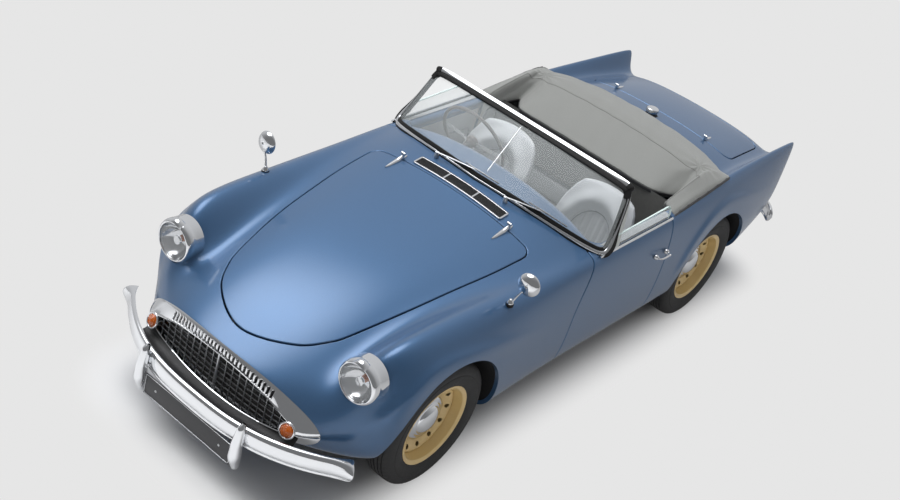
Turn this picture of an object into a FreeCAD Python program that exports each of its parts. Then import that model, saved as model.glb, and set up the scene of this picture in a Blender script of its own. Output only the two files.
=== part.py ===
import FreeCAD, Part
import math
import os

V = FreeCAD.Vector
ORIGIN = V(0, 0, 0)
AXIS_X = V(1, 0, 0)
AXIS_Y = V(0, 1, 0)
AXIS_Z = V(0, 0, 1)
MIRROR = -1

# Frame: nose towards -Y, the car's left side towards +X, +Z up, the road at z = 0.

# Main sizes
half_length = 2037.0
half_width = 768.0
crown_height = 900.0
wheelbase = 2337.0
front_axle_y = -1200.0
rear_axle_y = front_axle_y + wheelbase
front_track = 1270.0
rear_track = 1219.0
skin = 5.0
panel_gap = 6.0
seat_gap = 0.3
overrun = 30.0
reach = 2.0 * half_width

# Tyre and wheel
tyre_radius = 320.0
tyre_width = 150.0
rim_radius = 206.5
bead_radius = 190.5
rim_width = 114.0
rim_wall = 6.0
hub_cap_radius = 112.0
hub_cap_height = 34.0
hub_bore_radius = 32.0
vent_hole_count = 12
vent_hole_radius = 11.0
vent_circle_radius = 148.0
disc_plate = 8.0

# Arches and inner wings
arch_radius = 368.0
front_tub_inner_x = 385.0
rear_tub_inner_x = 505.0
tub_wall = 4.0
arm_window = (210.0, 480.0)
axle_window = (70.0, 400.0)

# Chassis
rail_inner_x = 300.0
rail_width = 76.0
rail_bottom = 164.0
rail_height = 76.0
rail_front_y = -1550.0
rail_rear_y = 1740.0
floor_height = rail_bottom + rail_height
floor_plate = 5.0
floor_half_width = 640.0

# Steering
king_pin_x = 560.0
steering_wheel_centre = V(-352.0, 135.0, 838.0)
steering_wheel_radius = 203.0
steering_rim_radius = 10.0
column_rake_deg = 24.0
column_radius = 21.0
column_length = 520.0

# Body net: one row for each station from the grille's throat to the tail. A row holds the
# station, how far its ends sweep back, how far it leans back with height, then the shares
# of half_width and crown_height from the top centre round the side to the bottom centre.
lean_pivot_share = 0.722
body_stations_shares = [
    (-.864, .000, .00,
     (0, .189, .349, .458, .531, .581, .612, .620, .607, .570, .495, .254, 0),
     (.636, .627, .600, .560, .523, .492, .467, .449, .430, .411, .393, .380, .377)),
    (-.913, .093, .00,
     (0, .189, .349, .464, .540, .592, .625, .634, .620, .581, .505, .254, 0),
     (.640, .631, .604, .563, .526, .493, .467, .448, .424, .402, .384, .371, .368)),
    (-.937, .123, .00,
     (0, .195, .365, .482, .562, .615, .647, .656, .641, .599, .521, .260, 0),
     (.649, .640, .612, .570, .531, .498, .467, .444, .417, .391, .372, .358, .354)),
    (-.923, .118, .00,
     (0, .208, .388, .514, .602, .658, .690, .701, .680, .633, .547, .267, 0),
     (.667, .658, .630, .589, .552, .513, .476, .444, .407, .378, .353, .337, .333)),
    (-.884, .098, .00,
     (0, .234, .432, .573, .684, .771, .823, .840, .831, .781, .658, .326, 0),
     (.713, .702, .669, .636, .624, .606, .556, .489, .422, .358, .306, .278, .272)),
    (-.825, .059, .00,
     (0, .247, .449, .562, .651, .749, .859, .931, .957, .931, .833, .521, 0),
     (.780, .767, .724, .691, .756, .872, .783, .644, .511, .389, .283, .244, .239)),
    (-.756, .025, .00,
     (0, .247, .449, .566, .651, .762, .879, .951, .977, .964, .898, .586, 0),
     (.836, .824, .783, .739, .822, .944, .878, .722, .578, .422, .267, .228, .222)),
    (-.677, .005, .00,
     (0, .247, .445, .579, .664, .771, .885, .954, .986, .983, .931, .651, 0),
     (.883, .874, .839, .794, .856, .958, .906, .767, .611, .444, .261, .222, .222)),
    (-.589, .000, .00,
     (0, .247, .445, .589, .680, .781, .891, .957, .990, .990, .944, .664, 0),
     (.922, .916, .887, .847, .883, .958, .911, .778, .617, .444, .256, .233, .233)),
    (-.491, .000, .00,
     (0, .247, .449, .599, .697, .794, .896, .954, .983, .983, .944, .677, 0),
     (.953, .948, .926, .889, .900, .953, .913, .783, .622, .444, .251, .244, .244)),
    (-.383, .000, .00,
     (0, .260, .469, .625, .729, .818, .902, .945, .964, .960, .927, .690, 0),
     (.983, .978, .958, .928, .917, .944, .913, .794, .639, .444, .244, .256, .256)),
    (-.265, .000, .00,
     (0, .286, .508, .664, .768, .840, .904, .934, .949, .947, .914, .703, 0),
     (1.017, 1.009, .987, .958, .936, .939, .913, .806, .656, .450, .240, .264, .267)),
    (-.147, .000, .00,
     (0, .312, .547, .703, .797, .859, .906, .930, .943, .940, .908, .716, 0),
     (1.067, 1.053, 1.020, .978, .950, .942, .917, .817, .667, .461, .238, .267, .271)),
    (-.029, .000, .00,
     (0, .326, .573, .723, .810, .865, .909, .928, .940, .938, .904, .724, 0),
     (1.083, 1.069, 1.033, .989, .958, .944, .918, .820, .669, .464, .236, .267, .271)),
    (.098, .000, .00,
     (0, .326, .573, .723, .810, .865, .909, .928, .940, .938, .904, .727, 0),
     (1.069, 1.056, 1.024, .984, .958, .947, .920, .822, .669, .464, .236, .267, .271)),
    (.226, .000, .00,
     (0, .326, .573, .716, .797, .857, .906, .928, .940, .938, .905, .724, 0),
     (1.047, 1.037, 1.011, .978, .958, .956, .924, .824, .670, .466, .238, .267, .271)),
    (.344, .000, .00,
     (0, .326, .566, .703, .775, .844, .896, .924, .941, .940, .906, .719, 0),
     (1.028, 1.020, .998, .964, .958, .978, .939, .828, .672, .467, .242, .267, .271)),
    (.452, .000, .00,
     (0, .326, .560, .693, .762, .833, .888, .922, .949, .948, .909, .716, 0),
     (1.017, 1.011, .989, .953, .953, .994, .944, .828, .672, .467, .249, .267, .271)),
    (.558, .000, .00,
     (0, .326, .560, .688, .753, .820, .878, .917, .951, .951, .906, .710, 0),
     (1.007, 1.000, .978, .942, .944, 1.006, .944, .822, .667, .467, .260, .267, .271)),
    (.663, .000, .02,
     (0, .326, .553, .680, .742, .807, .862, .908, .943, .939, .891, .697, 0),
     (.994, .987, .964, .924, .931, 1.009, .936, .811, .656, .467, .276, .267, .267)),
    (.761, .000, .08,
     (0, .326, .547, .671, .732, .796, .846, .892, .922, .914, .857, .651, 0),
     (.971, .962, .936, .893, .906, 1.009, .922, .794, .639, .478, .311, .278, .272)),
    (.849, .000, .18,
     (0, .319, .540, .661, .724, .788, .836, .875, .898, .888, .818, .612, 0),
     (.940, .931, .903, .861, .883, 1.007, .911, .778, .628, .489, .356, .317, .306)),
    (.913, .000, .30,
     (0, .319, .534, .655, .723, .784, .823, .854, .876, .862, .781, .586, 0),
     (.909, .902, .880, .840, .872, 1.003, .898, .758, .622, .494, .389, .353, .342)),
    (.952, .000, .38,
     (0, .312, .521, .645, .724, .781, .812, .837, .853, .836, .755, .560, 0),
     (.869, .864, .850, .824, .861, .998, .883, .742, .618, .502, .417, .383, .372)),
    (.960, .000, .40,
     (0, .307, .510, .633, .729, .780, .802, .818, .826, .807, .732, .540, 0),
     (.824, .821, .811, .791, .853, .987, .872, .733, .614, .511, .437, .406, .397)),
    (.961, .000, .40,
     (0, .293, .488, .609, .714, .768, .781, .789, .792, .771, .697, .514, 0),
     (.778, .774, .764, .747, .822, .953, .850, .722, .611, .524, .456, .428, .420)),
]
first_hollow_station = 3
nose_lead = 60.0
last_hollow_station = 23
fin_base_rail = 3
fin_rails = (4, 5, 6)
fin_first_station = 16


def to_list(vector):
    return (vector.x, vector.y, vector.z)


def box(low, high):
    size = high - low
    return Part.makeBox(size.x, size.y, size.z, low)


def cylinder(base, direction, radius, length):
    return Part.makeCylinder(radius, length, base, direction)


def mirrored(shape):
    return shape.mirror(ORIGIN, AXIS_X)


def pair(shape):
    return Part.makeCompound([shape, mirrored(shape)])


def fused(shapes):
    result = shapes[0]
    if len(shapes) > 1:
        result = result.multiFuse(shapes[1:])
    return result.removeSplitter()


def net_surface(rows):
    """Cubic surface over a net of poles, clamped at its four edges."""
    degree = 3
    count_u = len(rows)
    count_v = len(rows[0])
    knots_u = list(range(count_u - degree + 1))
    knots_v = list(range(count_v - degree + 1))
    mults_u = [degree + 1] + [1] * (len(knots_u) - 2) + [degree + 1]
    mults_v = [degree + 1] + [1] * (len(knots_v) - 2) + [degree + 1]
    surface = Part.BSplineSurface()
    surface.buildFromPolesMultsKnots(
        rows, mults_u, mults_v, knots_u, knots_v, False, False, degree, degree)
    return surface


def net_solid(rows):
    """Solid whose side is the net's surface round closed rows, with flat ends."""
    surface = net_surface(rows)
    low_u, high_u, low_v, high_v = surface.bounds()
    side = surface.toShape()
    ends = []
    for u in (low_u, high_u):
        rim = surface.uIso(u).toShape()
        ends.append(Part.Face(Part.Wire([rim])))
    shell = Part.Shell([side] + ends)
    if not shell.isClosed():
        shell.sewShape()
    solid = Part.Solid(shell)
    if solid.Volume < 0:
        solid.reverse()
    return solid


def body_rows(stations, y_lead=0):
    """Closed rows of poles, from the bottom centre up the left side and down the right."""
    pivot = lean_pivot_share * crown_height
    rows = []
    for place, sweep, lean, across, up in stations:
        half = []
        for x_share, z_share in zip(across, up):
            z = z_share * crown_height
            y = (place + sweep * x_share ** 2) * half_length + lean * (z - pivot) + y_lead
            half.append(V(x_share * half_width, y, z))
        left = half[::-1]
        right = [V(-p.x, p.y, p.z) for p in half[1:]]
        rows.append(left + right)
    return rows


def inset_rows(rows, depth):
    """Rows moved inwards along the net's own normals."""
    moved = []
    last = len(rows) - 1
    around = len(rows[0]) - 1
    for i, row in enumerate(rows):
        fresh = []
        for j, pole in enumerate(row):
            along = rows[min(i + 1, last)][j] - rows[max(i - 1, 0)][j]
            after = row[j + 1] if j < around else row[1]
            before = row[j - 1] if j > 0 else row[around - 1]
            normal = along.cross(after - before)
            normal.normalize()
            fresh.append(pole - normal * depth)
        moved.append(fresh)
    return moved


def hollow_rows(depth):
    """Inside of the skin: the fins are left solid, and the row starts behind the lip."""
    stations = []
    for index, row in enumerate(body_stations_shares):
        place, sweep, lean, across, up = row
        if index >= fin_first_station:
            up = list(up)
            for rail in fin_rails:
                up[rail] = min(up[rail], up[fin_base_rail])
        stations.append((place, sweep, lean, across, up))
    rows = inset_rows(body_rows(stations), depth)
    rows = rows[first_hollow_station:last_hollow_station]
    front = [V(p.x, -half_length, p.z) for p in rows[0]]
    level = [V(p.x, p.y - nose_lead, p.z) for p in rows[0]]
    rear_plane = rows[-1][0]
    lean = body_stations_shares[last_hollow_station - 1][2]
    rows[-1] = [V(p.x, rear_plane.y + lean * (p.z - rear_plane.z), p.z) for p in rows[-1]]
    return [front, level] + rows


def parabola_prism(y_centre, sweep, y_back, low, high):
    """Everything behind a parabola in plan."""
    wide = reach
    drop = sweep * half_length * (wide / half_width) ** 2
    curve = Part.BezierCurve()
    curve.setPoles([V(-wide, y_centre + drop, low), V(0, y_centre - drop, low),
                    V(wide, y_centre + drop, low)])
    right = V(wide, y_back, low)
    left = V(-wide, y_back, low)
    edges = [curve.toShape(),
             Part.makeLine(V(wide, y_centre + drop, low), right),
             Part.makeLine(right, left),
             Part.makeLine(left, V(-wide, y_centre + drop, low))]
    return Part.Face(Part.Wire(edges)).extrude(V(0, 0, high - low))


def scaled_plan(shares):
    """Plan points from shares of half_width and half_length."""
    return [(x * half_width, y * half_length) for x, y in shares]


def curve_edge(points, start=None, end=None):
    """Smooth edge through points, with end directions where they are given."""
    curve = Part.BSplineCurve()
    if start is None:
        curve.interpolate(points)
    else:
        curve.interpolate(Points=points, InitialTangent=start, FinalTangent=end)
    return curve.toShape()


def prism(edges, direction):
    return Part.Face(Part.Wire(edges)).extrude(direction)


def polygon_prism(points, direction):
    return Part.Face(Part.makePolygon(points + [points[0]])).extrude(direction)


def grown(face, distance):
    """A flat face made larger or smaller all round."""
    return face.makeOffset2D(distance)


def tube(points, radius, bend):
    """Round bar along straight runs joined by tangent arcs."""
    edges = []
    start = points[0]
    for i in range(1, len(points) - 1):
        corner = points[i]
        back = (points[i - 1] - corner).normalize()
        ahead = (points[i + 1] - corner).normalize()
        half = back.getAngle(ahead) / 2.0
        trim = bend / math.tan(half)
        first = corner + back * trim
        last = corner + ahead * trim
        middle = (back + ahead).normalize()
        top = corner + middle * (bend / math.sin(half) - bend)
        edges.append(Part.makeLine(start, first))
        edges.append(Part.Arc(first, top, last).toShape())
        start = last
    edges.append(Part.makeLine(start, points[-1]))
    path = Part.Wire(edges)
    heading = points[1] - points[0]
    section = Part.Wire([Part.makeCircle(radius, points[0], heading)])
    return path.makePipeShell([section], True, False)


def turned(profile, centre, direction=AXIS_X):
    """Solid turned about an axis along X from points of (distance along, radius)."""
    points = [V(a, 0, r) for a, r in profile]
    face = Part.Face(Part.makePolygon(points + [points[0]]))
    solid = face.revolve(ORIGIN, AXIS_X, 360)
    if direction is not AXIS_X:
        turn = FreeCAD.Rotation(AXIS_X, direction)
        solid.Placement = FreeCAD.Placement(ORIGIN, turn)
        solid = Part.Compound([solid]).copy()
    solid.translate(centre)
    return solid


# Panels of the body, in plan or in side view
bonnet_front_shares = [(0, -.882), (.161, -.866), (.318, -.827), (.406, -.780), (.456, -.731),
                       (.533, -.601), (.589, -.464), (.625, -.366), (.645, -.275)]
bonnet_rear_y = -478.0
bonnet_corner = 52.0
cockpit_front_y = -170.0
cockpit_rear_y = 1190.0
cockpit_half = 628.0
cockpit_corner = 150.0
boot_front_y = 1432.0
boot_half = 492.0
boot_rear_y = 1905.0
boot_rear_half = 452.0
boot_corner = 60.0
door_front_y = -295.0
door_rear_y = 520.0
door_bottom = 250.0
door_inner_x = 625.0
door_bend_z = 628.0
door_bend_radius = 420.0
door_top_front_y = -152.0
door_top_corner = 10.0
door_corner = 28.0
split_y = 180.0

# Grille, lamps and bumpers
lamp_centre = V(560.0, -1650.0, 688.0)
lamp_radius = 100.0
lamp_depth = 90.0
lamp_reach = 60.0
lamp_rim = 14.0
lamp_dome = 34.0
indicator_centre = V(422.0, -1866.0, 418.0)
indicator_radius = 30.0
indicator_rim = 7.0
indicator_depth = 60.0
bumper_height = 96.0
bumper_depth = 34.0
bumper_centre_z = 342.0
bumper_front_y = -2012.0
bumper_end_x = 700.0
bumper_end_y = -1735.0
overrider_x = 298.0
overrider_width = 46.0
overrider_bottom = 176.0
overrider_top = 424.0
overrider_front_y = -2036.0
plate_height = 110.0
plate_thickness = 4.0
plate_centre_z = 238.0
rear_bumper_z = 432.0
rear_bumper_y = 1998.0
rear_bumper_inner_x = 330.0
rear_bumper_outer_x = 700.0
tail_lamp_radius = 36.0

# Cabin
windscreen_frame_radius = 10.0
windscreen_glass_thickness = 5.0
windscreen_loop = [
    (0, -335.0, 953.0), (271.0, -305.0, 941.0), (486.0, -245.0, 905.0), (610.0, -178.0, 868.0),
    (664.0, -122.0, 850.0), (676.0, -84.0, 872.0), (662.0, -40.0, 940.0), (640.0, 10.0, 1040.0),
    (618.0, 42.0, 1118.0), (590.0, 52.0, 1147.0), (300.0, 50.0, 1152.0), (0, 48.0, 1153.0)]
rod_foot = V(0, -235.0, 960.0)
rod_top = V(-40.0, 40.0, 1143.0)
rod_radius = 3.0
door_glass_x = 668.0
door_glass_thickness = 5.0
seat_x = 332.0
seat_width = 440.0
seat_front_y = -20.0
seat_rear_y = 470.0
seat_cushion_bottom = 270.0
seat_cushion_top = 420.0
seat_back_top = 868.0
seat_back_thickness = 110.0
rear_seat_front_y = 700.0
rear_seat_rear_y = 1010.0
rear_seat_bottom = 420.3
rear_seat_top = 560.0
rear_seat_back_top = 780.0
rear_seat_half = 430.0
dash_front_y = -150.0
dash_rear_y = -80.0
dash_bottom = 610.0
dash_half = 612.0
bulkhead_y = -440.0
heel_y = 640.0
shelf_height = 420.0
boot_wall_y = 1265.0
tunnel_half = 104.0
tunnel_height = 402.0

# Engine and running gear
engine_half = 235.0
engine_front_y = -1190.0
engine_rear_y = -560.0
engine_top = 690.0
gearbox_half = 92.0
gearbox_rear_y = 130.0
gearbox_bottom = 250.0
gearbox_top = 388.0
shaft_radius = 35.0
axle_tube_radius = 38.0
differential_radius = 90.0
spring_x = 450.0
spring_width = 45.0
spring_thickness = 36.0
spring_reach = 520.0
exhaust_x = 205.0
exhaust_radius = 21.0
silencer_radius = 30.0
exhaust_clearance = 5.0


def make_body():
    """Skin, its panels and the inner wings that belong to it."""
    outer = net_solid(body_rows(body_stations_shares))
    hollow = net_solid(hollow_rows(skin))
    nose = parabola_prism(nose_void_y, nose_sweep_share, half_length, 0, crown_height * 2)
    void = hollow.common(nose)
    shell = outer.cut(void)
    throat_rows = inset_rows(body_rows(body_stations_shares), 0)
    throat_edge = net_surface(throat_rows)
    low_u = throat_edge.bounds()[0]
    throat = Part.Face(Part.Wire([throat_edge.uIso(low_u).toShape()]))
    tunnel = throat.extrude(V(0, throat_depth, 0))
    return outer, void, shell, tunnel


nose_void_y = -1815.0
nose_sweep_share = 0.098
throat_depth = 130.0


def bonnet_face(height, change):
    """Outline of the bonnet in plan, made larger all round by a change."""
    half = [V(x, y, height) for x, y in scaled_plan(bonnet_front_shares)]
    line = [V(-p.x, p.y, p.z) for p in half[:0:-1]] + half
    last = len(line) - 1
    moved = []
    for i, point in enumerate(line):
        along = line[min(i + 1, last)] - line[max(i - 1, 0)]
        if i in (0, last):
            along = AXIS_Y
        normal = along.cross(AXIS_Z).normalize()
        if i == 0:
            normal = normal * MIRROR
        moved.append(point + normal * change)
    front = curve_edge(moved, V(0, -1, 0), V(0, 1, 0))
    side_x = moved[-1].x
    side_y = moved[-1].y
    rear_y = bonnet_rear_y + change
    corner = bonnet_corner + change
    turn_y = rear_y - corner
    inner_x = side_x - corner
    bulge = corner * (1 - math.sqrt(0.5))
    edges = [front,
             Part.makeLine(V(side_x, side_y, height), V(side_x, turn_y, height)),
             Part.Arc(V(side_x, turn_y, height), V(side_x - bulge, rear_y - bulge, height),
                      V(inner_x, rear_y, height)).toShape(),
             Part.makeLine(V(inner_x, rear_y, height), V(-inner_x, rear_y, height)),
             Part.Arc(V(-inner_x, rear_y, height), V(-side_x + bulge, rear_y - bulge, height),
                      V(-side_x, turn_y, height)).toShape(),
             Part.makeLine(V(-side_x, turn_y, height), V(-side_x, side_y, height))]
    return Part.Face(Part.Wire(edges))


def rounded_face(points, radii):
    """Flat face round straight sides with a rounded corner at each point."""
    count = len(points)
    starts = []
    ends = []
    tops = []
    for i, corner in enumerate(points):
        back = (points[i - 1] - corner).normalize()
        ahead = (points[(i + 1) % count] - corner).normalize()
        half = back.getAngle(ahead) / 2.0
        trim = radii[i] / math.tan(half)
        middle = (back + ahead).normalize()
        starts.append(corner + back * trim)
        ends.append(corner + ahead * trim)
        tops.append(corner + middle * (radii[i] / math.sin(half) - radii[i]))
    edges = []
    for i in range(count):
        edges.append(Part.Arc(starts[i], tops[i], ends[i]).toShape())
        edges.append(Part.makeLine(ends[i], starts[(i + 1) % count]))
    return Part.Face(Part.Wire(edges))


def boot_face(height):
    points = [V(-boot_half, boot_front_y, height), V(boot_half, boot_front_y, height),
              V(boot_rear_half, boot_rear_y, height), V(-boot_rear_half, boot_rear_y, height)]
    return rounded_face(points, [boot_corner] * len(points))


def cockpit_face(height):
    points = [V(-cockpit_half, cockpit_front_y, height), V(cockpit_half, cockpit_front_y, height),
              V(cockpit_half, cockpit_rear_y, height), V(-cockpit_half, cockpit_rear_y, height)]
    return rounded_face(points, [cockpit_corner] * len(points))


def door_face(x):
    """Outline of the left door in side view: its front edge bends back towards the top."""
    top = crown_height + overrun
    points = [V(x, door_front_y, door_bottom), V(x, door_front_y, door_bend_z),
              V(x, door_top_front_y, top), V(x, door_rear_y, top),
              V(x, door_rear_y, door_bottom)]
    return rounded_face(points, [door_corner, door_bend_radius, door_top_corner,
                                 door_top_corner, door_corner])


sill_height = 245.0
sill_inner_x = 612.0
open_floor_front_y = -1560.0
open_floor_rear_y = 1700.0
panel_base_share = 0.66
bonnet_base_share = 0.66


def arch_drum(axle_y, inner_x, radius):
    return cylinder(V(inner_x, axle_y, tyre_radius), AXIS_X, radius, reach - inner_x)


def wheel_tub(outer, axle_y, inner_x, window):
    """Half drum round one left wheel, with a window in its inboard wall for the axle or arms."""
    drum = arch_drum(axle_y, inner_x, arch_radius + tub_wall)
    hole = arch_drum(axle_y, inner_x + tub_wall, arch_radius)
    below = box(V(0, -half_length, -reach), V(reach, half_length, sill_height))
    tools = [hole, below]
    half, window_top = window
    tools.append(box(V(0, axle_y - half, 0), V(inner_x + tub_wall * 2, axle_y + half, window_top)))
    return drum.cut(tools).common(outer)


def both(shape):
    return [shape, mirrored(shape)]


def shell_parts(outer, void, shell, tunnel):
    """The body's two mouldings, the bonnet, the boot lid and the two doors."""
    top = crown_height * 2
    lift = V(0, 0, top)
    low = crown_height * bonnet_base_share
    boot_base = boot_face(crown_height * panel_base_share)
    cockpit_base = cockpit_face(crown_height * panel_base_share)
    door_base = door_face(door_inner_x)
    half_gap = panel_gap / 2
    bonnet = shell.common(bonnet_face(low, -half_gap).extrude(lift))
    beneath = outer.translated(V(0, 0, -boot_lid_depth))
    boot_lid = biggest(shell.common(grown(boot_base, -half_gap).extrude(lift)).cut(beneath))
    door_hole = grown(door_base, half_gap).extrude(V(reach, 0, 0))
    door_tool = grown(door_base, -half_gap).extrude(V(reach, 0, 0))
    foot_way = Part.makeCylinder(post_way_outer, top, V(door_pin_x, door_pin_y, post_way_z), AXIS_Z)
    foot_way = foot_way.cut(Part.makeCylinder(post_way_inner, top,
                                              V(door_pin_x, door_pin_y, post_way_z), AXIS_Z))
    door = biggest(outer.common(door_tool).cut(foot_way))
    jamb = grown(door_base, half_gap + tub_wall).extrude(V(reach, 0, 0))
    jamb = jamb.cut(door_hole).common(outer)
    lamp = cylinder(lamp_centre - V(0, lamp_reach, 0), AXIS_Y, lamp_radius, lamp_reach * 2)
    floor_hole = box(V(-sill_inner_x, open_floor_front_y, 0),
                     V(sill_inner_x, open_floor_rear_y, sill_height + overrun))
    tools = [tunnel, floor_hole]
    tubs = []
    for axle_y, inner_x, window in ((front_axle_y, front_tub_inner_x, arm_window),
                                    (rear_axle_y, rear_tub_inner_x, axle_window)):
        tubs.extend(both(wheel_tub(outer, axle_y, inner_x, window)))
        tools.extend(both(arch_drum(axle_y, inner_x + tub_wall, arch_radius)))
    shell = shell.cut(tools)
    shell = shell.multiFuse(tubs)
    tools = [bonnet_face(low, half_gap).extrude(lift), grown(boot_base, half_gap).extrude(lift),
             cockpit_base.extrude(lift)]
    tools.extend(both(door_hole))
    shell = shell.cut(tools)
    shell = shell.multiFuse(both(jamb))
    front_half = box(V(-reach, -half_length * 2, 0), V(reach, split_y, top))
    rear_half = box(V(-reach, split_y, 0), V(reach, half_length * 2, top))
    front_body = biggest(shell.common(front_half))
    return {"front_body": biggest(front_body.cut(both(lamp))),
            "rear_body": biggest(shell.common(rear_half)),
            "bonnet": bonnet, "boot_lid": boot_lid, "door_left": door,
            "door_right": mirrored(door)}


boot_lid_depth = 8.0
door_pin_x = 724.0
door_pin_y = -288.0
post_way_inner = 150.0
post_way_outer = 196.0
post_way_z = 844.0


def rail_run(x, y_front, y_rear):
    return box(V(x, y_front, rail_bottom), V(x + rail_width, y_rear, rail_bottom + rail_height))


def make_chassis():
    """Box-section ladder frame with cross members and body outriggers."""
    rail = rail_run(rail_inner_x, rail_front_y, rail_rear_y)
    pieces = both(rail)
    outer_x = rail_inner_x + rail_width
    for y in cross_member_ys:
        pieces.append(box(V(-outer_x, y, rail_bottom), V(outer_x, y + rail_width, floor_height)))
    for y in outrigger_ys:
        arm = box(V(rail_inner_x, y, floor_height - outrigger_height),
                  V(sill_inner_x, y + rail_width, floor_height))
        pieces.extend(both(arm))
    middle_x = rail_inner_x + rail_width / 2
    pad_low = V(middle_x - jack_pad_half, jack_pad_y - jack_pad_half, rail_bottom - jack_pad_drop)
    pad_high = V(middle_x + jack_pad_half, jack_pad_y + jack_pad_half, floor_height)
    pieces.extend(both(box(pad_low, pad_high)))
    tower = box(V(outer_x - rail_width, front_axle_y - tower_half, rail_bottom),
                V(outer_x, front_axle_y + tower_half, tower_top))
    pieces.extend(both(tower))
    for y in (spring_front_y, spring_rear_y):
        hanger = box(V(outer_x, y - spring_hanger_half, rail_bottom + seat_gap),
                     V(spring_x - spring_width / 2 - seat_gap, y + spring_hanger_half,
                       floor_height))
        eye = cylinder(V(outer_x, y, spring_eye_z), AXIS_X, spring_pin_radius,
                       spring_x + spring_width / 2 - outer_x)
        pieces.extend(both(hanger))
        pieces.extend(both(eye))
    return fused(pieces)


cross_member_ys = (rail_front_y, -1238.0, -470.0, 420.0, 860.0, 1664.0)
jack_pad_y = -200.0
jack_pad_half = 30.0
jack_pad_drop = 6.0
outrigger_ys = (-560.0, -40.0, 480.0)
outrigger_height = 50.0
tower_half = 60.0
tower_top = 470.0
spring_front_y = rear_axle_y - spring_reach
spring_rear_y = rear_axle_y + spring_reach
spring_hanger_half = 30.0
spring_eye_z = 216.0
spring_pin_radius = 9.0


def plate(x_low, y_low, z_low, x_high, y_high, z_high):
    return box(V(x_low, y_low, z_low), V(x_high, y_high, z_high))


def make_floor_tub(void, mouldings):
    """Cabin floor with its transmission tunnel, bulkheads, and the boot floor."""
    top = crown_height * 2
    floor = plate(-floor_half_width, bulkhead_y, floor_height, floor_half_width, heel_y,
                  floor_height + floor_plate)
    firewall = plate(-reach, bulkhead_y - floor_plate, floor_height, reach, bulkhead_y, top)
    heel = plate(-reach, heel_y, floor_height, reach, heel_y + floor_plate, shelf_height)
    shelf = plate(-reach, heel_y, shelf_height - floor_plate, reach, half_length, shelf_height)
    wall = plate(-reach, boot_wall_y, shelf_height, reach, boot_wall_y + floor_plate, top)
    cover = plate(-tunnel_half, bulkhead_y - floor_plate, floor_height, tunnel_half,
                  heel_y + floor_plate, tunnel_height)
    bore = plate(-tunnel_half + floor_plate, bulkhead_y - overrun, 0, tunnel_half - floor_plate,
                 heel_y + overrun, tunnel_height - floor_plate)
    tub = fused([floor, firewall, heel, shelf, wall, cover]).cut(bore).common(void)
    drums = []
    for axle_y, inner_x in ((front_axle_y, front_tub_inner_x), (rear_axle_y, rear_tub_inner_x)):
        drums.extend(both(arch_drum(axle_y, inner_x, arch_radius + tub_wall)))
    return biggest(tub.cut(drums + mouldings))


def make_engine():
    """Plain block for the engine, with gearbox and propeller shaft behind it."""
    block = plate(-engine_half, engine_front_y, floor_height, engine_half, engine_rear_y,
                  engine_top)
    gearbox = plate(-gearbox_half, engine_rear_y, gearbox_bottom, gearbox_half, gearbox_rear_y,
                    gearbox_top)
    shaft_end = rear_axle_y - differential_radius - seat_gap
    shaft = cylinder(V(0, gearbox_rear_y, tyre_radius), AXIS_Y, shaft_radius,
                     shaft_end - gearbox_rear_y)
    return fused([block, gearbox, shaft])


def make_rear_axle():
    """Live axle with its differential, brake drums and hub studs."""
    half = rear_track / 2 - hub_face_inset
    tube_bar = cylinder(V(-half, rear_axle_y, tyre_radius), AXIS_X, axle_tube_radius, half * 2)
    bowl = cylinder(V(-differential_width / 2, rear_axle_y, tyre_radius), AXIS_X,
                    differential_radius, differential_width)
    drum = cylinder(V(half - drum_width, rear_axle_y, tyre_radius), AXIS_X, drum_radius,
                    drum_width)
    stub = cylinder(V(half, rear_axle_y, tyre_radius), AXIS_X, stub_radius, stub_length)
    return fused([tube_bar, bowl] + both(drum) + both(stub))


hub_face_inset = 22.0
differential_width = 170.0
drum_radius = 128.0
drum_width = 50.0
stub_radius = 22.0
stub_length = 26.0


def make_springs():
    """Half-elliptic leaf spring on each side, resting on the axle's underside."""
    low = spring_eye_z
    eye = spring_thickness / 2 + spring_pin_radius
    top = tyre_radius - axle_tube_radius - seat_gap
    left = V(spring_x - spring_width / 2, 0, 0)
    outline = []
    points = [(spring_front_y, low), (rear_axle_y, top - spring_thickness), (spring_rear_y, low)]
    lower = [V(left.x, y, z) for y, z in points]
    upper = [V(left.x, y, z + spring_thickness / 3) for y, z in points]
    upper[1] = V(left.x, rear_axle_y, top)
    outline = [Part.Arc(*lower).toShape(), Part.makeLine(lower[2], upper[2]),
               Part.Arc(*upper[::-1]).toShape(), Part.makeLine(upper[0], lower[0])]
    leaf = prism(outline, V(spring_width, 0, 0))
    for y in (spring_front_y, spring_rear_y):
        boss = cylinder(V(left.x, y, spring_eye_z), AXIS_X, eye, spring_width)
        leaf = leaf.fuse(boss)
    pins = [cylinder(V(0, y, spring_eye_z), AXIS_X, spring_pin_radius + seat_gap, reach)
            for y in (spring_front_y, spring_rear_y)]
    return pair(leaf.cut(pins).removeSplitter())


def make_exhausts():
    """Twin pipes under the floor, each with a silencer."""
    start_y = engine_rear_y - exhaust_lead
    z = rail_bottom - silencer_radius - exhaust_clearance
    points = [V(exhaust_x, start_y, floor_height), V(exhaust_x, start_y, z),
              V(exhaust_x, exhaust_tail_y, z)]
    pipe = tube(points, exhaust_radius, exhaust_bend)
    can = cylinder(V(exhaust_x, silencer_front_y, z), AXIS_Y, silencer_radius, silencer_length)
    return pair(fused([pipe, can]))


exhaust_lead = 80.0
exhaust_tail_y = 1960.0
exhaust_bend = 45.0
silencer_front_y = 120.0
silencer_length = 620.0


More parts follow.
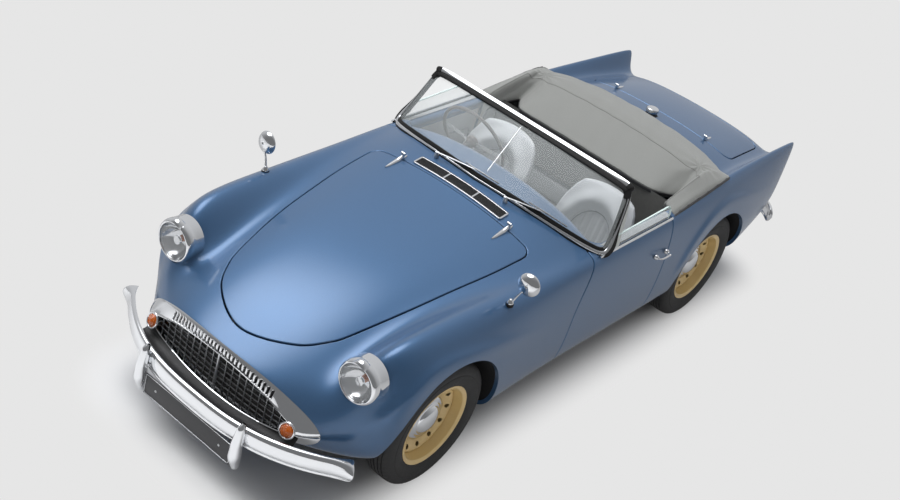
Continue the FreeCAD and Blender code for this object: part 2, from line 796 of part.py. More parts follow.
def make_front_suspension():
    """Upper and lower wishbones with the coil spring unit between them."""
    outer_x = rail_inner_x + rail_width
    end_x = king_pin_x - knuckle_radius - seat_gap * 2
    pieces = []
    for z, spread in ((lower_arm_z, lower_arm_spread), (upper_arm_z, upper_arm_spread)):
        tip = V(end_x, front_axle_y, z)
        for side in (-1, 1):
            root = V(outer_x, front_axle_y + side * spread, z)
            pieces.append(cylinder(root, tip - root, arm_radius, (tip - root).Length))
        pieces.append(cylinder(V(outer_x, front_axle_y - spread, z), AXIS_Y, arm_radius,
                               spread * 2))
    foot = V(damper_x, front_axle_y, lower_arm_z)
    pieces.append(cylinder(foot, AXIS_Z, damper_radius, upper_arm_z - lower_arm_z))
    unit = fused(pieces)
    keep = box(V(outer_x + seat_gap, -half_length, 0), V(end_x, 0, crown_height))
    return pair(unit.common(keep))


lower_arm_z = 222.0
upper_arm_z = 428.0
lower_arm_spread = 120.0
upper_arm_spread = 60.0
arm_radius = 13.0
damper_x = 440.0
damper_radius = 36.0
knuckle_radius = 20.0
knuckle_bottom = 196.0
knuckle_top = 448.0
disc_radius = 136.0
disc_thickness = 12.0
hub_radius = 52.0


def make_knuckle():
    """Upright with its stub axle and brake disc, turned about the king pin."""
    face_x = front_track / 2 - hub_face_inset
    post = cylinder(V(king_pin_x, front_axle_y, knuckle_bottom), AXIS_Z, knuckle_radius,
                    knuckle_top - knuckle_bottom)
    axle = cylinder(V(king_pin_x, front_axle_y, tyre_radius), AXIS_X, hub_radius,
                    face_x - king_pin_x)
    disc = cylinder(V(king_pin_x + knuckle_radius, front_axle_y, tyre_radius), AXIS_X,
                    disc_radius, disc_thickness)
    stub = cylinder(V(face_x, front_axle_y, tyre_radius), AXIS_X, stub_radius, stub_length)
    return fused([post, axle, disc, stub])


def make_wheel(sign, track, axle_y):
    """Pressed steel wheel with a dished disc, a ring of holes and a stepped hub cap."""
    half = rim_width / 2
    flange = half + rim_wall
    face = -hub_face_inset + seat_gap
    barrel = [(-flange, rim_radius), (-half, rim_radius), (-half, bead_radius - seat_gap),
              (half, bead_radius - seat_gap), (half, rim_radius), (flange, rim_radius),
              (flange, rim_radius - rim_wall), (flange - rim_wall, bead_radius - rim_wall * 2),
              (disc_edge_x, bead_radius - rim_wall * 3), (disc_edge_x - disc_plate * 2,
                                                         bead_radius - rim_wall * 2),
              (-flange, rim_radius - rim_wall * 2)]
    disc = [(face, hub_bore_radius), (face + disc_plate, hub_bore_radius),
            (face + disc_plate, hub_cap_radius), (disc_edge_x, bead_radius - rim_wall * 3),
            (disc_edge_x - disc_plate * 2, bead_radius - rim_wall * 2),
            (face, hub_cap_radius)]
    cap = [(face + disc_plate, hub_bore_radius), (face + disc_plate, hub_cap_radius),
           (face + disc_plate + hub_cap_step, hub_cap_radius),
           (face + disc_plate + hub_cap_height * .6, hub_cap_radius * .8),
           (face + disc_plate + hub_cap_height * .7, hub_cap_radius * .62),
           (face + disc_plate + hub_cap_height * 1.35, hub_cap_radius * .4),
           (face + disc_plate + hub_cap_height * 1.5, 0),
           (face + disc_plate + hub_cap_height * 1.3, 0),
           (face + disc_plate + hub_cap_height * .5, hub_bore_radius)]
    centre = V(track / 2, axle_y, tyre_radius)
    body = fused([turned(barrel, centre), turned(disc, centre), turned(cap, centre)])
    holes = []
    for k in range(vent_hole_count):
        turn = math.radians(360.0 * k / vent_hole_count)
        spot = centre + V(-reach / 2, vent_circle_radius * math.cos(turn),
                          vent_circle_radius * math.sin(turn))
        holes.append(cylinder(spot, AXIS_X, vent_hole_radius, reach))
    body = body.cut(holes)
    return body if sign > 0 else mirrored(body)


disc_edge_x = 22.0
hub_cap_step = 6.0


def make_tyre(sign, track, axle_y):
    """Cross-ply tyre with straight facets for its shoulders and side walls."""
    half = tyre_width / 2
    inner = bead_radius
    side = [(rim_width / 2 - seat_gap, inner), (rim_width / 2 - seat_gap, rim_radius + seat_gap),
            (half, rim_radius + tyre_bulge_rise), (tread_half, tyre_radius)]
    profile = side + [(-a, r) for a, r in side[::-1]]
    ring = turned(profile, V(track / 2, axle_y, tyre_radius))
    return ring if sign > 0 else mirrored(ring)


tyre_bulge_rise = 45.0
tread_half = 56.0


def at_x(edge, x):
    """Point of an edge that runs from -X to +X, at one place across."""
    low, high = edge.ParameterRange
    for _ in range(halvings):
        middle = (low + high) / 2
        if edge.valueAt(middle).x < x:
            low = middle
        else:
            high = middle
    return edge.valueAt((low + high) / 2)


halvings = 40
glass_low_points = 5
glass_high_points = 3


def across(points):
    """Smooth edge through a half run of points and its mirror, from -X to +X."""
    left = [V(*p) for p in points]
    right = [V(-p.x, p.y, p.z) for p in left[:0:-1]]
    return curve_edge(right + left)


def glass_edges():
    low = across(windscreen_loop[:glass_low_points])
    high = across(windscreen_loop[:-glass_high_points - 1:-1])
    return low, high


def biggest(shape):
    return max(shape.Solids, key=lambda solid: solid.Volume)


def bar_along(points, radius):
    """Round bar bent smoothly past points: its two ends lie square to X."""
    rows = []
    last = len(points) - 1
    for i, point in enumerate(points):
        along = points[min(i + 1, last)] - points[max(i - 1, 0)]
        if i in (0, last):
            along = V(along.x, 0, 0)
        along.normalize()
        side = along.cross(AXIS_Z if abs(along.z) < abs(along.x) else AXIS_Y).normalize()
        up = side.cross(along)
        row = []
        for k in range(bar_sides + 1):
            turn = 2 * math.pi * k / bar_sides
            row.append(point + (side * math.cos(turn) + up * math.sin(turn)) * radius)
        rows.append(row)
    return net_solid(rows)


bar_sides = 10


def make_windscreen(outer):
    """Frame bent round the curved glass with its centre rod, and the glass itself."""
    frame_half = bar_along([V(*p) for p in windscreen_loop], windscreen_frame_radius)
    frame = fused(both(frame_half))
    low, high = glass_edges()
    sheet = Part.makeRuledSurface(low, high)
    glass = sheet.extrude(V(0, -windscreen_glass_thickness, windscreen_glass_thickness))
    rod = cylinder(rod_foot, rod_top - rod_foot, rod_radius, (rod_top - rod_foot).Length)
    frame = frame.cut(outer)
    glass = biggest(glass.cut([frame, outer]))
    rod = biggest(rod.cut([frame, outer, glass]))
    return Part.makeCompound([biggest(frame), rod]), glass


def make_wipers(outer):
    """Two arms on their spindles, each with a blade lying on the glass."""
    low, high = glass_edges()
    pieces = []
    for spindle_x, first_x, last_x in wiper_places:
        ends = []
        for x in (first_x, last_x, (first_x + last_x) / 2):
            foot = at_x(low, x)
            head = at_x(high, x)
            up = (head - foot).normalize()
            out = up.cross(AXIS_X) * MIRROR
            ends.append(foot + up * wiper_lift + out * wiper_stand)
        base = at_x(low, spindle_x) + V(0, -wiper_reach, 0)
        blade_bar = cylinder(ends[0], ends[1] - ends[0], wiper_radius,
                             (ends[1] - ends[0]).Length)
        post = cylinder(base - V(0, 0, wiper_post / 2), AXIS_Z, wiper_post_radius, wiper_post)
        top = base + V(0, 0, wiper_post / 2 - wiper_radius)
        arm = cylinder(top, ends[2] - top, wiper_radius, (ends[2] - top).Length)
        pieces.append(biggest(fused([blade_bar, post, arm]).cut(outer)))
    return Part.makeCompound(pieces)


wiper_places = ((-237.0, -80.0, 125.0), (205.0, 300.0, 500.0))
wiper_lift = 42.0
wiper_stand = 14.0
wiper_reach = 34.0
wiper_radius = 4.0
wiper_post = 60.0
wiper_post_radius = 8.0


def pad(centre, size, radius):
    """Cushion block with every edge rounded."""
    low = centre - size / 2
    block = Part.makeBox(size.x, size.y, size.z, low)
    return block.makeFillet(radius, block.Edges)


def make_seat():
    """Bucket seat for the left side: cushion, wrapped backrest and its base."""
    cushion_depth = seat_rear_y - seat_back_thickness - seat_front_y
    height = seat_cushion_top - seat_cushion_bottom
    cushion = pad(V(seat_x, seat_front_y + cushion_depth / 2, seat_cushion_bottom + height / 2),
                  V(seat_width, cushion_depth, height), height / 4)
    rows = []
    for level, width, bow, rear in seat_back_shares:
        z = seat_cushion_bottom + level * (seat_back_top - seat_cushion_bottom)
        half = seat_width / 2 * width
        back = seat_rear_y + rear * seat_back_thickness
        depth = seat_back_thickness
        loop = [(0, back), (half * .7, back - depth * .1), (half, back - depth * .5),
                (half, back - depth * bow), (half * .72, back - depth * (bow + .15)),
                (half * .55, back - depth * 1.05), (0, back - depth)]
        left = [V(seat_x + x, y, z) for x, y in loop]
        right = [V(seat_x - x, y, z) for x, y in loop[-2::-1]]
        rows.append(left + right)
    backrest = net_solid(rows)
    foot = box(V(seat_x - seat_width * .35, seat_front_y + cushion_depth * .15,
                 floor_height + floor_plate),
               V(seat_x + seat_width * .35, seat_front_y + cushion_depth * .85,
                 seat_cushion_bottom + height / 2))
    return fused([cushion, backrest, foot])


seat_back_shares = [(.02, .80, 1.15, 0), (.20, .96, 1.5, .02), (.42, 1.0, 1.6, .16),
                    (.66, .98, 1.45, .36), (.85, .94, 1.25, .52), (.95, .84, 1.1, .58),
                    (1.0, .62, 1.0, .58)]


def make_rear_seat():
    """Low cushion and upright squab of the occasional rear seat."""
    depth = rear_seat_rear_y - rear_seat_front_y
    height = rear_seat_top - rear_seat_bottom
    cushion = pad(V(0, rear_seat_front_y + depth / 2, rear_seat_bottom + height / 2),
                  V(rear_seat_half * 2, depth, height), height / 4)
    squab = pad(V(0, rear_seat_rear_y, (rear_seat_bottom + rear_seat_back_top) / 2),
                V(rear_seat_half * 2, rear_squab_depth, rear_seat_back_top - rear_seat_bottom),
                rear_squab_depth / 4)
    return fused([cushion, squab])


rear_squab_depth = 110.0


def column_direction():
    rake = math.radians(column_rake_deg)
    return V(0, math.cos(rake), math.sin(rake))


def make_dashboard(void):
    face = plate(-reach, dash_front_y, dash_bottom, reach, dash_rear_y, crown_height * 2)
    top = crown_height * 2
    ends = plate(-dash_half, dash_front_y, dash_bottom, dash_half, dash_rear_y, top)
    way = cylinder(steering_wheel_centre - column_direction() * reach, column_direction(),
                   column_radius + seat_gap, reach)
    dash = face.common(ends).common(void).cut(way)
    return dash


def make_steering():
    """Column through the dash, and the wheel on its boss."""
    along = column_direction()
    start = steering_wheel_centre - along * column_length
    column = cylinder(start, along, column_radius, column_length - boss_length - seat_gap)
    rim = Part.makeTorus(steering_wheel_radius, steering_rim_radius, steering_wheel_centre, along)
    boss = cylinder(steering_wheel_centre - along * boss_length, along, boss_radius,
                    boss_length + steering_rim_radius)
    pieces = [rim, boss]
    aside = along.cross(AXIS_X)
    for turn in spoke_turns_deg:
        angle = math.radians(turn)
        way = AXIS_X * math.cos(angle) + aside * math.sin(angle)
        foot = steering_wheel_centre - along * boss_length / 2
        spoke = steering_wheel_centre + way * steering_wheel_radius - foot
        pieces.append(cylinder(foot, spoke, spoke_radius, spoke.Length))
    return column, fused(pieces)


boss_length = 34.0
boss_radius = 36.0
spoke_radius = 5.0
spoke_turns_deg = (0, 90, 180)


def make_hood_cover(blockers):
    """Padded cover over the folded hood, lying on the body behind the cockpit."""
    rows = []
    for across, front, ridge_y, ridge_z, top_z, rear_y, low_z in hood_sections:
        mid_y = (front + ridge_y) / 2
        mid_z = (low_z + ridge_z) / 2
        loop = [(front, low_z), (front - hood_lip, low_z + hood_lip), (mid_y, mid_z),
                (ridge_y - hood_lip, ridge_z - hood_lip / 4), (ridge_y + hood_lip, ridge_z),
                ((ridge_y + rear_y) / 2, top_z), (rear_y - hood_lip, top_z - hood_lip * 1.6),
                (rear_y, hood_base_z), (rear_y - hood_lip, hood_base_z - hood_lip),
                ((front + rear_y) / 2, hood_base_z - hood_lip), (front, low_z)]
        rows.append([V(across, y, z) for y, z in loop])
    rows = rows + [[V(-p.x, p.y, p.z) for p in row] for row in rows[-2::-1]]
    cover = net_solid(rows).cut(blockers)
    return max(cover.Solids, key=lambda s: s.Volume)


hood_lip = 26.0
hood_base_z = 850.0
hood_sections = [
    (655.0, 600.0, 860.0, 868.0, 868.0, 1130.0, 848.0),
    (635.0, 580.0, 900.0, 890.0, 885.0, 1195.0, 848.0),
    (560.0, 640.0, 930.0, 930.0, 920.0, 1235.0, 850.0),
    (400.0, 660.0, 950.0, 958.0, 945.0, 1262.0, 852.0),
    (200.0, 665.0, 955.0, 976.0, 962.0, 1272.0, 856.0),
    (0.0, 665.0, 955.0, 982.0, 966.0, 1276.0, 858.0)]


def blade(stations, height, depth, centre_z):
    """Bumper blade: an oval section along stations of (x, y, size share)."""
    rows = []
    for x, y, share in stations:
        loop = []
        for turn in range(13):
            angle = 2 * math.pi * turn / 12
            loop.append(V(x, y + math.cos(angle) * depth / 2 * share,
                          centre_z + math.sin(angle) * height / 2 * share))
        rows.append(loop)
    return net_solid(rows)


def make_front_bumper():
    """Full-width blade swept back at its ends, with two overriders and its irons."""
    stations = []
    for share in (-1.0, -.985, -.93, -.84, -.68, -.5, -.25, 0, .25, .5, .68, .84, .93, .985, 1.0):
        x = share * bumper_end_x
        y = bumper_front_y + (bumper_end_y - bumper_front_y) * abs(share) ** 2.4
        size = math.sqrt(max(0, 1 - abs(share) ** 14)) * .95 + .05
        stations.append((x, y, size))
    pieces = [blade(stations, bumper_height, bumper_depth, bumper_centre_z)]
    for side in (-1, 1):
        middle = V(side * overrider_x, overrider_front_y + overrider_depth / 2,
                   (overrider_bottom + overrider_top) / 2)
        guard = pad(middle, V(overrider_width, overrider_depth, overrider_top - overrider_bottom),
                    overrider_width / 2.3)
        pieces.append(guard)
        low_x = side * iron_x - iron_half
        high_x = side * iron_x + iron_half
        front_y = bumper_front_y + bumper_depth * iron_set_share
        iron = box(V(low_x, front_y, rail_bottom - iron_height),
                   V(high_x, rail_front_y + rail_width, rail_bottom))
        post = box(V(low_x, front_y, rail_bottom - iron_height),
                   V(high_x, front_y + iron_height, bumper_centre_z))
        pieces.extend([iron, post])
    return fused(pieces)


overrider_depth = 74.0
iron_x = 310.0
iron_set_share = .4
iron_half = 18.0
iron_height = 12.0


def make_rear_bumpers():
    """Short quarter bumpers, each with an overrider, seated on the tail."""
    stations = []
    for share, back in ((0, 0), (.02, 0), (.12, 0), (.5, 0), (.75, .08), (.9, .3), (.97, .62),
                        (1.0, .8)):
        x = rear_bumper_inner_x + share * (rear_bumper_outer_x - rear_bumper_inner_x)
        size = .3 if share in (0, 1.0) else 1.0
        stations.append((x, rear_bumper_y - back * rear_bumper_wrap, size))
    bar = blade(stations, bumper_height, bumper_depth, rear_bumper_z)
    guard = pad(V(rear_guard_x, rear_bumper_y + bumper_depth / 4, rear_bumper_z),
                V(overrider_width, overrider_depth, rear_guard_height), overrider_width / 2.3)
    iron = box(V(rear_guard_x - iron_half, rear_iron_y, rear_bumper_z - iron_half),
               V(rear_guard_x + iron_half, rear_bumper_y, rear_bumper_z + iron_half))
    return fused([bar, guard, iron])


rear_bumper_wrap = 120.0
rear_guard_x = 380.0
rear_guard_height = 210.0
rear_iron_y = 1700.0


def make_plates():
    """Blank number plate between the overriders."""
    half = overrider_x - overrider_width / 2 - seat_gap
    front_y = bumper_front_y + seat_gap
    low_z = plate_centre_z - plate_height / 2
    return box(V(-half, front_y, low_z), V(half, front_y + plate_thickness, low_z + plate_height))


def mouth_slab(front_y, back_y):
    """Space inside the mouth between two swept fronts."""
    low = 0
    high = crown_height
    ahead = parabola_prism(front_y, nose_sweep_share, half_length, low, high)
    behind = parabola_prism(back_y, nose_sweep_share, half_length, low, high)
    return ahead.cut(behind)


def loop_face(poles):
    """Flat face inside a smooth closed run of poles."""
    degree = 3
    knots = list(range(len(poles) - degree + 1))
    mults = [degree + 1] + [1] * (len(knots) - 2) + [degree + 1]
    curve = Part.BSplineCurve()
    curve.buildFromPolesMultsKnots(poles, mults, knots, False, degree)
    return Part.Face(Part.Wire([curve.toShape()]))


def throat_prism(change, drop):
    """Fore-and-aft prism with the outline of the mouth, made larger by a change."""
    poles = body_rows(body_stations_shares)[0]
    around = len(poles) - 1
    moved = []
    for j, pole in enumerate(poles):
        after = poles[j + 1] if j < around else poles[1]
        before = poles[j - 1] if j > 0 else poles[around - 1]
        normal = AXIS_Y.cross(after - before)
        normal.normalize()
        moved.append(V(pole.x, 0, pole.z - drop) + normal * change)
    return loop_face(moved).extrude(V(0, -half_length, 0))


def make_grille(outer):
    """Chromed surround seated in the lip of the mouth, and the mesh of thin bars."""
    opening = throat_prism(-surround_inset, surround_drop)
    surround = throat_prism(surround_spread, 0).cut(opening)
    surround = surround.common(mouth_slab(surround_front_y, surround_back_y))
    seat = cylinder(V(indicator_centre.x, -half_length, indicator_centre.z), AXIS_Y,
                    indicator_radius + indicator_rim + seat_gap, half_length)
    surround = biggest(surround.cut([outer] + both(seat)))
    bars = []
    deep = half_length
    for k in range(-mesh_upright_count, mesh_upright_count + 1):
        x = k * mesh_pitch
        bars.append(box(V(x - mesh_bar / 2, -deep, 0), V(x + mesh_bar / 2, 0, crown_height)))
    for k in range(mesh_level_count):
        z = mesh_low_z + k * mesh_pitch
        bars.append(box(V(-half_width, -deep, z - mesh_bar / 2),
                        V(half_width, 0, z + mesh_bar / 2)))
    mesh_y = surround_back_y + seat_gap
    slab = mouth_slab(mesh_y, mesh_y + mesh_depth)
    field = throat_prism(mesh_lap - surround_inset, surround_drop).common(slab)
    mesh = bars[0].multiFuse(bars[1:]).common(field)
    lamps = make_indicators()
    mesh = mesh.cut(lamps.Solids)
    return surround, biggest(mesh)


surround_inset = 20.0
surround_drop = 12.0
surround_spread = 36.0
surround_front_y = -1898.0
surround_back_y = -1862.0
mesh_upright_count = 15
mesh_level_count = 7
mesh_pitch = 30.0
mesh_low_z = 352.0
mesh_bar = 4.0
mesh_depth = 6.0
mesh_lap = 6.0


def make_indicators():
    """Round lamp in a rim at each end of the grille."""
    x, y, z = to_list(indicator_centre)
    total = indicator_radius + indicator_rim
    profile = [(indicator_depth, 0), (indicator_depth, indicator_radius), (indicator_rim,
               indicator_radius), (indicator_rim, total), (0, total),
               (-indicator_rim, indicator_radius), (-indicator_rim * 2, indicator_radius / 2),
               (-indicator_rim * 2.4, 0)]
    points = [V(x + r, y + a, z) for a, r in profile]
    face = Part.Face(Part.makePolygon(points + [points[0]]))
    return pair(face.revolve(indicator_centre, AXIS_Y, 360))


def make_headlamps():
    """Bezel and domed glass in each wing."""
    front = lamp_centre.y
    profile = [(-lamp_depth * .6, 0), (-lamp_depth * .6, lamp_radius * .8),
               (0, lamp_radius - seat_gap), (lamp_rim, lamp_radius - seat_gap),
               (lamp_rim * 1.6, lamp_radius - lamp_rim),
               (lamp_dome * .9, lamp_radius * .55), (lamp_dome, 0)]
    points = [V(lamp_centre.x + r, front - a, lamp_centre.z) for a, r in profile]
    face = Part.Face(Part.makePolygon(points + [points[0]]))
    lamp = face.revolve(lamp_centre, AXIS_Y, 360)
    return pair(lamp)


def skin_layer(thickness):
    """The body's middle made thicker by a little, for what lies on the skin."""
    rows = inset_rows(body_rows(body_stations_shares), -thickness)
    rows = rows[layer_first_station:layer_last_station]
    for index in (0, -1):
        level = rows[index][0].y
        rows[index] = [V(p.x, level, p.z) for p in rows[index]]
    return net_solid(rows)


layer_first_station = 8
layer_last_station = 17


def make_scuttle_vent(outer, raised):
    """Chromed frame with three dark mesh panels, lying on the scuttle."""
    low = crown_height * panel_base_share
    high = crown_height * 2
    frame = box(V(-vent_half, vent_front_y, low), V(vent_half, vent_rear_y, high))
    panel = (vent_half * 2 - vent_frame * 4) / 3
    windows = []
    for k in range(3):
        x = -vent_half + vent_frame + k * (panel + vent_frame)
        windows.append(box(V(x, vent_front_y + vent_frame, low),
                           V(x + panel, vent_rear_y - vent_frame, high)))
    ring = raised.common(frame).cut(outer).cut(windows)
    return biggest(ring)


vent_half = 278.0
vent_front_y = -466.0
vent_rear_y = -396.0
vent_frame = 9.0
vent_rise = 4.0


def make_mirror(outer, base, out):
    """Wing mirror: foot, leaning stalk and a round head facing back."""
    foot = cylinder(base - V(0, 0, mirror_foot), AXIS_Z, mirror_foot_radius, mirror_foot * 1.3)
    head = base + V(out * mirror_out, mirror_back, mirror_rise)
    start = base - V(0, 0, mirror_foot / 2)
    stalk = cylinder(start, head - start, mirror_stalk_radius, (head - start).Length)
    shell = [(-mirror_bowl, 0), (-mirror_bowl * .8, mirror_radius * .6), (0, mirror_radius),
             (mirror_bowl * .2, mirror_radius), (mirror_bowl * .2, 0)]
    points = [V(head.x + r, head.y + a, head.z) for a, r in shell]
    bowl = Part.Face(Part.makePolygon(points + [points[0]])).revolve(head, AXIS_Y, 360)
    return biggest(fused([foot, stalk, bowl]).cut(outer))


mirror_left = V(668.0, -850.0, 846.0)
mirror_right = V(-632.0, -1098.0, 853.0)
mirror_foot = 20.0
mirror_foot_radius = 15.0
mirror_stalk_radius = 6.0
mirror_rise = 112.0
mirror_out = 46.0
mirror_back = 22.0
mirror_radius = 55.0
mirror_bowl = 24.0


def make_handle(outer, sign):
    """Pull handle on two posts."""
    bar = cylinder(V(sign * handle_x, handle_front_y, handle_z), AXIS_Y, handle_radius,
                   handle_rear_y - handle_front_y)
    posts = [cylinder(V(sign * handle_x, y, handle_z), AXIS_X * -sign, post_radius,
                      handle_stand * 2)
             for y in (handle_front_y + handle_radius, handle_rear_y - handle_radius)]
    return biggest(fused([bar] + posts).cut(outer))


handle_x = 748.0
handle_z = 684.0
handle_front_y = 388.0
handle_rear_y = 492.0
handle_radius = 7.0
handle_stand = 24.0
post_radius = 5.0


def make_fuel_cap(outer):
    cap = cylinder(V(0, fuel_cap_y, fuel_cap_top - fuel_cap_height), AXIS_Z, fuel_cap_radius,
                   fuel_cap_height)
    lip = cylinder(V(0, fuel_cap_y, fuel_cap_top - fuel_cap_height), AXIS_Z,
                   fuel_cap_radius + fuel_cap_lip, fuel_cap_height - fuel_cap_lip)
    return biggest(fused([cap, lip]).cut(outer))


fuel_cap_y = 1322.0
fuel_cap_top = 938.0
fuel_cap_height = 90.0
fuel_cap_radius = 30.0
fuel_cap_lip = 5.0


def make_hinge_pair(outer, x, pin, length, out, base):
    """Straps on a lid that rise to the barrel on its hinge line."""
    barrel = cylinder(V(x - hinge_width / 2, pin.y, pin.z), AXIS_X, hinge_barrel_radius,
                      hinge_width)
    strap = polygon_prism([V(x, pin.y + out * length, base - hinge_sink),
                           V(x, pin.y + out * hinge_barrel_radius, base - hinge_sink),
                           V(x, pin.y - out * hinge_barrel_radius / 2, pin.z),
                           V(x, pin.y + out * hinge_barrel_radius, pin.z + hinge_barrel_radius),
                           V(x, pin.y + out * length, base + hinge_tip)],
                          V(hinge_width / 2, 0, 0))
    strap.translate(V(-hinge_width / 4, 0, 0))
    return both(biggest(fused([barrel, strap]).cut(outer)))


bonnet_pin = V(0, -474.0, 934.0)
boot_pin = V(0, 1429.0, 894.0)
hinge_width = 30.0
hinge_barrel_radius = 6.0
hinge_sink = 30.0
hinge_tip = 4.0
bonnet_hinge_x = 337.0
bonnet_hinge_length = 120.0
bonnet_hinge_base = 896.0
boot_hinge_x = 313.0
boot_hinge_length = 80.0
boot_hinge_base = 872.0


def make_door_glass(door):
    """Half-raised pane in its slot in the door top."""
    low = V(door_glass_x, door_glass_front_y, door_slot_z)
    points = [low, V(low.x, door_glass_rear_y, door_slot_z),
              V(low.x, door_glass_rear_y, door_glass_rear_z),
              V(low.x, door_glass_top_y, door_glass_top_z),
              V(low.x, door_glass_front_top_y, door_glass_top_z - door_glass_fall)]
    pane = polygon_prism(points, V(door_glass_thickness, 0, 0))
    slot = box(V(low.x - seat_gap, door_glass_front_y - seat_gap, door_slot_z - seat_gap),
               V(low.x + door_glass_thickness + seat_gap, door_glass_rear_y + seat_gap,
                 crown_height * 2))
    return pane, door.cut(slot)


door_glass_front_y = -85.0
door_glass_front_top_y = -45.0
door_glass_rear_y = 478.0
door_glass_rear_z = 880.0
door_glass_top_y = 440.0
door_glass_top_z = 925.0
door_glass_fall = 20.0
door_slot_z = 790.0


def make_tail_lamps(outer):
    """Round lamp on the trailing edge of each fin."""
    lamp = cylinder(V(tail_lamp_x, tail_lamp_y, tail_lamp_z), AXIS_Y, tail_lamp_radius,
                    tail_lamp_depth)
    return pair(biggest(lamp.cut(outer)))


tail_lamp_x = 560.0
tail_lamp_y = 1900.0
tail_lamp_z = 640.0
tail_lamp_depth = 105.0


def model():
    outer, void, shell, tunnel = make_body()
    raised = skin_layer(vent_rise)
    nodes = shell_parts(outer, void, shell, tunnel)
    nodes["chassis"] = make_chassis()
    nodes["floor_tub"] = make_floor_tub(void, [nodes["front_body"], nodes["rear_body"]])
    nodes["engine_and_gearbox"] = make_engine()
    nodes["rear_axle"] = make_rear_axle()
    nodes["leaf_springs"] = make_springs()
    nodes["exhausts"] = make_exhausts()
    nodes["front_suspension"] = make_front_suspension()
    knuckle = make_knuckle()
    nodes["knuckle_left"] = knuckle
    nodes["knuckle_right"] = mirrored(knuckle)
    for place, track, axle_y in (("front", front_track, front_axle_y),
                                 ("rear", rear_track, rear_axle_y)):
        for side, sign in (("left", 1), ("right", MIRROR)):
            nodes["wheel_" + place + "_" + side] = make_wheel(sign, track, axle_y)
            nodes["tyre_" + place + "_" + side] = make_tyre(sign, track, axle_y)
    nodes["windscreen_frame"], nodes["windscreen_glass"] = make_windscreen(outer)
    nodes["wipers"] = make_wipers(outer)
    seat = make_seat()
    nodes["seat_left"] = seat
    nodes["seat_right"] = mirrored(seat)
    nodes["rear_seat"] = make_rear_seat()
    nodes["dashboard"] = make_dashboard(void)
    nodes["steering_column"], nodes["steering_wheel"] = make_steering()
    blockers = [nodes["rear_body"], nodes["rear_seat"], nodes["floor_tub"]]
    nodes["hood_cover"] = make_hood_cover(blockers)
    nodes["front_bumper"] = make_front_bumper()
    nodes["rear_bumpers"] = pair(biggest(make_rear_bumpers().cut([outer])))
    nodes["front_plate"] = make_plates()
    nodes["grille_surround"], nodes["grille_mesh"] = make_grille(outer)
    nodes["indicators"] = make_indicators()
    nodes["headlamps"] = make_headlamps()
    nodes["tail_lamps"] = make_tail_lamps(outer)
    nodes["scuttle_vent"] = make_scuttle_vent(outer, raised)
    nodes["wing_mirrors"] = Part.makeCompound([make_mirror(outer, mirror_left, 1),
                                               make_mirror(outer, mirror_right, MIRROR)])
    nodes["door_handle_left"] = make_handle(outer, 1)
    nodes["door_handle_right"] = make_handle(outer, MIRROR)
    nodes["fuel_cap"] = make_fuel_cap(outer)
    nodes["bonnet_hinges"] = Part.makeCompound(make_hinge_pair(
        outer, bonnet_hinge_x, bonnet_pin, bonnet_hinge_length, MIRROR, bonnet_hinge_base))
    nodes["boot_hinges"] = Part.makeCompound(make_hinge_pair(
        outer, boot_hinge_x, boot_pin, boot_hinge_length, 1, boot_hinge_base))
    pane, door = make_door_glass(nodes["door_left"])
    nodes["door_left"] = door
    nodes["door_right"] = mirrored(door)
    nodes["door_glass_left"] = pane
    nodes["door_glass_right"] = mirrored(pane)
    return nodes


if __name__ == "__main__":
    os.makedirs("parts", exist_ok=True)
    for name, shape in model().items():
        print(name, shape.isValid(), len(shape.Solids), round(shape.Volume / 1e6, 2))
        shape.exportStep("parts/" + name + ".step")
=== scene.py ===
import functools
import math

import bpy
import numpy as np
from bpy.props import FloatProperty, FloatVectorProperty, PointerProperty
from mathutils import Matrix, Vector


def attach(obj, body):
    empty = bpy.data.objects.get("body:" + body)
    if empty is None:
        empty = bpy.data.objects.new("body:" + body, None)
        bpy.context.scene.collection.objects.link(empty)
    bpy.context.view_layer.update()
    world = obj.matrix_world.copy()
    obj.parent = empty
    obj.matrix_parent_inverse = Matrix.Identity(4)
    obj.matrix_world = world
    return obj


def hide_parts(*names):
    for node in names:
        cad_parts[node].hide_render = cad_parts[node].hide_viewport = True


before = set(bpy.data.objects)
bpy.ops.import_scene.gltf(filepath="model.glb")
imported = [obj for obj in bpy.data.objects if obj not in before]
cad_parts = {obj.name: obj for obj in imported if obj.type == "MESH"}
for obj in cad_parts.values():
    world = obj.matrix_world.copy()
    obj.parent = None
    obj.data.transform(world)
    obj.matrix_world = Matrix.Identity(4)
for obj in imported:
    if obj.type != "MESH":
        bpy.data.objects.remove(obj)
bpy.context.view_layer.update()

bl_info = {
    "name": "Roadster convertible",
    "version": (1, 0, 0),
    "blender": (4, 5, 0),
    "location": "3D View > Sidebar > Roadster",
    "description": "Finished surfaces and materials for an open roadster over its CAD frame",
    "category": "Object",
}

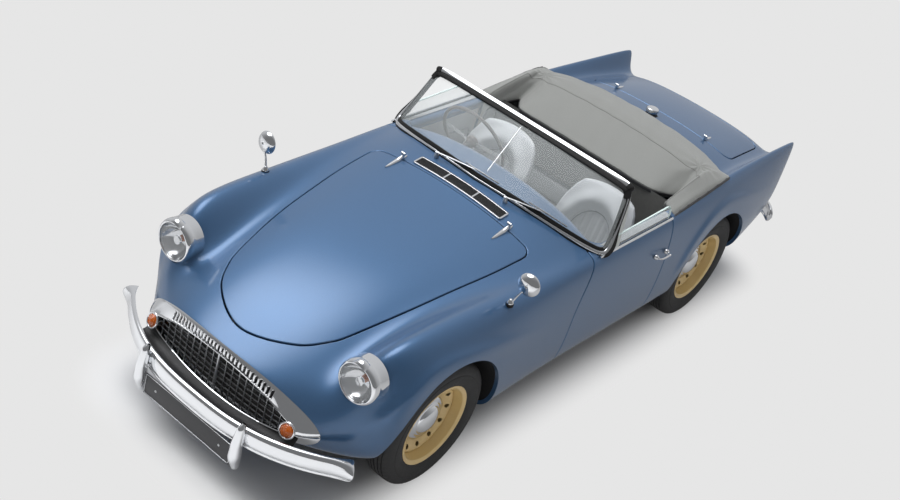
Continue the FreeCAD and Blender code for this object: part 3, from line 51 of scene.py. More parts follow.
# The frame has its nose towards -Y, the car's left side towards +X and the road at z = 0.
# Lengths are in metres. Rows of the body's net run from the grille's throat to the tail, as in
# the CAD source: station, sweep back of its ends, lean with height, then shares of the half
# width and of the crown's height from the top centre round the side to the bottom centre.
HALF_LENGTH = 2.037
HALF_WIDTH = 0.768
CROWN = 0.9
LEAN_PIVOT = 0.722
STATIONS = [
    (-.864, .000, .00,
     (0, .189, .349, .458, .531, .581, .612, .620, .607, .570, .495, .254, 0),
     (.636, .627, .600, .560, .523, .492, .467, .449, .430, .411, .393, .380, .377)),
    (-.913, .093, .00,
     (0, .189, .349, .464, .540, .592, .625, .634, .620, .581, .505, .254, 0),
     (.640, .631, .604, .563, .526, .493, .467, .448, .424, .402, .384, .371, .368)),
    (-.937, .123, .00,
     (0, .195, .365, .482, .562, .615, .647, .656, .641, .599, .521, .260, 0),
     (.649, .640, .612, .570, .531, .498, .467, .444, .417, .391, .372, .358, .354)),
    (-.923, .118, .00,
     (0, .208, .388, .514, .602, .658, .690, .701, .680, .633, .547, .267, 0),
     (.667, .658, .630, .589, .552, .513, .476, .444, .407, .378, .353, .337, .333)),
    (-.884, .098, .00,
     (0, .234, .432, .573, .684, .771, .823, .840, .831, .781, .658, .326, 0),
     (.713, .702, .669, .636, .624, .606, .556, .489, .422, .358, .306, .278, .272)),
    (-.825, .059, .00,
     (0, .247, .449, .562, .651, .749, .859, .931, .957, .931, .833, .521, 0),
     (.780, .767, .724, .691, .756, .872, .783, .644, .511, .389, .283, .244, .239)),
    (-.756, .025, .00,
     (0, .247, .449, .566, .651, .762, .879, .951, .977, .964, .898, .586, 0),
     (.836, .824, .783, .739, .822, .944, .878, .722, .578, .422, .267, .228, .222)),
    (-.677, .005, .00,
     (0, .247, .445, .579, .664, .771, .885, .954, .986, .983, .931, .651, 0),
     (.883, .874, .839, .794, .856, .958, .906, .767, .611, .444, .261, .222, .222)),
    (-.589, .000, .00,
     (0, .247, .445, .589, .680, .781, .891, .957, .990, .990, .944, .664, 0),
     (.922, .916, .887, .847, .883, .958, .911, .778, .617, .444, .256, .233, .233)),
    (-.491, .000, .00,
     (0, .247, .449, .599, .697, .794, .896, .954, .983, .983, .944, .677, 0),
     (.953, .948, .926, .889, .900, .953, .913, .783, .622, .444, .251, .244, .244)),
    (-.383, .000, .00,
     (0, .260, .469, .625, .729, .818, .902, .945, .964, .960, .927, .690, 0),
     (.983, .978, .958, .928, .917, .944, .913, .794, .639, .444, .244, .256, .256)),
    (-.265, .000, .00,
     (0, .286, .508, .664, .768, .840, .904, .934, .949, .947, .914, .703, 0),
     (1.017, 1.009, .987, .958, .936, .939, .913, .806, .656, .450, .240, .264, .267)),
    (-.147, .000, .00,
     (0, .312, .547, .703, .797, .859, .906, .930, .943, .940, .908, .716, 0),
     (1.067, 1.053, 1.020, .978, .950, .942, .917, .817, .667, .461, .238, .267, .271)),
    (-.029, .000, .00,
     (0, .326, .573, .723, .810, .865, .909, .928, .940, .938, .904, .724, 0),
     (1.083, 1.069, 1.033, .989, .958, .944, .918, .820, .669, .464, .236, .267, .271)),
    (.098, .000, .00,
     (0, .326, .573, .723, .810, .865, .909, .928, .940, .938, .904, .727, 0),
     (1.069, 1.056, 1.024, .984, .958, .947, .920, .822, .669, .464, .236, .267, .271)),
    (.226, .000, .00,
     (0, .326, .573, .716, .797, .857, .906, .928, .940, .938, .905, .724, 0),
     (1.047, 1.037, 1.011, .978, .958, .956, .924, .824, .670, .466, .238, .267, .271)),
    (.344, .000, .00,
     (0, .326, .566, .703, .775, .844, .896, .924, .941, .940, .906, .719, 0),
     (1.028, 1.020, .998, .964, .958, .978, .939, .828, .672, .467, .242, .267, .271)),
    (.452, .000, .00,
     (0, .326, .560, .693, .762, .833, .888, .922, .949, .948, .909, .716, 0),
     (1.017, 1.011, .989, .953, .953, .994, .944, .828, .672, .467, .249, .267, .271)),
    (.558, .000, .00,
     (0, .326, .560, .688, .753, .820, .878, .917, .951, .951, .906, .710, 0),
     (1.007, 1.000, .978, .942, .944, 1.006, .944, .822, .667, .467, .260, .267, .271)),
    (.663, .000, .02,
     (0, .326, .553, .680, .742, .807, .862, .908, .943, .939, .891, .697, 0),
     (.994, .987, .964, .924, .931, 1.009, .936, .811, .656, .467, .276, .267, .267)),
    (.761, .000, .08,
     (0, .326, .547, .671, .732, .796, .846, .892, .922, .914, .857, .651, 0),
     (.971, .962, .936, .893, .906, 1.009, .922, .794, .639, .478, .311, .278, .272)),
    (.849, .000, .18,
     (0, .319, .540, .661, .724, .788, .836, .875, .898, .888, .818, .612, 0),
     (.940, .931, .903, .861, .883, 1.007, .911, .778, .628, .489, .356, .317, .306)),
    (.913, .000, .30,
     (0, .319, .534, .655, .723, .784, .823, .854, .876, .862, .781, .586, 0),
     (.909, .902, .880, .840, .872, 1.003, .898, .758, .622, .494, .389, .353, .342)),
    (.952, .000, .38,
     (0, .312, .521, .645, .724, .781, .812, .837, .853, .836, .755, .560, 0),
     (.869, .864, .850, .824, .861, .998, .883, .742, .618, .502, .417, .383, .372)),
    (.960, .000, .40,
     (0, .307, .510, .633, .729, .780, .802, .818, .826, .807, .732, .540, 0),
     (.824, .821, .811, .791, .853, .987, .872, .733, .614, .511, .437, .406, .397)),
    (.961, .000, .40,
     (0, .293, .488, .609, .714, .768, .781, .789, .792, .771, .697, .514, 0),
     (.778, .774, .764, .747, .822, .953, .850, .722, .611, .524, .456, .428, .420)),
]
# Each axle: its place along the car and half its track.
AXLES = ((-1.2, 0.635), (1.137, 0.6095))
AXLE_HEIGHT = 0.32
ARCH_RADIUS = 0.368
ARCH_DEPTH = 0.386
GAP = 0.003
# The bonnet's side edge: shares of the half length and of the half width.
BONNET_EDGE = ((-.882, 0), (-.866, .161), (-.827, .318), (-.780, .406), (-.731, .456),
               (-.601, .533), (-.464, .589), (-.366, .625), (-.275, .645))


def spline(points, count):
    """Smooth line of count points through the given ones: each stretch is the cubic of a
    Catmull-Rom curve."""
    p = np.asarray(points, float)
    p = np.vstack([2 * p[0] - p[1], p, 2 * p[-1] - p[-2]])
    t = np.linspace(0, len(p) - 3 - 1e-9, count)
    i = t.astype(int)
    t = (t - i)[:, None]
    a, b, c, d = (p[i + k] for k in range(4))
    return 0.5 * (2 * b + (c - a) * t + (2 * a - 5 * b + 4 * c - d) * t ** 2
                  + (3 * b - a - 3 * c + d) * t ** 3)


def basis(count, t):
    """Weights of the poles of a clamped cubic at each value of t, by the Cox-de Boor rule."""
    knots = np.concatenate([np.zeros(3), np.arange(count - 2.0), np.full(3, count - 3.0)])
    t = np.clip(np.asarray(t, float), 0, count - 3 - 1e-9)[:, None]
    w = ((knots[:-1] <= t) & (t < knots[1:])).astype(float)
    for d in (1, 2, 3):
        span = knots[d:] - knots[:-d]
        ratio = (t - knots[:-d]) / np.where(span > 0, span, 1)
        w = ratio[:, :-1] * w[:, :-1] + (1 - ratio[:, 1:]) * w[:, 1:]
    return w


def unit(v):
    """Vectors of length one along the last axis."""
    return v / np.maximum(np.linalg.norm(v, axis=-1, keepdims=True), 1e-12)


def tidy_polys(polys):
    """Face arrays that hold anything, each as rows of corner numbers."""
    return [np.asarray(p, int).reshape(len(p), -1) for p in polys if len(p)]


def mesh_piece(name, parts, materials, body="body", stands_for=(), normals=None, sharp=38):
    """One object from parts (points, faces, material number). Faces is one array or several."""
    points, polys, slots, start = [], [], [], 0
    for part in parts:
        co, faces = part[0].reshape(-1, 3), part[1]
        number = part[2] if len(part) > 2 else 0
        for block in tidy_polys(faces if isinstance(faces, list) else [faces]):
            polys.append(block + start)
            slots.append(np.full(len(block), number))
        points.append(co)
        start += len(co)
    points = np.vstack(points)
    sides = np.concatenate([np.full(len(b), b.shape[1]) for b in polys])
    loops = np.concatenate([b.ravel() for b in polys])
    mesh = bpy.data.meshes.new(name)
    mesh.vertices.add(len(points))
    mesh.vertices.foreach_set("co", points.astype(np.float32).ravel())
    mesh.loops.add(len(loops))
    mesh.loops.foreach_set("vertex_index", loops.astype(np.int32))
    mesh.polygons.add(len(sides))
    mesh.polygons.foreach_set("loop_start", (np.cumsum(sides) - sides).astype(np.int32))
    mesh.polygons.foreach_set("material_index", np.concatenate(slots).astype(np.int32))
    mesh.polygons.foreach_set("use_smooth", np.ones(len(sides), bool))
    mesh.update(calc_edges=True)
    mesh.validate(verbose=False)
    for material in materials:
        mesh.materials.append(material)
    if normals is not None:
        mesh.normals_split_custom_set_from_vertices(unit(normals).astype(np.float32))
    elif sharp:
        mesh.set_sharp_from_angle(angle=math.radians(sharp))
    piece = bpy.data.objects.new(name, mesh)
    bpy.context.scene.collection.objects.link(piece)
    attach(piece, body)
    if stands_for:
        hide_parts(*stands_for)
    return piece


def grid_faces(rows, cols, close_rows=False, close_cols=False):
    """Quads over a grid of points, joined round where a direction is closed."""
    i, j = np.meshgrid(np.arange(rows if close_rows else rows - 1),
                       np.arange(cols if close_cols else cols - 1), indexing="ij")
    i, j = i.ravel(), j.ravel()
    k, m = (i + 1) % rows, (j + 1) % cols
    return np.stack([i * cols + j, k * cols + j, k * cols + m, i * cols + m], 1)


def grid(points, close_rows=False, close_cols=False, number=0, flip=False):
    rows, cols = points.shape[:2]
    faces = grid_faces(rows, cols, close_rows, close_cols)
    return points.reshape(-1, 3), faces[:, ::-1] if flip else faces, number


def capped(points, number=0, ends=(True, True)):
    """Closed side round rows of points, with a flat face over each end row."""
    rows, cols = points.shape[:2]
    faces = [grid_faces(rows, cols, False, True)]
    if ends[0]:
        faces.append(np.arange(cols)[None, :])
    if ends[1]:
        faces.append((np.arange(cols)[::-1] + (rows - 1) * cols)[None, :])
    return points.reshape(-1, 3), faces, number


def frames(path, up):
    """Two directions square to a path at each of its points: the first lies near up."""
    along = unit(np.gradient(path, axis=0))
    up = np.broadcast_to(np.asarray(up, float), path.shape)
    side = unit(np.cross(along, up))
    return np.cross(side, along), side


def sweep(path, profile, up=(0, 0, 1), scale=1.0, number=0, ends=True, closed=False):
    """Solid bar: a closed outline of (side, up) points carried along a path."""
    path = np.asarray(path, float)
    if closed:
        wide = np.vstack([path[-2:], path, path[:2]])
        up = np.broadcast_to(np.asarray(up, float), path.shape)
        up = np.vstack([up[-2:], up, up[:2]])
        over, side = (v[2:-2] for v in frames(wide, up))
    else:
        over, side = frames(path, up)
    scale = np.broadcast_to(np.asarray(scale, float).reshape(-1, 1, 1), (len(path), 1, 1))
    p = np.asarray(profile, float)
    rows = path[:, None] + scale * (p[None, :, :1] * side[:, None] + p[None, :, 1:] * over[:, None])
    if closed:
        return grid(rows, True, True, number)
    return capped(rows, number, (ends, ends))


def facing_rear(path):
    """Sideways direction along a path, turned to the rear at each of its points."""
    side = frames(path, (0, 0, 1))[1]
    return side * np.sign(side[:, 1:2])


def at_depth(loop, y):
    """Outline of (x, z) points stood up across the car at one place along it."""
    return np.column_stack([loop[:, 0], np.full(len(loop), y), loop[:, 1]])


def at_side(loop, x):
    """Outline of (y, z) points stood up along the car at one place across it."""
    return np.column_stack([np.full(len(loop), x), loop])


def evened(values, reach):
    """Running mean over a number of neighbours at each side."""
    return np.convolve(np.pad(values, reach, "edge"), np.ones(2 * reach + 1) / (2 * reach + 1), "valid")


def circle(radius, sides=20, squash=1.0):
    t = np.linspace(0, 2 * np.pi, sides, endpoint=False)
    return np.stack([np.cos(t) * radius, np.sin(t) * radius * squash], 1)


def tube(path, radius, sides=20, up=(0, 0, 1), number=0, scale=1.0, closed=False):
    return sweep(path, circle(radius, sides), up, scale, number, closed=closed)


def rounded(points, radius, count=5):
    """Outline of straight sides with each corner cut by a smooth quadratic curve."""
    p = np.asarray(points, float)
    back, ahead = np.roll(p, 1, 0) - p, np.roll(p, -1, 0) - p
    radius = np.broadcast_to(np.asarray(radius, float), len(p))[:, None]
    cut = [np.minimum(radius, np.linalg.norm(v, axis=1, keepdims=True) * 0.49) for v in (back, ahead)]
    a, c = p + unit(back) * cut[0], p + unit(ahead) * cut[1]
    t = np.linspace(0, 1, count)[None, :, None]
    curve = (1 - t) ** 2 * a[:, None] + 2 * t * (1 - t) * p[:, None] + t ** 2 * c[:, None]
    return curve.reshape(-1, p.shape[1])


def lathe(profile, centre, axis, number=0, count=96, closed=False):
    """Surface of (distance along, radius) points turned about an axis through a centre."""
    axis = unit(np.asarray(axis, float))
    helper = np.array([0.0, 0, 1]) if abs(axis[2]) < 0.9 else np.array([0.0, 1, 0])
    a = unit(np.cross(helper, axis))
    b = np.cross(axis, a)
    t = np.linspace(0, 2 * np.pi, count, endpoint=False)[None, :, None]
    p = np.asarray(profile, float)
    ring = np.cos(t) * a + np.sin(t) * b
    rows = np.asarray(centre, float) + p[:, :1, None] * axis + p[:, 1:, None] * ring
    return grid(rows, closed, True, number)


def other_side(part):
    """A part mirrored to the other side of the car, with its faces turned to match."""
    faces = part[1] if isinstance(part[1], list) else [part[1]]
    points = part[0].reshape(-1, 3) * (-1, 1, 1)
    return (points, [np.asarray(f)[:, ::-1] for f in faces]) + tuple(part[2:])


def on_side(parts, side):
    """Parts made for the left side (1), or the same on the right side (-1)."""
    return parts if side > 0 else [other_side(p) for p in parts]


def both(parts):
    return list(parts) + on_side(parts, -1)


def block(low, high, radius=0.002, number=0, count=3):
    """Box with rounded edges: a superellipse section whose ends draw in round their rims."""
    low, high = np.asarray(low, float), np.asarray(high, float)
    size = (high - low) / 2
    radius = min(radius, size.min() * 0.98)
    x, y, z = size
    turn = np.linspace(0, np.pi / 2, count + 1)
    rows = []
    levels = np.concatenate([-z + radius - radius * np.cos(turn), z - radius + radius * np.sin(turn)])
    insets = np.concatenate([radius - radius * np.sin(turn), radius - radius * np.cos(turn)])
    for level, inset in zip(levels, insets):
        corner = [(-x + inset, -y + inset), (x - inset, -y + inset), (x - inset, y - inset),
                  (-x + inset, y - inset)]
        loop = rounded(corner, max(radius - inset * 0.9, 1e-4), count + 1)
        rows.append(np.column_stack([loop, np.full(len(loop), level)]))
    return capped(np.array(rows) + (low + high) / 2, number)


def net_poles():
    """The body's poles: closed rows from the bottom centre up the left side and down the right."""
    rows = []
    for place, sweep_back, lean, across, up in STATIONS:
        x, z = np.array(across) * HALF_WIDTH, np.array(up) * CROWN
        y = (place + sweep_back * np.array(across) ** 2) * HALF_LENGTH
        y = y + lean * (z - LEAN_PIVOT * CROWN)
        half = np.stack([x, y, z], 1)
        rows.append(np.vstack([half[::-1], half[1:] * (-1, 1, 1)]))
    return np.array(rows)


def smooth_step(low, high, v):
    t = np.clip((v - low) / (high - low), 0, 1)
    return t * t * (3 - 2 * t)


# Crests of the ridges over the arches, as (y, z) points from front to rear.
FRONT_FLARE = ((-1.675, .413), (-1.644, .475), (-1.597, .555), (-1.525, .640), (-1.404, .712),
               (-1.296, .728), (-1.176, .722), (-.933, .688), (-.658, .632), (-.428, .572))
REAR_FLARE = ((.735, .40), (.752, .52), (.815, .635), (.939, .725), (1.10, .765), (1.26, .757),
              (1.49, .707), (1.78, .632))


def line_offset(points, line):
    """How far points lie from a run of straight pieces, with the side as its sign, and how far
    along the run the nearest place is, from 0 to 1."""
    a, b = line[:-1], line[1:]
    run = b - a
    size = (run ** 2).sum(1)
    q = points[:, None] - a
    t = np.clip((q * run).sum(2) / size, 0, 1)
    away = q - t[..., None] * run
    far = np.linalg.norm(away, axis=2)
    best = far.argmin(1)
    row = np.arange(len(points))
    sign = np.sign(run[best, 0] * q[row, best, 1] - run[best, 1] * q[row, best, 0])
    length = np.concatenate([[0], np.cumsum(np.sqrt(size))])
    place = (length[best] + t[row, best] * np.sqrt(size)[best]) / length[-1]
    return far[row, best] * np.where(sign == 0, 1, sign), place


def flare_height(p):
    """Height of the pressed ridge over each arch: a steep upper flank, a slow lower one, and a
    spear that fades along the side behind the arch."""
    total = np.zeros(len(p))
    side = (np.abs(p[:, 0]) > 0.5) & (p[:, 2] > 0.3) & (p[:, 2] < 0.9)
    for points, rise, fade in ((FRONT_FLARE, 0.016, (0.45, 0.98)), (REAR_FLARE, 0.011, (0.55, 0.98))):
        line = spline(points, 90)
        near = side & (p[:, 1] > line[0, 0] - 0.15) & (p[:, 1] < line[-1, 0] + 0.15)
        if not near.any():
            continue
        off, place = line_offset(p[near][:, 1:], line)
        size = rise * smooth_step(0, 0.12, place) * (1 - smooth_step(*fade, place))
        upper = np.exp(-(off / 0.030) ** 2)
        lower = np.exp(-(off / 0.060) ** 2)
        total[near] += size * np.where(off > 0, upper, lower)
    return total * smooth_step(0.50, 0.58, np.abs(p[:, 0]))


def outline_distance(points, loop):
    """Distance in a plane to a closed run of straight pieces, below 0 inside it."""
    out = np.full(len(points), 1.0)
    near = ((points > loop.min(0) - 0.06) & (points < loop.max(0) + 0.06)).all(1)
    if not near.any():
        return out
    q = points[near][:, None]
    a, b = loop, np.roll(loop, -1, 0)
    run = b - a
    t = np.clip(((q - a) * run).sum(2) / np.maximum((run ** 2).sum(1), 1e-12), 0, 1)
    gap = np.linalg.norm(q - a - t[..., None] * run, axis=2).min(1)
    over = (a[:, 1] > q[..., 1]) != (b[:, 1] > q[..., 1])
    rise = np.where(np.abs(run[:, 1]) < 1e-12, 1e-12, run[:, 1])
    left = q[..., 0] < a[:, 0] + (q[..., 1] - a[:, 1]) * run[:, 0] / rise
    inside = (over & left).sum(1) % 2 == 1
    out[near] = np.where(inside, -gap, gap)
    return out


def round_corners(points, radii, count=9):
    """Outline of straight sides with a true arc at each corner."""
    p = np.asarray(points, float)
    back, ahead = unit(np.roll(p, 1, 0) - p), unit(np.roll(p, -1, 0) - p)
    half = np.arccos(np.clip((back * ahead).sum(1), -1, 1)) / 2
    radii = np.broadcast_to(np.asarray(radii, float), len(p))
    middle = p + unit(back + ahead) * (radii / np.sin(half))[:, None]
    first = p + back * (radii / np.tan(half))[:, None] - middle
    last = p + ahead * (radii / np.tan(half))[:, None] - middle
    t = np.linspace(0, 1, count)[None, :, None]
    arc = unit(first[:, None] * (1 - t) + last[:, None] * t) * radii[:, None, None]
    return (middle[:, None] + arc).reshape(-1, 2)


def bonnet_outline():
    edge = [(x * HALF_WIDTH, y * HALF_LENGTH) for y, x in BONNET_EDGE]
    half = spline([(-x, y) for x, y in edge[:0:-1]] + edge, 241)[120:]
    side_x, rear_y, corner = half[-1, 0], -0.478, 0.052
    turn = np.linspace(0, np.pi / 2, 9)
    bend = np.stack([side_x - corner + corner * np.cos(turn),
                     rear_y - corner + corner * np.sin(turn)], 1)
    half = np.vstack([half, bend])
    return np.vstack([half, half[:0:-1] * (-1, 1)])


def boot_outline():
    return round_corners([(-.492, 1.432), (.492, 1.432), (.452, 1.905), (-.452, 1.905)], 0.06)


def cockpit_outline():
    return round_corners([(-.628, -.17), (.628, -.17), (.628, 1.19), (-.628, 1.19)], 0.15)


def door_outline():
    return round_corners([(-.295, .25), (-.295, .628), (-.152, .93), (.52, .93), (.52, .25)],
                         (.028, .42, .01, .01, .028))


BONNET, BOOT, COCKPIT, DOOR = (f() for f in (bonnet_outline, boot_outline, cockpit_outline,
                                             door_outline))
LAMP = np.array((0.56, -1.65, 0.688))
LAMP_RADIUS = 0.1
FLOOR_HALF_WIDTH = 0.612
FLOOR_TOP = 0.29
FLOOR_ENDS = (-1.56, 1.70)


def on_top(p, loop, low=0.5):
    out = np.full(len(p), 1.0)
    top = p[:, 2] > low
    out[top] = outline_distance(p[top][:, :2], loop)
    return out


def door_distance(p, sign):
    out = np.full(len(p), 1.0)
    side = p[:, 0] * sign > 0.56
    out[side] = outline_distance(p[side][:, 1:], DOOR)
    return out


def arch_distance(p, index):
    away = np.hypot(p[:, 1] - AXLES[index][0], p[:, 2] - AXLE_HEIGHT) - ARCH_RADIUS
    return np.where(np.abs(p[:, 0]) > ARCH_DEPTH, away, 1.0)


def lamp_distance(p):
    away = np.hypot(np.abs(p[:, 0]) - LAMP[0], p[:, 2] - LAMP[2]) - LAMP_RADIUS
    return np.where((p[:, 1] < -1.6) & (p[:, 2] > 0.5), away, 1.0)


def floor_distance(p):
    inside = np.minimum(FLOOR_HALF_WIDTH - np.abs(p[:, 0]), FLOOR_TOP - p[:, 2])
    return -np.minimum(inside, np.minimum(p[:, 1] - FLOOR_ENDS[0], FLOOR_ENDS[1] - p[:, 1]))


# Distance fields over the body, each below 0 inside its outline.
FIELDS = {
    "bonnet": lambda p: on_top(p, BONNET),
    "boot": lambda p: on_top(p, BOOT),
    "cockpit": lambda p: on_top(p, COCKPIT),
    "door_left": lambda p: door_distance(p, 1),
    "door_right": lambda p: door_distance(p, -1),
    "front_arch": lambda p: arch_distance(p, 0),
    "rear_arch": lambda p: arch_distance(p, 1),
    "lamp": lamp_distance,
    "floor": floor_distance,
}
PANELS = ("bonnet", "boot", "door_left", "door_right")
# Depth of the rolled edge at each shut line.
LIP = 0.0035


class Skin:
    """Fine triangles over the body's net, cut along the panels' outlines. A vertex is a pair of
    net parameters, so that each cut's new vertices lie exactly on the surface."""

    def __init__(self, per_span):
        self.net = net_poles()
        u = np.linspace(0, self.net.shape[0] - 3, (self.net.shape[0] - 3) * per_span + 1)
        v = np.linspace(0, self.net.shape[1] - 3, (self.net.shape[1] - 3) * per_span + 1)
        a, b = np.meshgrid(u, v, indexing="ij")
        self.uv = np.stack([a.ravel(), b.ravel()], 1)
        quads = grid_faces(len(u), len(v))
        self.tri = np.vstack([quads[:, [0, 1, 2]], quads[:, [0, 2, 3]]])
        p = self.place(self.uv)
        self.values = {name: field(p) for name, field in FIELDS.items()}

    def place(self, uv):
        """Points of the net's surface: the two sets of weights summed over its poles."""
        rows, cols = self.net.shape[:2]
        along = (basis(rows, uv[:, 0]) @ self.net.reshape(rows, -1)).reshape(-1, cols, 3)
        return np.einsum("kj,kjc->kc", basis(cols, uv[:, 1]), along)

    def slopes(self, place, uv):
        step = 1e-3
        low_u, high_u = (np.clip(uv[:, 0] + s, 0, self.net.shape[0] - 3.0) for s in (-step, step))
        low_v, high_v = (np.clip(uv[:, 1] + s, 0, self.net.shape[1] - 3.0) for s in (-step, step))
        along = place(np.stack([high_u, uv[:, 1]], 1)) - place(np.stack([low_u, uv[:, 1]], 1))
        across = place(np.stack([uv[:, 0], high_v], 1)) - place(np.stack([uv[:, 0], low_v], 1))
        return unit(np.cross(along, across))

    def raised(self, uv):
        """The surface with its pressed ridges: moved out along its own normal."""
        p = self.place(uv)
        return p + self.slopes(self.place, uv) * flare_height(p)[:, None]

    def cut(self, name, level):
        """Splits the triangles that a field's level line crosses. The crossing on each edge is
        found by false position on the true surface."""
        f = self.values[name] - level
        side = (f > 0)[self.tri]
        mixed = side.any(1) & ~side.all(1)
        part, sides = self.tri[mixed], side[mixed]
        if not len(part):
            return
        lone = np.where(sides.sum(1)[:, None] == 1, sides, ~sides).argmax(1)
        part = np.take_along_axis(part, (lone[:, None] + np.arange(3)) % 3, 1)
        a, b, c = part.T
        ends = np.sort(np.vstack([np.stack([a, b], 1), np.stack([a, c], 1)]), axis=1)
        keys, place = np.unique(ends, axis=0, return_inverse=True)
        place = place.reshape(-1)
        low, high = self.uv[keys[:, 0]], self.uv[keys[:, 1]]
        f_low, f_high = f[keys[:, 0]], f[keys[:, 1]]
        for _ in range(4):
            t = np.clip(f_low / (f_low - f_high), 0.02, 0.98)[:, None]
            middle = low * (1 - t) + high * t
            value = FIELDS[name](self.place(middle)) - level
            same = (value > 0) == (f_low > 0)
            low, f_low = np.where(same[:, None], middle, low), np.where(same, value, f_low)
            high, f_high = np.where(same[:, None], high, middle), np.where(same, f_high, value)
        start = len(self.uv)
        self.uv = np.vstack([self.uv, middle])
        p = self.place(middle)
        for key, field in FIELDS.items():
            fresh = np.full(len(p), level) if key == name else field(p)
            self.values[key] = np.concatenate([self.values[key], fresh])
        ab, ac = start + place[:len(a)], start + place[len(a):]
        pieces = [np.stack(t, 1) for t in ((a, ab, ac), (ab, b, c), (ab, c, ac))]
        self.tri = np.vstack([self.tri[~mixed]] + pieces)

    def inside(self, name, level):
        return self.values[name][self.tri].mean(1) < level

    def finish(self):
        """Places and normals of all vertices, with each panel's edge rolled down at its gap."""
        self.points = self.raised(self.uv)
        self.normals = self.slopes(self.raised, self.uv)
        drop = np.zeros(len(self.uv))
        for name in PANELS:
            away = np.abs(self.values[name]) - GAP
            t = np.clip(1 - away / LIP, 0, 1)
            drop = np.maximum(drop, LIP * (1 - np.sqrt(np.maximum(1 - t * t, 0))))
        self.drop = drop
        self.base_normals = self.normals.copy()
        self.points = self.points - self.normals * drop[:, None]
        rolled = drop > 1e-7
        touched = self.tri[rolled[self.tri].any(1)]
        corner = self.points[touched]
        face = np.cross(corner[:, 1] - corner[:, 0], corner[:, 2] - corner[:, 0])
        total = np.zeros_like(self.points)
        for k in range(3):
            for c in range(3):
                total[:, c] += np.bincount(touched[:, k], face[:, c], len(total))
        self.normals[rolled] = unit(total[rolled])

    def panel(self, mask, flange=0.016, keep_open=None):
        """Points, triangles and normals of a chosen part of the skin, with a return flange round
        every edge of it but those that keep_open picks."""
        tri = self.tri[mask]
        used, tri = np.unique(tri, return_inverse=True)
        tri = tri.reshape(-1, 3)
        points, normals = self.points[used], self.normals[used]
        base = self.base_normals[used]
        ends = np.vstack([tri[:, [0, 1]], tri[:, [1, 2]], tri[:, [2, 0]]])
        keys = np.sort(ends, axis=1) @ np.array([len(points), 1])
        _, first, count = np.unique(keys, return_index=True, return_counts=True)
        rim = ends[first[count == 1]]
        if keep_open is not None:
            rim = rim[~keep_open(points[rim].mean(1))]
        out = np.zeros_like(points)
        way = unit(np.cross(points[rim[:, 1]] - points[rim[:, 0]], base[rim[:, 0]]))
        for k in range(2):
            for c in range(3):
                out[:, c] += np.bincount(rim[:, k], way[:, c], len(out))
        edge, where = np.unique(rim, return_inverse=True)
        where = where.reshape(-1, 2)
        top, n = points[edge], len(edge)
        ways = unit(out[edge])
        bottom = top - base[edge] * flange
        strip = np.stack([where[:, 1], where[:, 0], where[:, 0] + n, where[:, 1] + n], 1)
        co = np.vstack([points, top, bottom])
        no = np.vstack([normals, ways, ways])
        return co, [tri, strip + len(points)], no


def group(name, inputs, outputs):
    """A node group with named sockets: returns the group, its input node and its output node."""
    tree = bpy.data.node_groups.new(name, "ShaderNodeTree")
    for label, kind, value in inputs:
        socket = tree.interface.new_socket(label, in_out="INPUT", socket_type="NodeSocket" + kind)
        if value is not None:
            socket.default_value = value
    for label, kind in outputs:
        tree.interface.new_socket(label, in_out="OUTPUT", socket_type="NodeSocket" + kind)
    return tree, tree.nodes.new("NodeGroupInput"), tree.nodes.new("NodeGroupOutput")


def node(tree, kind, links=None, **values):
    """A shader node with its settings, its input values and its links from other sockets."""
    made = tree.nodes.new("ShaderNode" + kind)
    for key, value in values.items():
        if key in made.inputs:
            made.inputs[key].default_value = value
        else:
            setattr(made, key, value)
    for key, socket in (links or {}).items():
        tree.links.new(socket, made.inputs[key])
    return made


def maths(tree, operation, a, b=None, clamp=False):
    made = node(tree, "Math", operation=operation, use_clamp=clamp)
    for index, value in enumerate((a, b)):
        if value is None:
            continue
        if isinstance(value, (int, float)):
            made.inputs[index].default_value = value
        else:
            tree.links.new(value, made.inputs[index])
    return made.outputs[0]


def mix_colour(tree, factor, a, b):
    """Blend of two colours, each a socket or a value, by a factor."""
    made = node(tree, "Mix", data_type="RGBA")
    for index, value in ((0, factor), (6, a), (7, b)):
        if hasattr(value, "is_linked"):
            tree.links.new(value, made.inputs[index])
        else:
            made.inputs[index].default_value = value
    return made.outputs[2]


def grain_group():
    """Fine noise over the object: a colour share and a height, for grain and soft mottling."""
    tree, given, out = group("Grain", (("Scale", "Float", 200.0), ("Detail", "Float", 4.0)),
                             (("Share", "Float"), ("Height", "Float")))
    place = node(tree, "TexCoord").outputs["Object"]
    noise = node(tree, "TexNoise", {"Vector": place, "Scale": given.outputs["Scale"],
                                    "Detail": given.outputs["Detail"]})
    fine = maths(tree, "MULTIPLY", given.outputs["Scale"], 2.7)
    cells = node(tree, "TexVoronoi", {"Vector": place, "Scale": fine})
    tree.links.new(noise.outputs["Fac"], out.inputs["Share"])
    tree.links.new(cells.outputs["Distance"], out.inputs["Height"])
    return tree


def flake_group():
    """Metal flakes in paint: each small cell has its own brightness."""
    tree, given, out = group("Flakes", (("Scale", "Float", 2600.0),), (("Share", "Float"),))
    place = node(tree, "TexCoord").outputs["Object"]
    cells = node(tree, "TexVoronoi", {"Vector": place, "Scale": given.outputs["Scale"]})
    tone = node(tree, "SeparateColor", {"Color": cells.outputs["Color"]})
    tree.links.new(tone.outputs[0], out.inputs["Share"])
    return tree


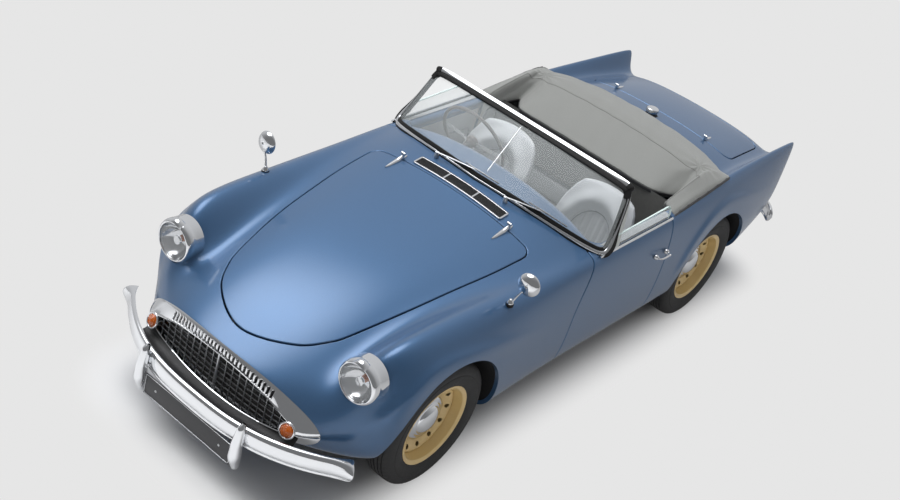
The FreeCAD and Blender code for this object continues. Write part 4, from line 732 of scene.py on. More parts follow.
def weave_group():
    """Plain weave in the piece's own UV: warp and weft cross over and under one another."""
    tree, given, out = group("Weave", (("Threads", "Float", 400.0),),
                             (("Share", "Float"), ("Height", "Float")))
    place = node(tree, "TexCoord").outputs["UV"]
    split = node(tree, "SeparateXYZ", {"Vector": place})
    waves = []
    for axis in (0, 1):
        turn = maths(tree, "MULTIPLY", split.outputs[axis], given.outputs["Threads"])
        waves.append(maths(tree, "SINE", maths(tree, "MULTIPLY", turn, math.pi)))
    cross = maths(tree, "MULTIPLY", waves[0], waves[1])
    height = maths(tree, "ABSOLUTE", cross)
    share = maths(tree, "ADD", maths(tree, "MULTIPLY", cross, 0.5), 0.5)
    tree.links.new(share, out.inputs["Share"])
    tree.links.new(height, out.inputs["Height"])
    return tree


def use(tree, shared, **values):
    made = tree.nodes.new("ShaderNodeGroup")
    made.node_tree = bpy.data.node_groups[shared]
    for key, value in values.items():
        made.inputs[key].default_value = value
    return made


def new_material(name, slot, **values):
    """A material with its Principled shader's unchanging values set on the shader's sockets."""
    made = bpy.data.materials.new(name)
    made.use_nodes = True
    tree = made.node_tree
    shader = tree.nodes["Principled BSDF"]
    for key, value in values.items():
        label = key.replace("_", " ")
        if label == "Base Color":
            value = tuple(value) + (1.0,)
            made.diffuse_color = value
        shader.inputs[label].default_value = value
    made["slot"] = slot
    MATERIALS[name] = made
    return made, tree, shader


def worn(name, slot, colour, other, rough, scale=60.0, detail=5.0, bump=0.0, bump_scale=300.0,
         spread=0.12, **values):
    """A finish whose colour drifts between two tones and whose gloss varies, over a fine grain."""
    made, tree, shader = new_material(name, slot, Base_Color=colour, **values)
    soft = use(tree, "Grain", Scale=scale, Detail=detail)
    colour_out = mix_colour(tree, soft.outputs["Share"], tuple(colour) + (1,), tuple(other) + (1,))
    tree.links.new(colour_out, shader.inputs["Base Color"])
    ramp = node(tree, "MapRange", {"Value": soft.outputs["Share"]})
    ramp.inputs["To Min"].default_value = max(rough - spread, 0.02)
    ramp.inputs["To Max"].default_value = rough + spread
    tree.links.new(ramp.outputs["Result"], shader.inputs["Roughness"])
    if bump:
        fine = use(tree, "Grain", Scale=bump_scale, Detail=3.0)
        relief = node(tree, "Bump", {"Height": fine.outputs["Height"]}, Strength=bump,
                      Distance=0.0006)
        tree.links.new(relief.outputs["Normal"], shader.inputs["Normal"])
    return made


MATERIALS = {}


def make_paint(colour):
    """Metallic enamel under a clear coat: flakes change the base's brightness and its angle."""
    made, tree, shader = new_material(
        "paint_blue", "paint", Base_Color=colour, Metallic=0.6, Roughness=0.40, Coat_Weight=0.9,
        Coat_Roughness=0.14, Specular_IOR_Level=0.3)
    flakes = use(tree, "Flakes", Scale=2300.0)
    dark = tuple(c * 0.86 for c in colour) + (1,)
    light = tuple(min(c * 1.13, 1) for c in colour) + (1,)
    tree.links.new(mix_colour(tree, flakes.outputs["Share"], dark, light),
                   shader.inputs["Base Color"])
    relief = node(tree, "Bump", {"Height": flakes.outputs["Share"]}, Strength=0.10,
                  Distance=0.0002)
    tree.links.new(relief.outputs["Normal"], shader.inputs["Normal"])
    return made


def make_glass(name, slot, tint, rough=0.0, alpha=0.16):
    """Thin clear pane: mostly see-through, with a full gloss on its surface."""
    made, tree, shader = new_material(name, slot, Base_Color=tint, Roughness=rough, Metallic=0.0,
                                      IOR=1.5, Alpha=alpha)
    soft = use(tree, "Grain", Scale=3.0, Detail=2.0)
    ramp = node(tree, "MapRange", {"Value": soft.outputs["Share"]})
    ramp.inputs["To Min"].default_value = alpha * 0.8
    ramp.inputs["To Max"].default_value = alpha * 1.2
    tree.links.new(ramp.outputs["Result"], shader.inputs["Alpha"])
    made.surface_render_method = "BLENDED"
    return made


def make_materials(colours):
    for shared in (grain_group, flake_group, weave_group):
        shared()
    make_paint(tuple(colours.paint))
    worn("chrome", "chrome", (.86, .87, .88), (.80, .81, .83), .07, 8.0, 2.0, spread=.03,
         Metallic=1.0)
    worn("chrome_satin", "chrome", (.72, .73, .74), (.62, .63, .65), .28, 30.0, spread=.06,
         Metallic=1.0)
    worn("bright_pale", "chrome", (.62, .64, .62), (.52, .54, .52), .35, 60.0, spread=.06,
         Metallic=.55)
    worn("mirror_glass", "chrome", (.9, .92, .93), (.86, .88, .9), .03, 4.0, 2.0, spread=.01,
         Metallic=1.0)
    worn("black_rubber", "rubber", (.006, .006, .006), (.010, .010, .010), .62, 90.0, bump=.25,
         bump_scale=900.0, Specular_IOR_Level=.3)
    worn("tyre_rubber", "rubber", (.018, .018, .019), (.032, .031, .030), .72, 25.0, bump=.35,
         bump_scale=700.0)
    worn("wheel_enamel", "wheel_paint", tuple(colours.wheel), (.60, .42, .17), .34, 14.0,
         Coat_Weight=0.5, spread=.06)
    worn("dark_paint", "chassis_paint", (.016, .016, .018), (.035, .034, .034), .5, 20.0, bump=.2,
         bump_scale=400.0)
    worn("underseal", "trim", (.006, .006, .007), (.012, .012, .013), .85, 40.0, bump=.6,
         bump_scale=160.0)
    leather = tuple(colours.leather)
    worn("leather_grey", "leather", leather, tuple(c * .88 for c in leather), .42, 9.0, bump=.38,
         bump_scale=420.0, Specular_IOR_Level=.45)
    worn("leather_side", "leather", tuple(c * .75 for c in leather), tuple(c * .86 for c in leather),
         .46, 9.0, bump=.38, bump_scale=420.0)
    worn("piping_dark", "leather", (.10, .11, .12), (.15, .16, .17), .5, 60.0, bump=.2,
         bump_scale=500.0)
    worn("trim_black", "trim", (.018, .018, .02), (.035, .035, .037), .48, 60.0, bump=.3,
         bump_scale=350.0)
    worn("wheel_grip", "trim", (.085, .075, .07), (.14, .125, .12), .38, 30.0)
    worn("hood_seam", "fabric", (.13, .13, .125), (.19, .19, .18), .8, 60.0)
    worn("carpet_grey", "trim", (.17, .175, .18), (.25, .255, .26), .95, 120.0, bump=.9,
         bump_scale=520.0, Sheen_Weight=0.3)
    worn("dial_black", "trim", (.01, .01, .01), (.02, .02, .02), .2, 10.0)
    worn("amber_lens", "amber", (.52, .115, .004), (.40, .07, .002), .16, 120.0,
         Transmission_Weight=0.15, Specular_IOR_Level=.4, spread=.04)
    worn("red_lens", "red_lens", (.55, .01, .008), (.42, .006, .006), .12, 120.0,
         Transmission_Weight=0.25, Coat_Weight=1.0, spread=.04)
    worn("plate_black", "plate_black", (.022, .022, .024), (.040, .040, .043), .42, 40.0)
    worn("plate_silver", "plate_black", (.62, .63, .64), (.50, .51, .52), .32, 60.0, Metallic=.8)
    worn("cast_grey", "cast_iron", (.12, .12, .125), (.2, .2, .2), .6, 30.0, bump=.5,
         bump_scale=200.0, Metallic=.5)
    worn("exhaust_metal", "chassis_paint", (.24, .22, .2), (.14, .12, .11), .45, 12.0, Metallic=.8)
    fabric_material("hood_cloth", tuple(colours.cloth))
    lens_material()
    make_glass("clear_glass", "glass", (.86, .92, .93))
    make_glass("glass_edge", "glass", (.75, .88, .86), 0.1, 0.72)


def fabric_material(name, colour):
    """Rubbed double-texture hood cloth: a plain weave with soft sheen and faint cloudy marks."""
    made, tree, shader = new_material(name, "fabric", Base_Color=colour, Roughness=0.86,
                                      Sheen_Weight=0.22, Sheen_Roughness=0.5,
                                      Specular_IOR_Level=0.25)
    weave = use(tree, "Weave", Threads=900.0)
    cloud = use(tree, "Grain", Scale=7.0, Detail=5.0)
    dark = tuple(c * 0.80 for c in colour) + (1,)
    light = tuple(c * 1.12 for c in colour) + (1,)
    threads = mix_colour(tree, weave.outputs["Height"], dark, light)
    pale = tuple(c * 0.93 for c in colour) + (1,)
    tree.links.new(mix_colour(tree, maths(tree, "MULTIPLY", cloud.outputs["Share"], 0.45), threads,
                              pale), shader.inputs["Base Color"])
    relief = node(tree, "Bump", {"Height": weave.outputs["Height"]}, Strength=0.35,
                  Distance=0.0004)
    tree.links.new(relief.outputs["Normal"], shader.inputs["Normal"])
    return made


def lens_material():
    """Headlamp glass: clear, with upright flutes pressed in its back."""
    made, tree, shader = new_material("lamp_glass", "glass", Base_Color=(.55, .57, .58),
                                      Roughness=0.04, IOR=1.45, Alpha=0.24)
    place = node(tree, "SeparateXYZ", {"Vector": node(tree, "TexCoord").outputs["Object"]})
    wave = maths(tree, "SINE", maths(tree, "MULTIPLY", place.outputs["X"], 560.0))
    relief = node(tree, "Bump", {"Height": wave}, Strength=0.55, Distance=0.0016)
    tree.links.new(relief.outputs["Normal"], shader.inputs["Normal"])
    made.surface_render_method = "BLENDED"
    return made


def mats(*names):
    return [MATERIALS[n] for n in names]


@functools.cache
def body_skin():
    """The body's whole surface, cut along its shut lines, arches, lamps, cockpit and floor."""
    skin = Skin(12)
    for name in PANELS:
        for level in (GAP, GAP + LIP * 0.35, GAP + LIP, -GAP, -GAP - LIP * 0.35, -GAP - LIP):
            skin.cut(name, level)
    for name in ("cockpit", "front_arch", "rear_arch", "lamp", "floor"):
        skin.cut(name, 0.0)
    skin.finish()
    return skin


def make_body_panels(skin):
    """The painted body, its two doors, bonnet and boot lid, all cut from one surface."""
    gone = np.zeros(len(skin.tri), bool)
    for name in PANELS:
        gone |= skin.inside(name, GAP)
    cockpit = skin.inside("cockpit", 0.0)
    for name in ("front_arch", "rear_arch", "lamp", "floor"):
        gone |= skin.inside(name, 0.0)
    rest = ~(gone | cockpit)
    paint = mats("paint_blue")

    def at_mouth(p):
        return (p[:, 1] < -1.7) & (np.abs(p[:, 0]) < 0.5) & (p[:, 2] < 0.6) & (p[:, 2] > 0.3)

    for name, mask, body, nodes, depth in (
            ("body_moulding", rest, "body", ("front_body", "rear_body"), 0.02),
            ("bonnet_panel", skin.inside("bonnet", -GAP), "front_lid", ("bonnet",), 0.016),
            ("boot_panel", skin.inside("boot", -GAP), "rear_lid", ("boot_lid",), 0.016),
            ("door_panel_left", skin.inside("door_left", -GAP) & ~cockpit, "left_door",
             ("door_left",), 0.05),
            ("door_panel_right", skin.inside("door_right", -GAP) & ~cockpit, "right_door",
             ("door_right",), 0.05)):
        co, faces, no = skin.panel(mask, depth, at_mouth if name == "body_moulding" else None)
        piece = mesh_piece(name, [(co, faces)], paint, body, nodes, no)


INNER_WALLS = (0.386, 0.506)
WELL_FOOT = 0.245


def make_wheel_wells(skin):
    """Dark inner wings: half a drum over each wheel with its inboard wall."""
    for index, inner in enumerate(INNER_WALLS):
        y = AXLES[index][0]
        on_edge = np.abs(skin.values[("front_arch", "rear_arch")[index]]) < 1e-5
        on_edge &= skin.points[:, 0] > 0
        p = skin.points[on_edge]
        angle = np.arctan2(p[:, 2] - AXLE_HEIGHT, p[:, 1] - y)
        angle = np.where(angle < -np.pi / 2, angle + 2 * np.pi, angle)
        order = angle.argsort()
        turn = np.linspace(-0.20, np.pi + 0.20, 90)
        outer = np.interp(turn, angle[order], p[order, 0]) - 0.012
        ways = np.stack([np.cos(turn), np.sin(turn)], 1)
        rows = []
        for x, radius in ((None, ARCH_RADIUS + 0.001), (0.5, ARCH_RADIUS + 0.003),
                          (inner + 0.02, ARCH_RADIUS + 0.003), (inner, ARCH_RADIUS - 0.015),
                          (inner, 0.2), (inner, 0.02)):
            across = outer if x is None else np.full(len(turn), x)
            across = np.minimum(across, outer)
            rows.append(np.column_stack([across, y + radius * ways[:, 0],
                                         np.maximum(AXLE_HEIGHT + radius * ways[:, 1], WELL_FOOT)]))
        part = grid(np.array(rows))
        for side, parts in (("left", [part]), ("right", [other_side(part)])):
            mesh_piece("wheel_well_%s_%s" % (("front", "rear")[index], side), parts,
                       mats("underseal"))


WHEEL_SIDES = 240
TREAD_WAVES = 60
HOLES = 12
HOLE_CIRCLE = 0.151
HOLE_RADIUS = 0.0105


def make_tyre(x, y, sign):
    """Cross-ply tyre: a rounded section with grooves cut round the tread, cross sipes raised as a
    wave round it, and ribs on the side wall."""
    half = [(.0560, .1985), (.0600, .2045), (.0640, .2120), (.0690, .2230), (.0725, .2370),
            (.0742, .2520), (.0738, .2640), (.0722, .2660), (.0712, .2690), (.0724, .2720),
            (.0708, .2860), (.0665, .2980), (.0600, .3085), (.0520, .3140), (.0450, .3163),
            (.0425, .3170), (.0415, .3105), (.0375, .3105), (.0365, .3176), (.0290, .3184),
            (.0230, .3188), (.0220, .3120), (.0180, .3120), (.0170, .3190), (.0080, .3194),
            (.0040, .3194), (.0030, .3130), (.0, .3130)]
    p = np.array(half)
    p = np.vstack([p, p[-2::-1] * (-1, 1)])
    count = WHEEL_SIDES
    t = np.linspace(0, 2 * np.pi, count, endpoint=False)
    r = np.repeat(p[:, 1:], count, 1)
    tread = smooth_step(.300, .309, r) * (np.abs(p[:, :1]) > 0.005)
    r = r - tread * 0.0022 * (np.sin(t[None] * TREAD_WAVES + np.abs(p[:, :1]) * 160) > 0.55)
    side = smooth_step(.270, .285, r) * (1 - smooth_step(.300, .309, r))
    r = r - side * 0.0012 * (np.sin(t[None] * TREAD_WAVES) > 0.2)
    rows = np.stack([np.repeat(p[:, :1], count, 1) * sign + x, y + r * np.cos(t),
                     AXLE_HEIGHT + r * np.sin(t)], 2)
    return grid(rows, False, True, 0, sign > 0)


def make_disc(sign, x, y, number):
    """Pressed disc of the wheel: rings of points round the axle whose radii step round each of
    the holes, which keep a rolled edge."""
    count = WHEEL_SIDES
    t = np.linspace(0, 2 * np.pi, count, endpoint=False)
    phase = (t * HOLES / (2 * np.pi) + 0.5) % 1 - 0.5
    across = phase * 2 * np.pi / HOLES * HOLE_CIRCLE
    parts = []
    inside = np.abs(across) < HOLE_RADIUS
    reach = np.sqrt(np.maximum(HOLE_RADIUS ** 2 - across ** 2, 0))
    low, high = HOLE_CIRCLE - reach, HOLE_CIRCLE + reach

    def height(r):
        return np.interp(r, (.105, .118, .135, .168, .176, .184), (-.012, -.014, -.004, .012, .010, -.002))

    for first, last, swap in ((np.full(count, .105), low, False), (high, np.full(count, .184), True)):
        s = np.linspace(0, 1, 8)[:, None]
        r = first * (1 - s) + last * s
        edge = (1 - s if swap else s)
        roll = np.where(inside, 1, 0) * smooth_step(0.7, 1.0, edge) * 0.0015
        rows = np.stack([x + sign * (height(r) - roll), y + r * np.cos(t), AXLE_HEIGHT + r * np.sin(t)], 2)
        parts.append(grid(rows, False, True, number, sign > 0))
    return parts


def make_wheels():
    """Four cream steel wheels: rim, pierced disc, domed hub cap, and the black tyre round each."""
    rim = [(-.057, .1865), (-.060, .198), (-.0625, .2062), (-.0605, .2064), (-.057, .2), (-.050, .190),
           (-.030, .183), (.020, .183), (.044, .187), (.052, .190), (.0575, .2000), (.0590, .2060),
           (.0615, .2066), (.0632, .2050), (.0622, .2000), (.0560, .1870), (.0480, .1850),
           (.0300, .1810), (.0120, .1775), (.0060, .1780), (-.010, .1790), (-.030, .1790),
           (-.050, .1840)]
    cap = [(-.012, .110), (-.004, .1135), (.003, .1130), (.007, .1085), (.010, .1000), (.0108, .0900),
           (.0145, .0840), (.0165, .0770), (.0170, .0740), (.0230, .0690), (.0320, .0560), (.0375, .0400),
           (.0405, .0200), (.0412, .0002)]
    for end, (y, track) in zip(("front", "rear"), AXLES):
        for side, sign in (("left", 1), ("right", -1)):
            body = "%s_%s_wheel" % (end, side)
            x, axis = track * sign, (sign, 0, 0)
            centre = (x, y, AXLE_HEIGHT)
            tyre = mesh_piece("tyre_" + body, [make_tyre(x, y, sign)], mats("tyre_rubber"), body,
                              ("tyre_%s_%s" % (end, side),), sharp=30)
            smooth_rim = spline(rim, 46)
            smooth_cap = spline(cap, 40)
            parts = [lathe(smooth_rim, centre, axis, 0, 96, closed=True)]
            parts += make_disc(sign, x, y, 0)
            parts.append(lathe([(-.03, .183), (-.034, .12), (-.034, .0)], centre, axis, 2, 64))
            parts.append(lathe(smooth_cap, centre, axis, 1, 90))
            wheel = mesh_piece("wheel_" + body, parts,
                               mats("wheel_enamel", "chrome", "underseal"), body,
                               ("wheel_%s_%s" % (end, side),))


def make_headlamps():
    """Chrome bezel with its small peak, fluted domed glass, polished bowl and bulb in each wing."""
    c = LAMP + (0, -0.020, 0)
    bezel = [(-.075, .0995), (-.030, .1010), (-.012, .1035), (.004, .1030), (.014, .0990), (.020, .0935),
             (.0215, .0890), (.0190, .0865), (.0165, .0880), (.0120, .0860), (.0080, .0850)]
    glass = [(.0085, .0860), (.0150, .0835), (.0215, .0740), (.0285, .0580), (.0335, .0380),
             (.0365, .0190), (.0374, .0003)]
    bowl = [(.0085, .0855), (-.010, .0760), (-.030, .0600), (-.045, .0400), (-.052, .0180)]
    parts = [lathe(spline(bezel, 40), c, (0, -1, 0), 0, 96),
             lathe(spline(bowl, 16), c, (0, -1, 0), 0, 80),
             lathe([(-.052, .018), (-.020, .014), (-.012, .008), (-.010, .0002)], c, (0, -1, 0), 2, 32),
             lathe([(-.012, .0235), (-.008, .0240), (-.003, .0200), (-.002, .0002)], c, (0, -1, 0), 0, 48)]
    t = np.linspace(-0.34, 0.34, 25)
    s = np.linspace(0, 1, 12)[:, None]
    rise = 0.016 * np.cos(t / 0.34 * np.pi / 2) ** 0.8
    r = 0.0995 + rise * np.sin(s * np.pi) ** 0.6
    y = c[1] + 0.016 - s * 0.048
    peak = np.stack([c[0] + r * np.sin(t), np.broadcast_to(y, r.shape), c[2] + r * np.cos(t)], 2)
    parts.append(grid(peak, number=0))
    made = mesh_piece("headlamp_bezels", both(parts), mats("chrome", "lamp_glass", "amber_lens"),
                      stands_for=("headlamps",))
    lens = mesh_piece("headlamp_glass", both([lathe(spline(glass, 24), c, (0, -1, 0), 0, 96)]),
                      mats("lamp_glass"))


def round_lamp(name, centre, axis, radius, lens, nodes=()):
    """Small round lamp: a ribbed domed lens in a rolled chrome rim."""
    rim = spline([(-.02, radius * 1.12), (.0, radius * 1.30), (.006, radius * 1.28), (.009, radius * 1.14),
                  (.006, radius * 1.0), (.0, radius * .98)], 24)
    a = np.linspace(0, np.pi / 2, 40)
    dome = np.stack([np.sin(a) * radius * .62, np.cos(a) * radius * .99 + .0002], 1)
    dome[:, 0] += 0.0011 * np.sin(dome[:, 1] * 900)
    part = [lathe(rim, centre, axis, 0, 56), lathe(dome, centre, axis, 1, 56)]
    return mesh_piece(name, both(part), mats("chrome", lens), stands_for=nodes)


def make_indicators():
    piece = round_lamp("indicator_lamps", (0.420, -1.868, 0.418), (.22, -1, .34), 0.030, "amber_lens",
                       ("indicators",))
# How far the grille's face sweeps back, for each square metre across, and its foremost place.
MOUTH_SWEEP = 0.12
GRILLE_FRONT = -1.896
SLOT_PITCH = 0.0215
SLOTS_HALF_SPAN = 0.315
LIP_ROW = 1.62
NET_COLUMNS = 22
UPRIGHT_PITCH = 0.0405
LEVEL_PITCH = 0.0265
OPENING = ((0, .343), (.12, .345), (.22, .353), (.32, .370), (.40, .390), (.438, .404), (.447, .420),
           (.430, .441), (.355, .473), (.25, .504), (.12, .524), (0, .531))


def scaled_angle(x, z):
    return np.unwrap(np.arctan2(x / 0.45, -(z - 0.44) / 0.12))


def make_grille(skin):
    """Chromed surround pressed from one band: it starts on the body's lip, bulges forward and
    returns into the mouth. The slots of its top are pressed in where a wave along it is high.
    Behind it lies a mesh of thin upright and level bars before a black radiator face, whose near-black
    colour is partly painted shade in the mouth."""
    count = 1040
    lip = np.stack([np.full(count, LIP_ROW), np.linspace(0, NET_COLUMNS, count, endpoint=False)], 1)
    rim = skin.place(lip) + skin.slopes(skin.place, lip) * 0.001
    half = spline(OPENING, 120)
    angle = scaled_angle(rim[:, 0], rim[:, 2])
    known = scaled_angle(half[:, 0], half[:, 1])
    full = np.concatenate([known, 2 * np.pi - known[-2:0:-1]])
    x = np.concatenate([half[:, 0], -half[-2:0:-1, 0]])
    z = np.concatenate([half[:, 1], half[-2:0:-1, 1]])
    angle = (angle - angle[0]) % (2 * np.pi)
    x, z = (np.interp(angle, full, k, period=2 * np.pi) for k in (x, z))
    inner = np.stack([x, GRILLE_FRONT + 0.012 + MOUTH_SWEEP * x ** 2, z], 1)
    t = np.linspace(0, 1, 24)[:, None, None]
    rows = rim * (1 - t) + inner * t
    s = t[..., 0]
    bulge = np.sin(np.pi * s) ** 0.7 * 0.013 + np.exp(-((s - 0.93) / 0.05) ** 2) * 0.003
    on_top = smooth_step(.47, .50, rows[..., 2]) * (np.abs(rows[..., 0]) < SLOTS_HALF_SPAN)
    wave = smooth_step(0.30, 0.55, np.cos(rows[..., 0] / SLOT_PITCH * 2 * np.pi))
    press = on_top * wave * smooth_step(.20, .25, s) * (1 - smooth_step(.76, .81, s))
    rows[..., 1] -= bulge - press * 0.010
    back = rows[-1] + (0, 0.024, 0)
    rows = np.concatenate([rows, (rows[-1] + (0, 0.003, 0))[None], back[None]])
    faces = grid_faces(len(rows), count, False, True)
    raised = np.concatenate([press, np.zeros((2, count))]).ravel()
    pressed = raised[faces[:, 0]] > 0.8
    co = rows.reshape(-1, 3)
    surround = mesh_piece("grille_surround_band", [(co, faces[~pressed][:, ::-1], 0),
                                                   (co, faces[pressed][:, ::-1], 1)],
                          mats("chrome", "trim_black"), stands_for=("grille_surround",))
    low = half[:half[:, 0].argmax() + 1]
    high = half[half[:, 0].argmax():][::-1]
    bars = []
    flat = circle(0.0021, 8, 1.6)
    for x in np.arange(-9, 10) * UPRIGHT_PITCH:
        z = np.linspace(np.interp(abs(x), low[:, 0], low[:, 1]),
                        np.interp(abs(x), high[:, 0], high[:, 1]), 12)
        y = GRILLE_FRONT + 0.026 + MOUTH_SWEEP * x * x - 0.005
        bars.append(sweep(np.stack([np.full(12, x), np.full(12, y), z], 1), flat, (0, -1, 0)))
    for z in 0.3775 + LEVEL_PITCH * np.arange(6):
        top = half[half[:, 0].argmax(), 1]
        line = low if z < top else high
        wide = np.interp(z, line[:, 1] if z < top else line[::-1, 1],
                         line[:, 0] if z < top else line[::-1, 0])
        x = np.linspace(-wide, wide, 60)
        y = GRILLE_FRONT + 0.029 + MOUTH_SWEEP * x * x
        bars.append(sweep(np.stack([x, y, np.full(60, z)], 1), flat, (0, -1, 0)))
    z = np.linspace(.352, .542, 10)
    bars.append(sweep(np.stack([np.zeros(10), np.full(10, GRILLE_FRONT + 0.014), z], 1),
                      circle(0.006, 16, 1.3), (0, -1, 0)))
    mesh = mesh_piece("grille_bars", bars, mats("chrome_satin"), stands_for=("grille_mesh",))
    # Radiator face behind the mouth: its near-black colour is partly the radiator's own, partly painted
    # shade in the mouth.
    a, t = np.meshgrid(np.linspace(-.435, .435, 61), np.linspace(0, 1, 16), indexing="ij")
    foot = np.interp(np.abs(a), low[:, 0], low[:, 1]) + .002
    roof = np.interp(np.abs(a), high[:, 0], high[:, 1]) - .001
    b = foot + (roof - foot) * t
    near = 1 - smooth_step(0, .45, t)
    shade = np.stack([a, GRILLE_FRONT + .062 - .026 * near + MOUTH_SWEEP * a * a, b], 2)
    mesh_piece("radiator_face_and_shade", [grid(shade, flip=True)], mats("dial_black"))


def bumper_line(count=111):
    """Middle line of the front bumper in plan: nearly straight before the grille, swept round
    the nose and curled back at its ends."""
    s = np.linspace(-1, 1, count)
    x = 0.70 * np.sin(s * np.pi / 2 * 0.985) / np.sin(np.pi / 2 * 0.985)
    y = -2.000 + 0.262 * np.abs(x / 0.70) ** 2.6
    return np.stack([x, y, np.full(count, 0.342)], 1), s


def make_bumper():
    """Front bumper: a deep blade with a rolled lower edge, two tapered overriders and blank dark
    number plate in a thin bright border."""
    path, s = bumper_line()
    front = np.array([(.010, .048), (.000, .0475), (-.008, .043), (-.014, .030), (-.0172, .014),
                      (-.0180, .000), (-.0172, -.013), (-.0145, -.024), (-.0105, -.031),
                      (-.0085, -.035), (-.010, -.0395), (-.0095, -.0455), (-.0045, -.0485),
                      (.001, -.0475), (.000, -.044), (-.004, -.036), (-.011, -.015), (-.0118, .000),
                      (-.011, .015), (-.006, .034), (.006, .043)])
    outline = rounded(front, 0.004, 4)
    end = np.clip(1 - np.abs(s) ** 16, 0, 1) ** 0.5 * 0.97 + 0.03
    thick = 1 + 1.6 * smooth_step(.70, .96, np.abs(s)) * np.clip(1 - np.abs(s) ** 40, .1, 1) ** .5
    side = facing_rear(path)
    rows = path[:, None] + outline[None, :, :1] * (side * thick[:, None])[:, None] + \
        outline[None, :, 1:] * end[:, None, None] * np.array((0, 0, 1.0))
    parts = [capped(rows)]
    for x in (-0.298, 0.298):
        z = np.linspace(0, 1, 40)
        grow = np.interp(z, (0, .08, .35, .72, .93, 1), (.25, .62, 1.0, .80, .62, .30))
        fore = np.interp(z, (0, .3, .6, .9, 1), (.018, -.006, -.010, .0, .012))
        line = np.stack([np.full(40, x), -2.006 + fore, .174 + z * .250], 1)
        oval = circle(0.027, 28, 1.0) * (1.0, 1.15)
        parts.append(sweep(line, oval, (0, -1, 0), scale=grow))
    for x in (-0.310, 0.310):
        iron = np.array([(x, -1.975, .318), (x, -1.90, .292), (x, -1.62, .235)])
        parts.append(sweep(spline(iron, 12),
                           rounded([(-.016, -.005), (.016, -.005), (.016, .005), (-.016, .005)],
                                                     .002, 3), number=1))
    # Dark apron from the mouth's foot to the blade: a valance whose near-black colour is painted shade
    # under the nose.
    x = np.linspace(-.46, .46, 61)
    back = np.stack([x, -1.890 + .30 * x ** 2, .338 + .30 * x ** 2], 1)
    fore = np.stack([x, np.interp(x, path[:, 0], path[:, 1]) + .030, np.full(61, .352)], 1)
    t = np.linspace(0, 1, 10)[:, None, None]
    shaded_apron = back * (1 - t) + fore * t - np.array((0, 0, .018)) * np.sin(np.pi * t)
    parts.append(grid(shaded_apron, number=1))
    bumper = mesh_piece("front_bumper_blade", parts, mats("chrome", "dark_paint"),
                        stands_for=("front_bumper",))
    y = -2.0060
    plate = [block((-.2725, y, .183), (.2725, y + .003, .293), 0.0012, 0)]
    loop = rounded([(-.268, .188), (.268, .188), (.268, .288), (-.268, .288)], 0.010, 6)
    line = at_depth(loop, y - .0006)
    plate.append(sweep(line, circle(0.0016, 8), (0, -1, 0), number=1, closed=True))
    for x in (-.20, .20):
        plate.append(lathe([(0, .006), (.0015, .0055), (.0028, .003), (.003, .0002)], (x, y, .238),
                           (0, -1, 0), 1, 20))
    made = mesh_piece("front_number_plate", plate, mats("plate_black", "plate_silver"),
                      stands_for=("front_plate",))


# Middle line of the windscreen's frame on the left side: its foot, then its head.
SCREEN_FOOT = ((0, -.335, .953), (.271, -.305, .941), (.486, -.245, .905), (.610, -.178, .868),
               (.664, -.122, .850))
SCREEN_HEAD = ((0, .048, 1.153), (.300, .050, 1.152), (.590, .052, 1.147))
SCREEN_LOOP = SCREEN_FOOT + ((.676, -.084, .872), (.662, -.040, .940), (.640, .010, 1.040),
                             (.618, .042, 1.118)) + SCREEN_HEAD[::-1]


def screen_loop(count=130):
    """Closed line round the windscreen, from the foot's centre up the left side and back."""
    half = spline(SCREEN_LOOP, count)
    return np.vstack([half, half[-2:0:-1] * (-1, 1, 1)])


def screen_normal(loop):
    """Direction square to the glass at each point of its edge."""
    side = unit(np.column_stack([loop[:, 0] * 0.55, np.full(len(loop), -1.0), np.full(len(loop), 0.62)]))
    lean = 0.46 + 0.31 * (np.abs(loop[:, 0]) / 0.6) ** 2.5
    head = np.column_stack([loop[:, 0] * 0.15, -lean, np.sqrt(np.clip(1 - lean ** 2, 0.1, 1))])
    top = smooth_step(1.08, 1.145, loop[:, 2])[:, None]
    return unit(side * (1 - top) + head * top)


def bar_of_bands(path, away, outer, inner, low, high, number, closed=True):
    """Bar with a rounded oblong section whose four sides follow their own distances: outward and
    inward in the glass's plane, and behind and before it."""
    around = np.vstack([path[-2:], path, path[:2]]) if closed else path
    up = np.vstack([away[-2:], away, away[:2]]) if closed else away
    over, side = frames(around, up)
    if closed:
        over, side = over[2:-2], side[2:-2]
    unit_square = rounded([(0, 0), (1, 0), (1, 1), (0, 1)], .3, 4)
    s, t = unit_square[:, 0], unit_square[:, 1]
    across = inner[:, None] + (outer - inner)[:, None] * s
    depth = low[:, None] + (high - low)[:, None] * t
    rows = path[:, None] + across[..., None] * side[:, None] + depth[..., None] * over[:, None]
    return grid(rows, True, True, number) if closed else capped(rows, number)


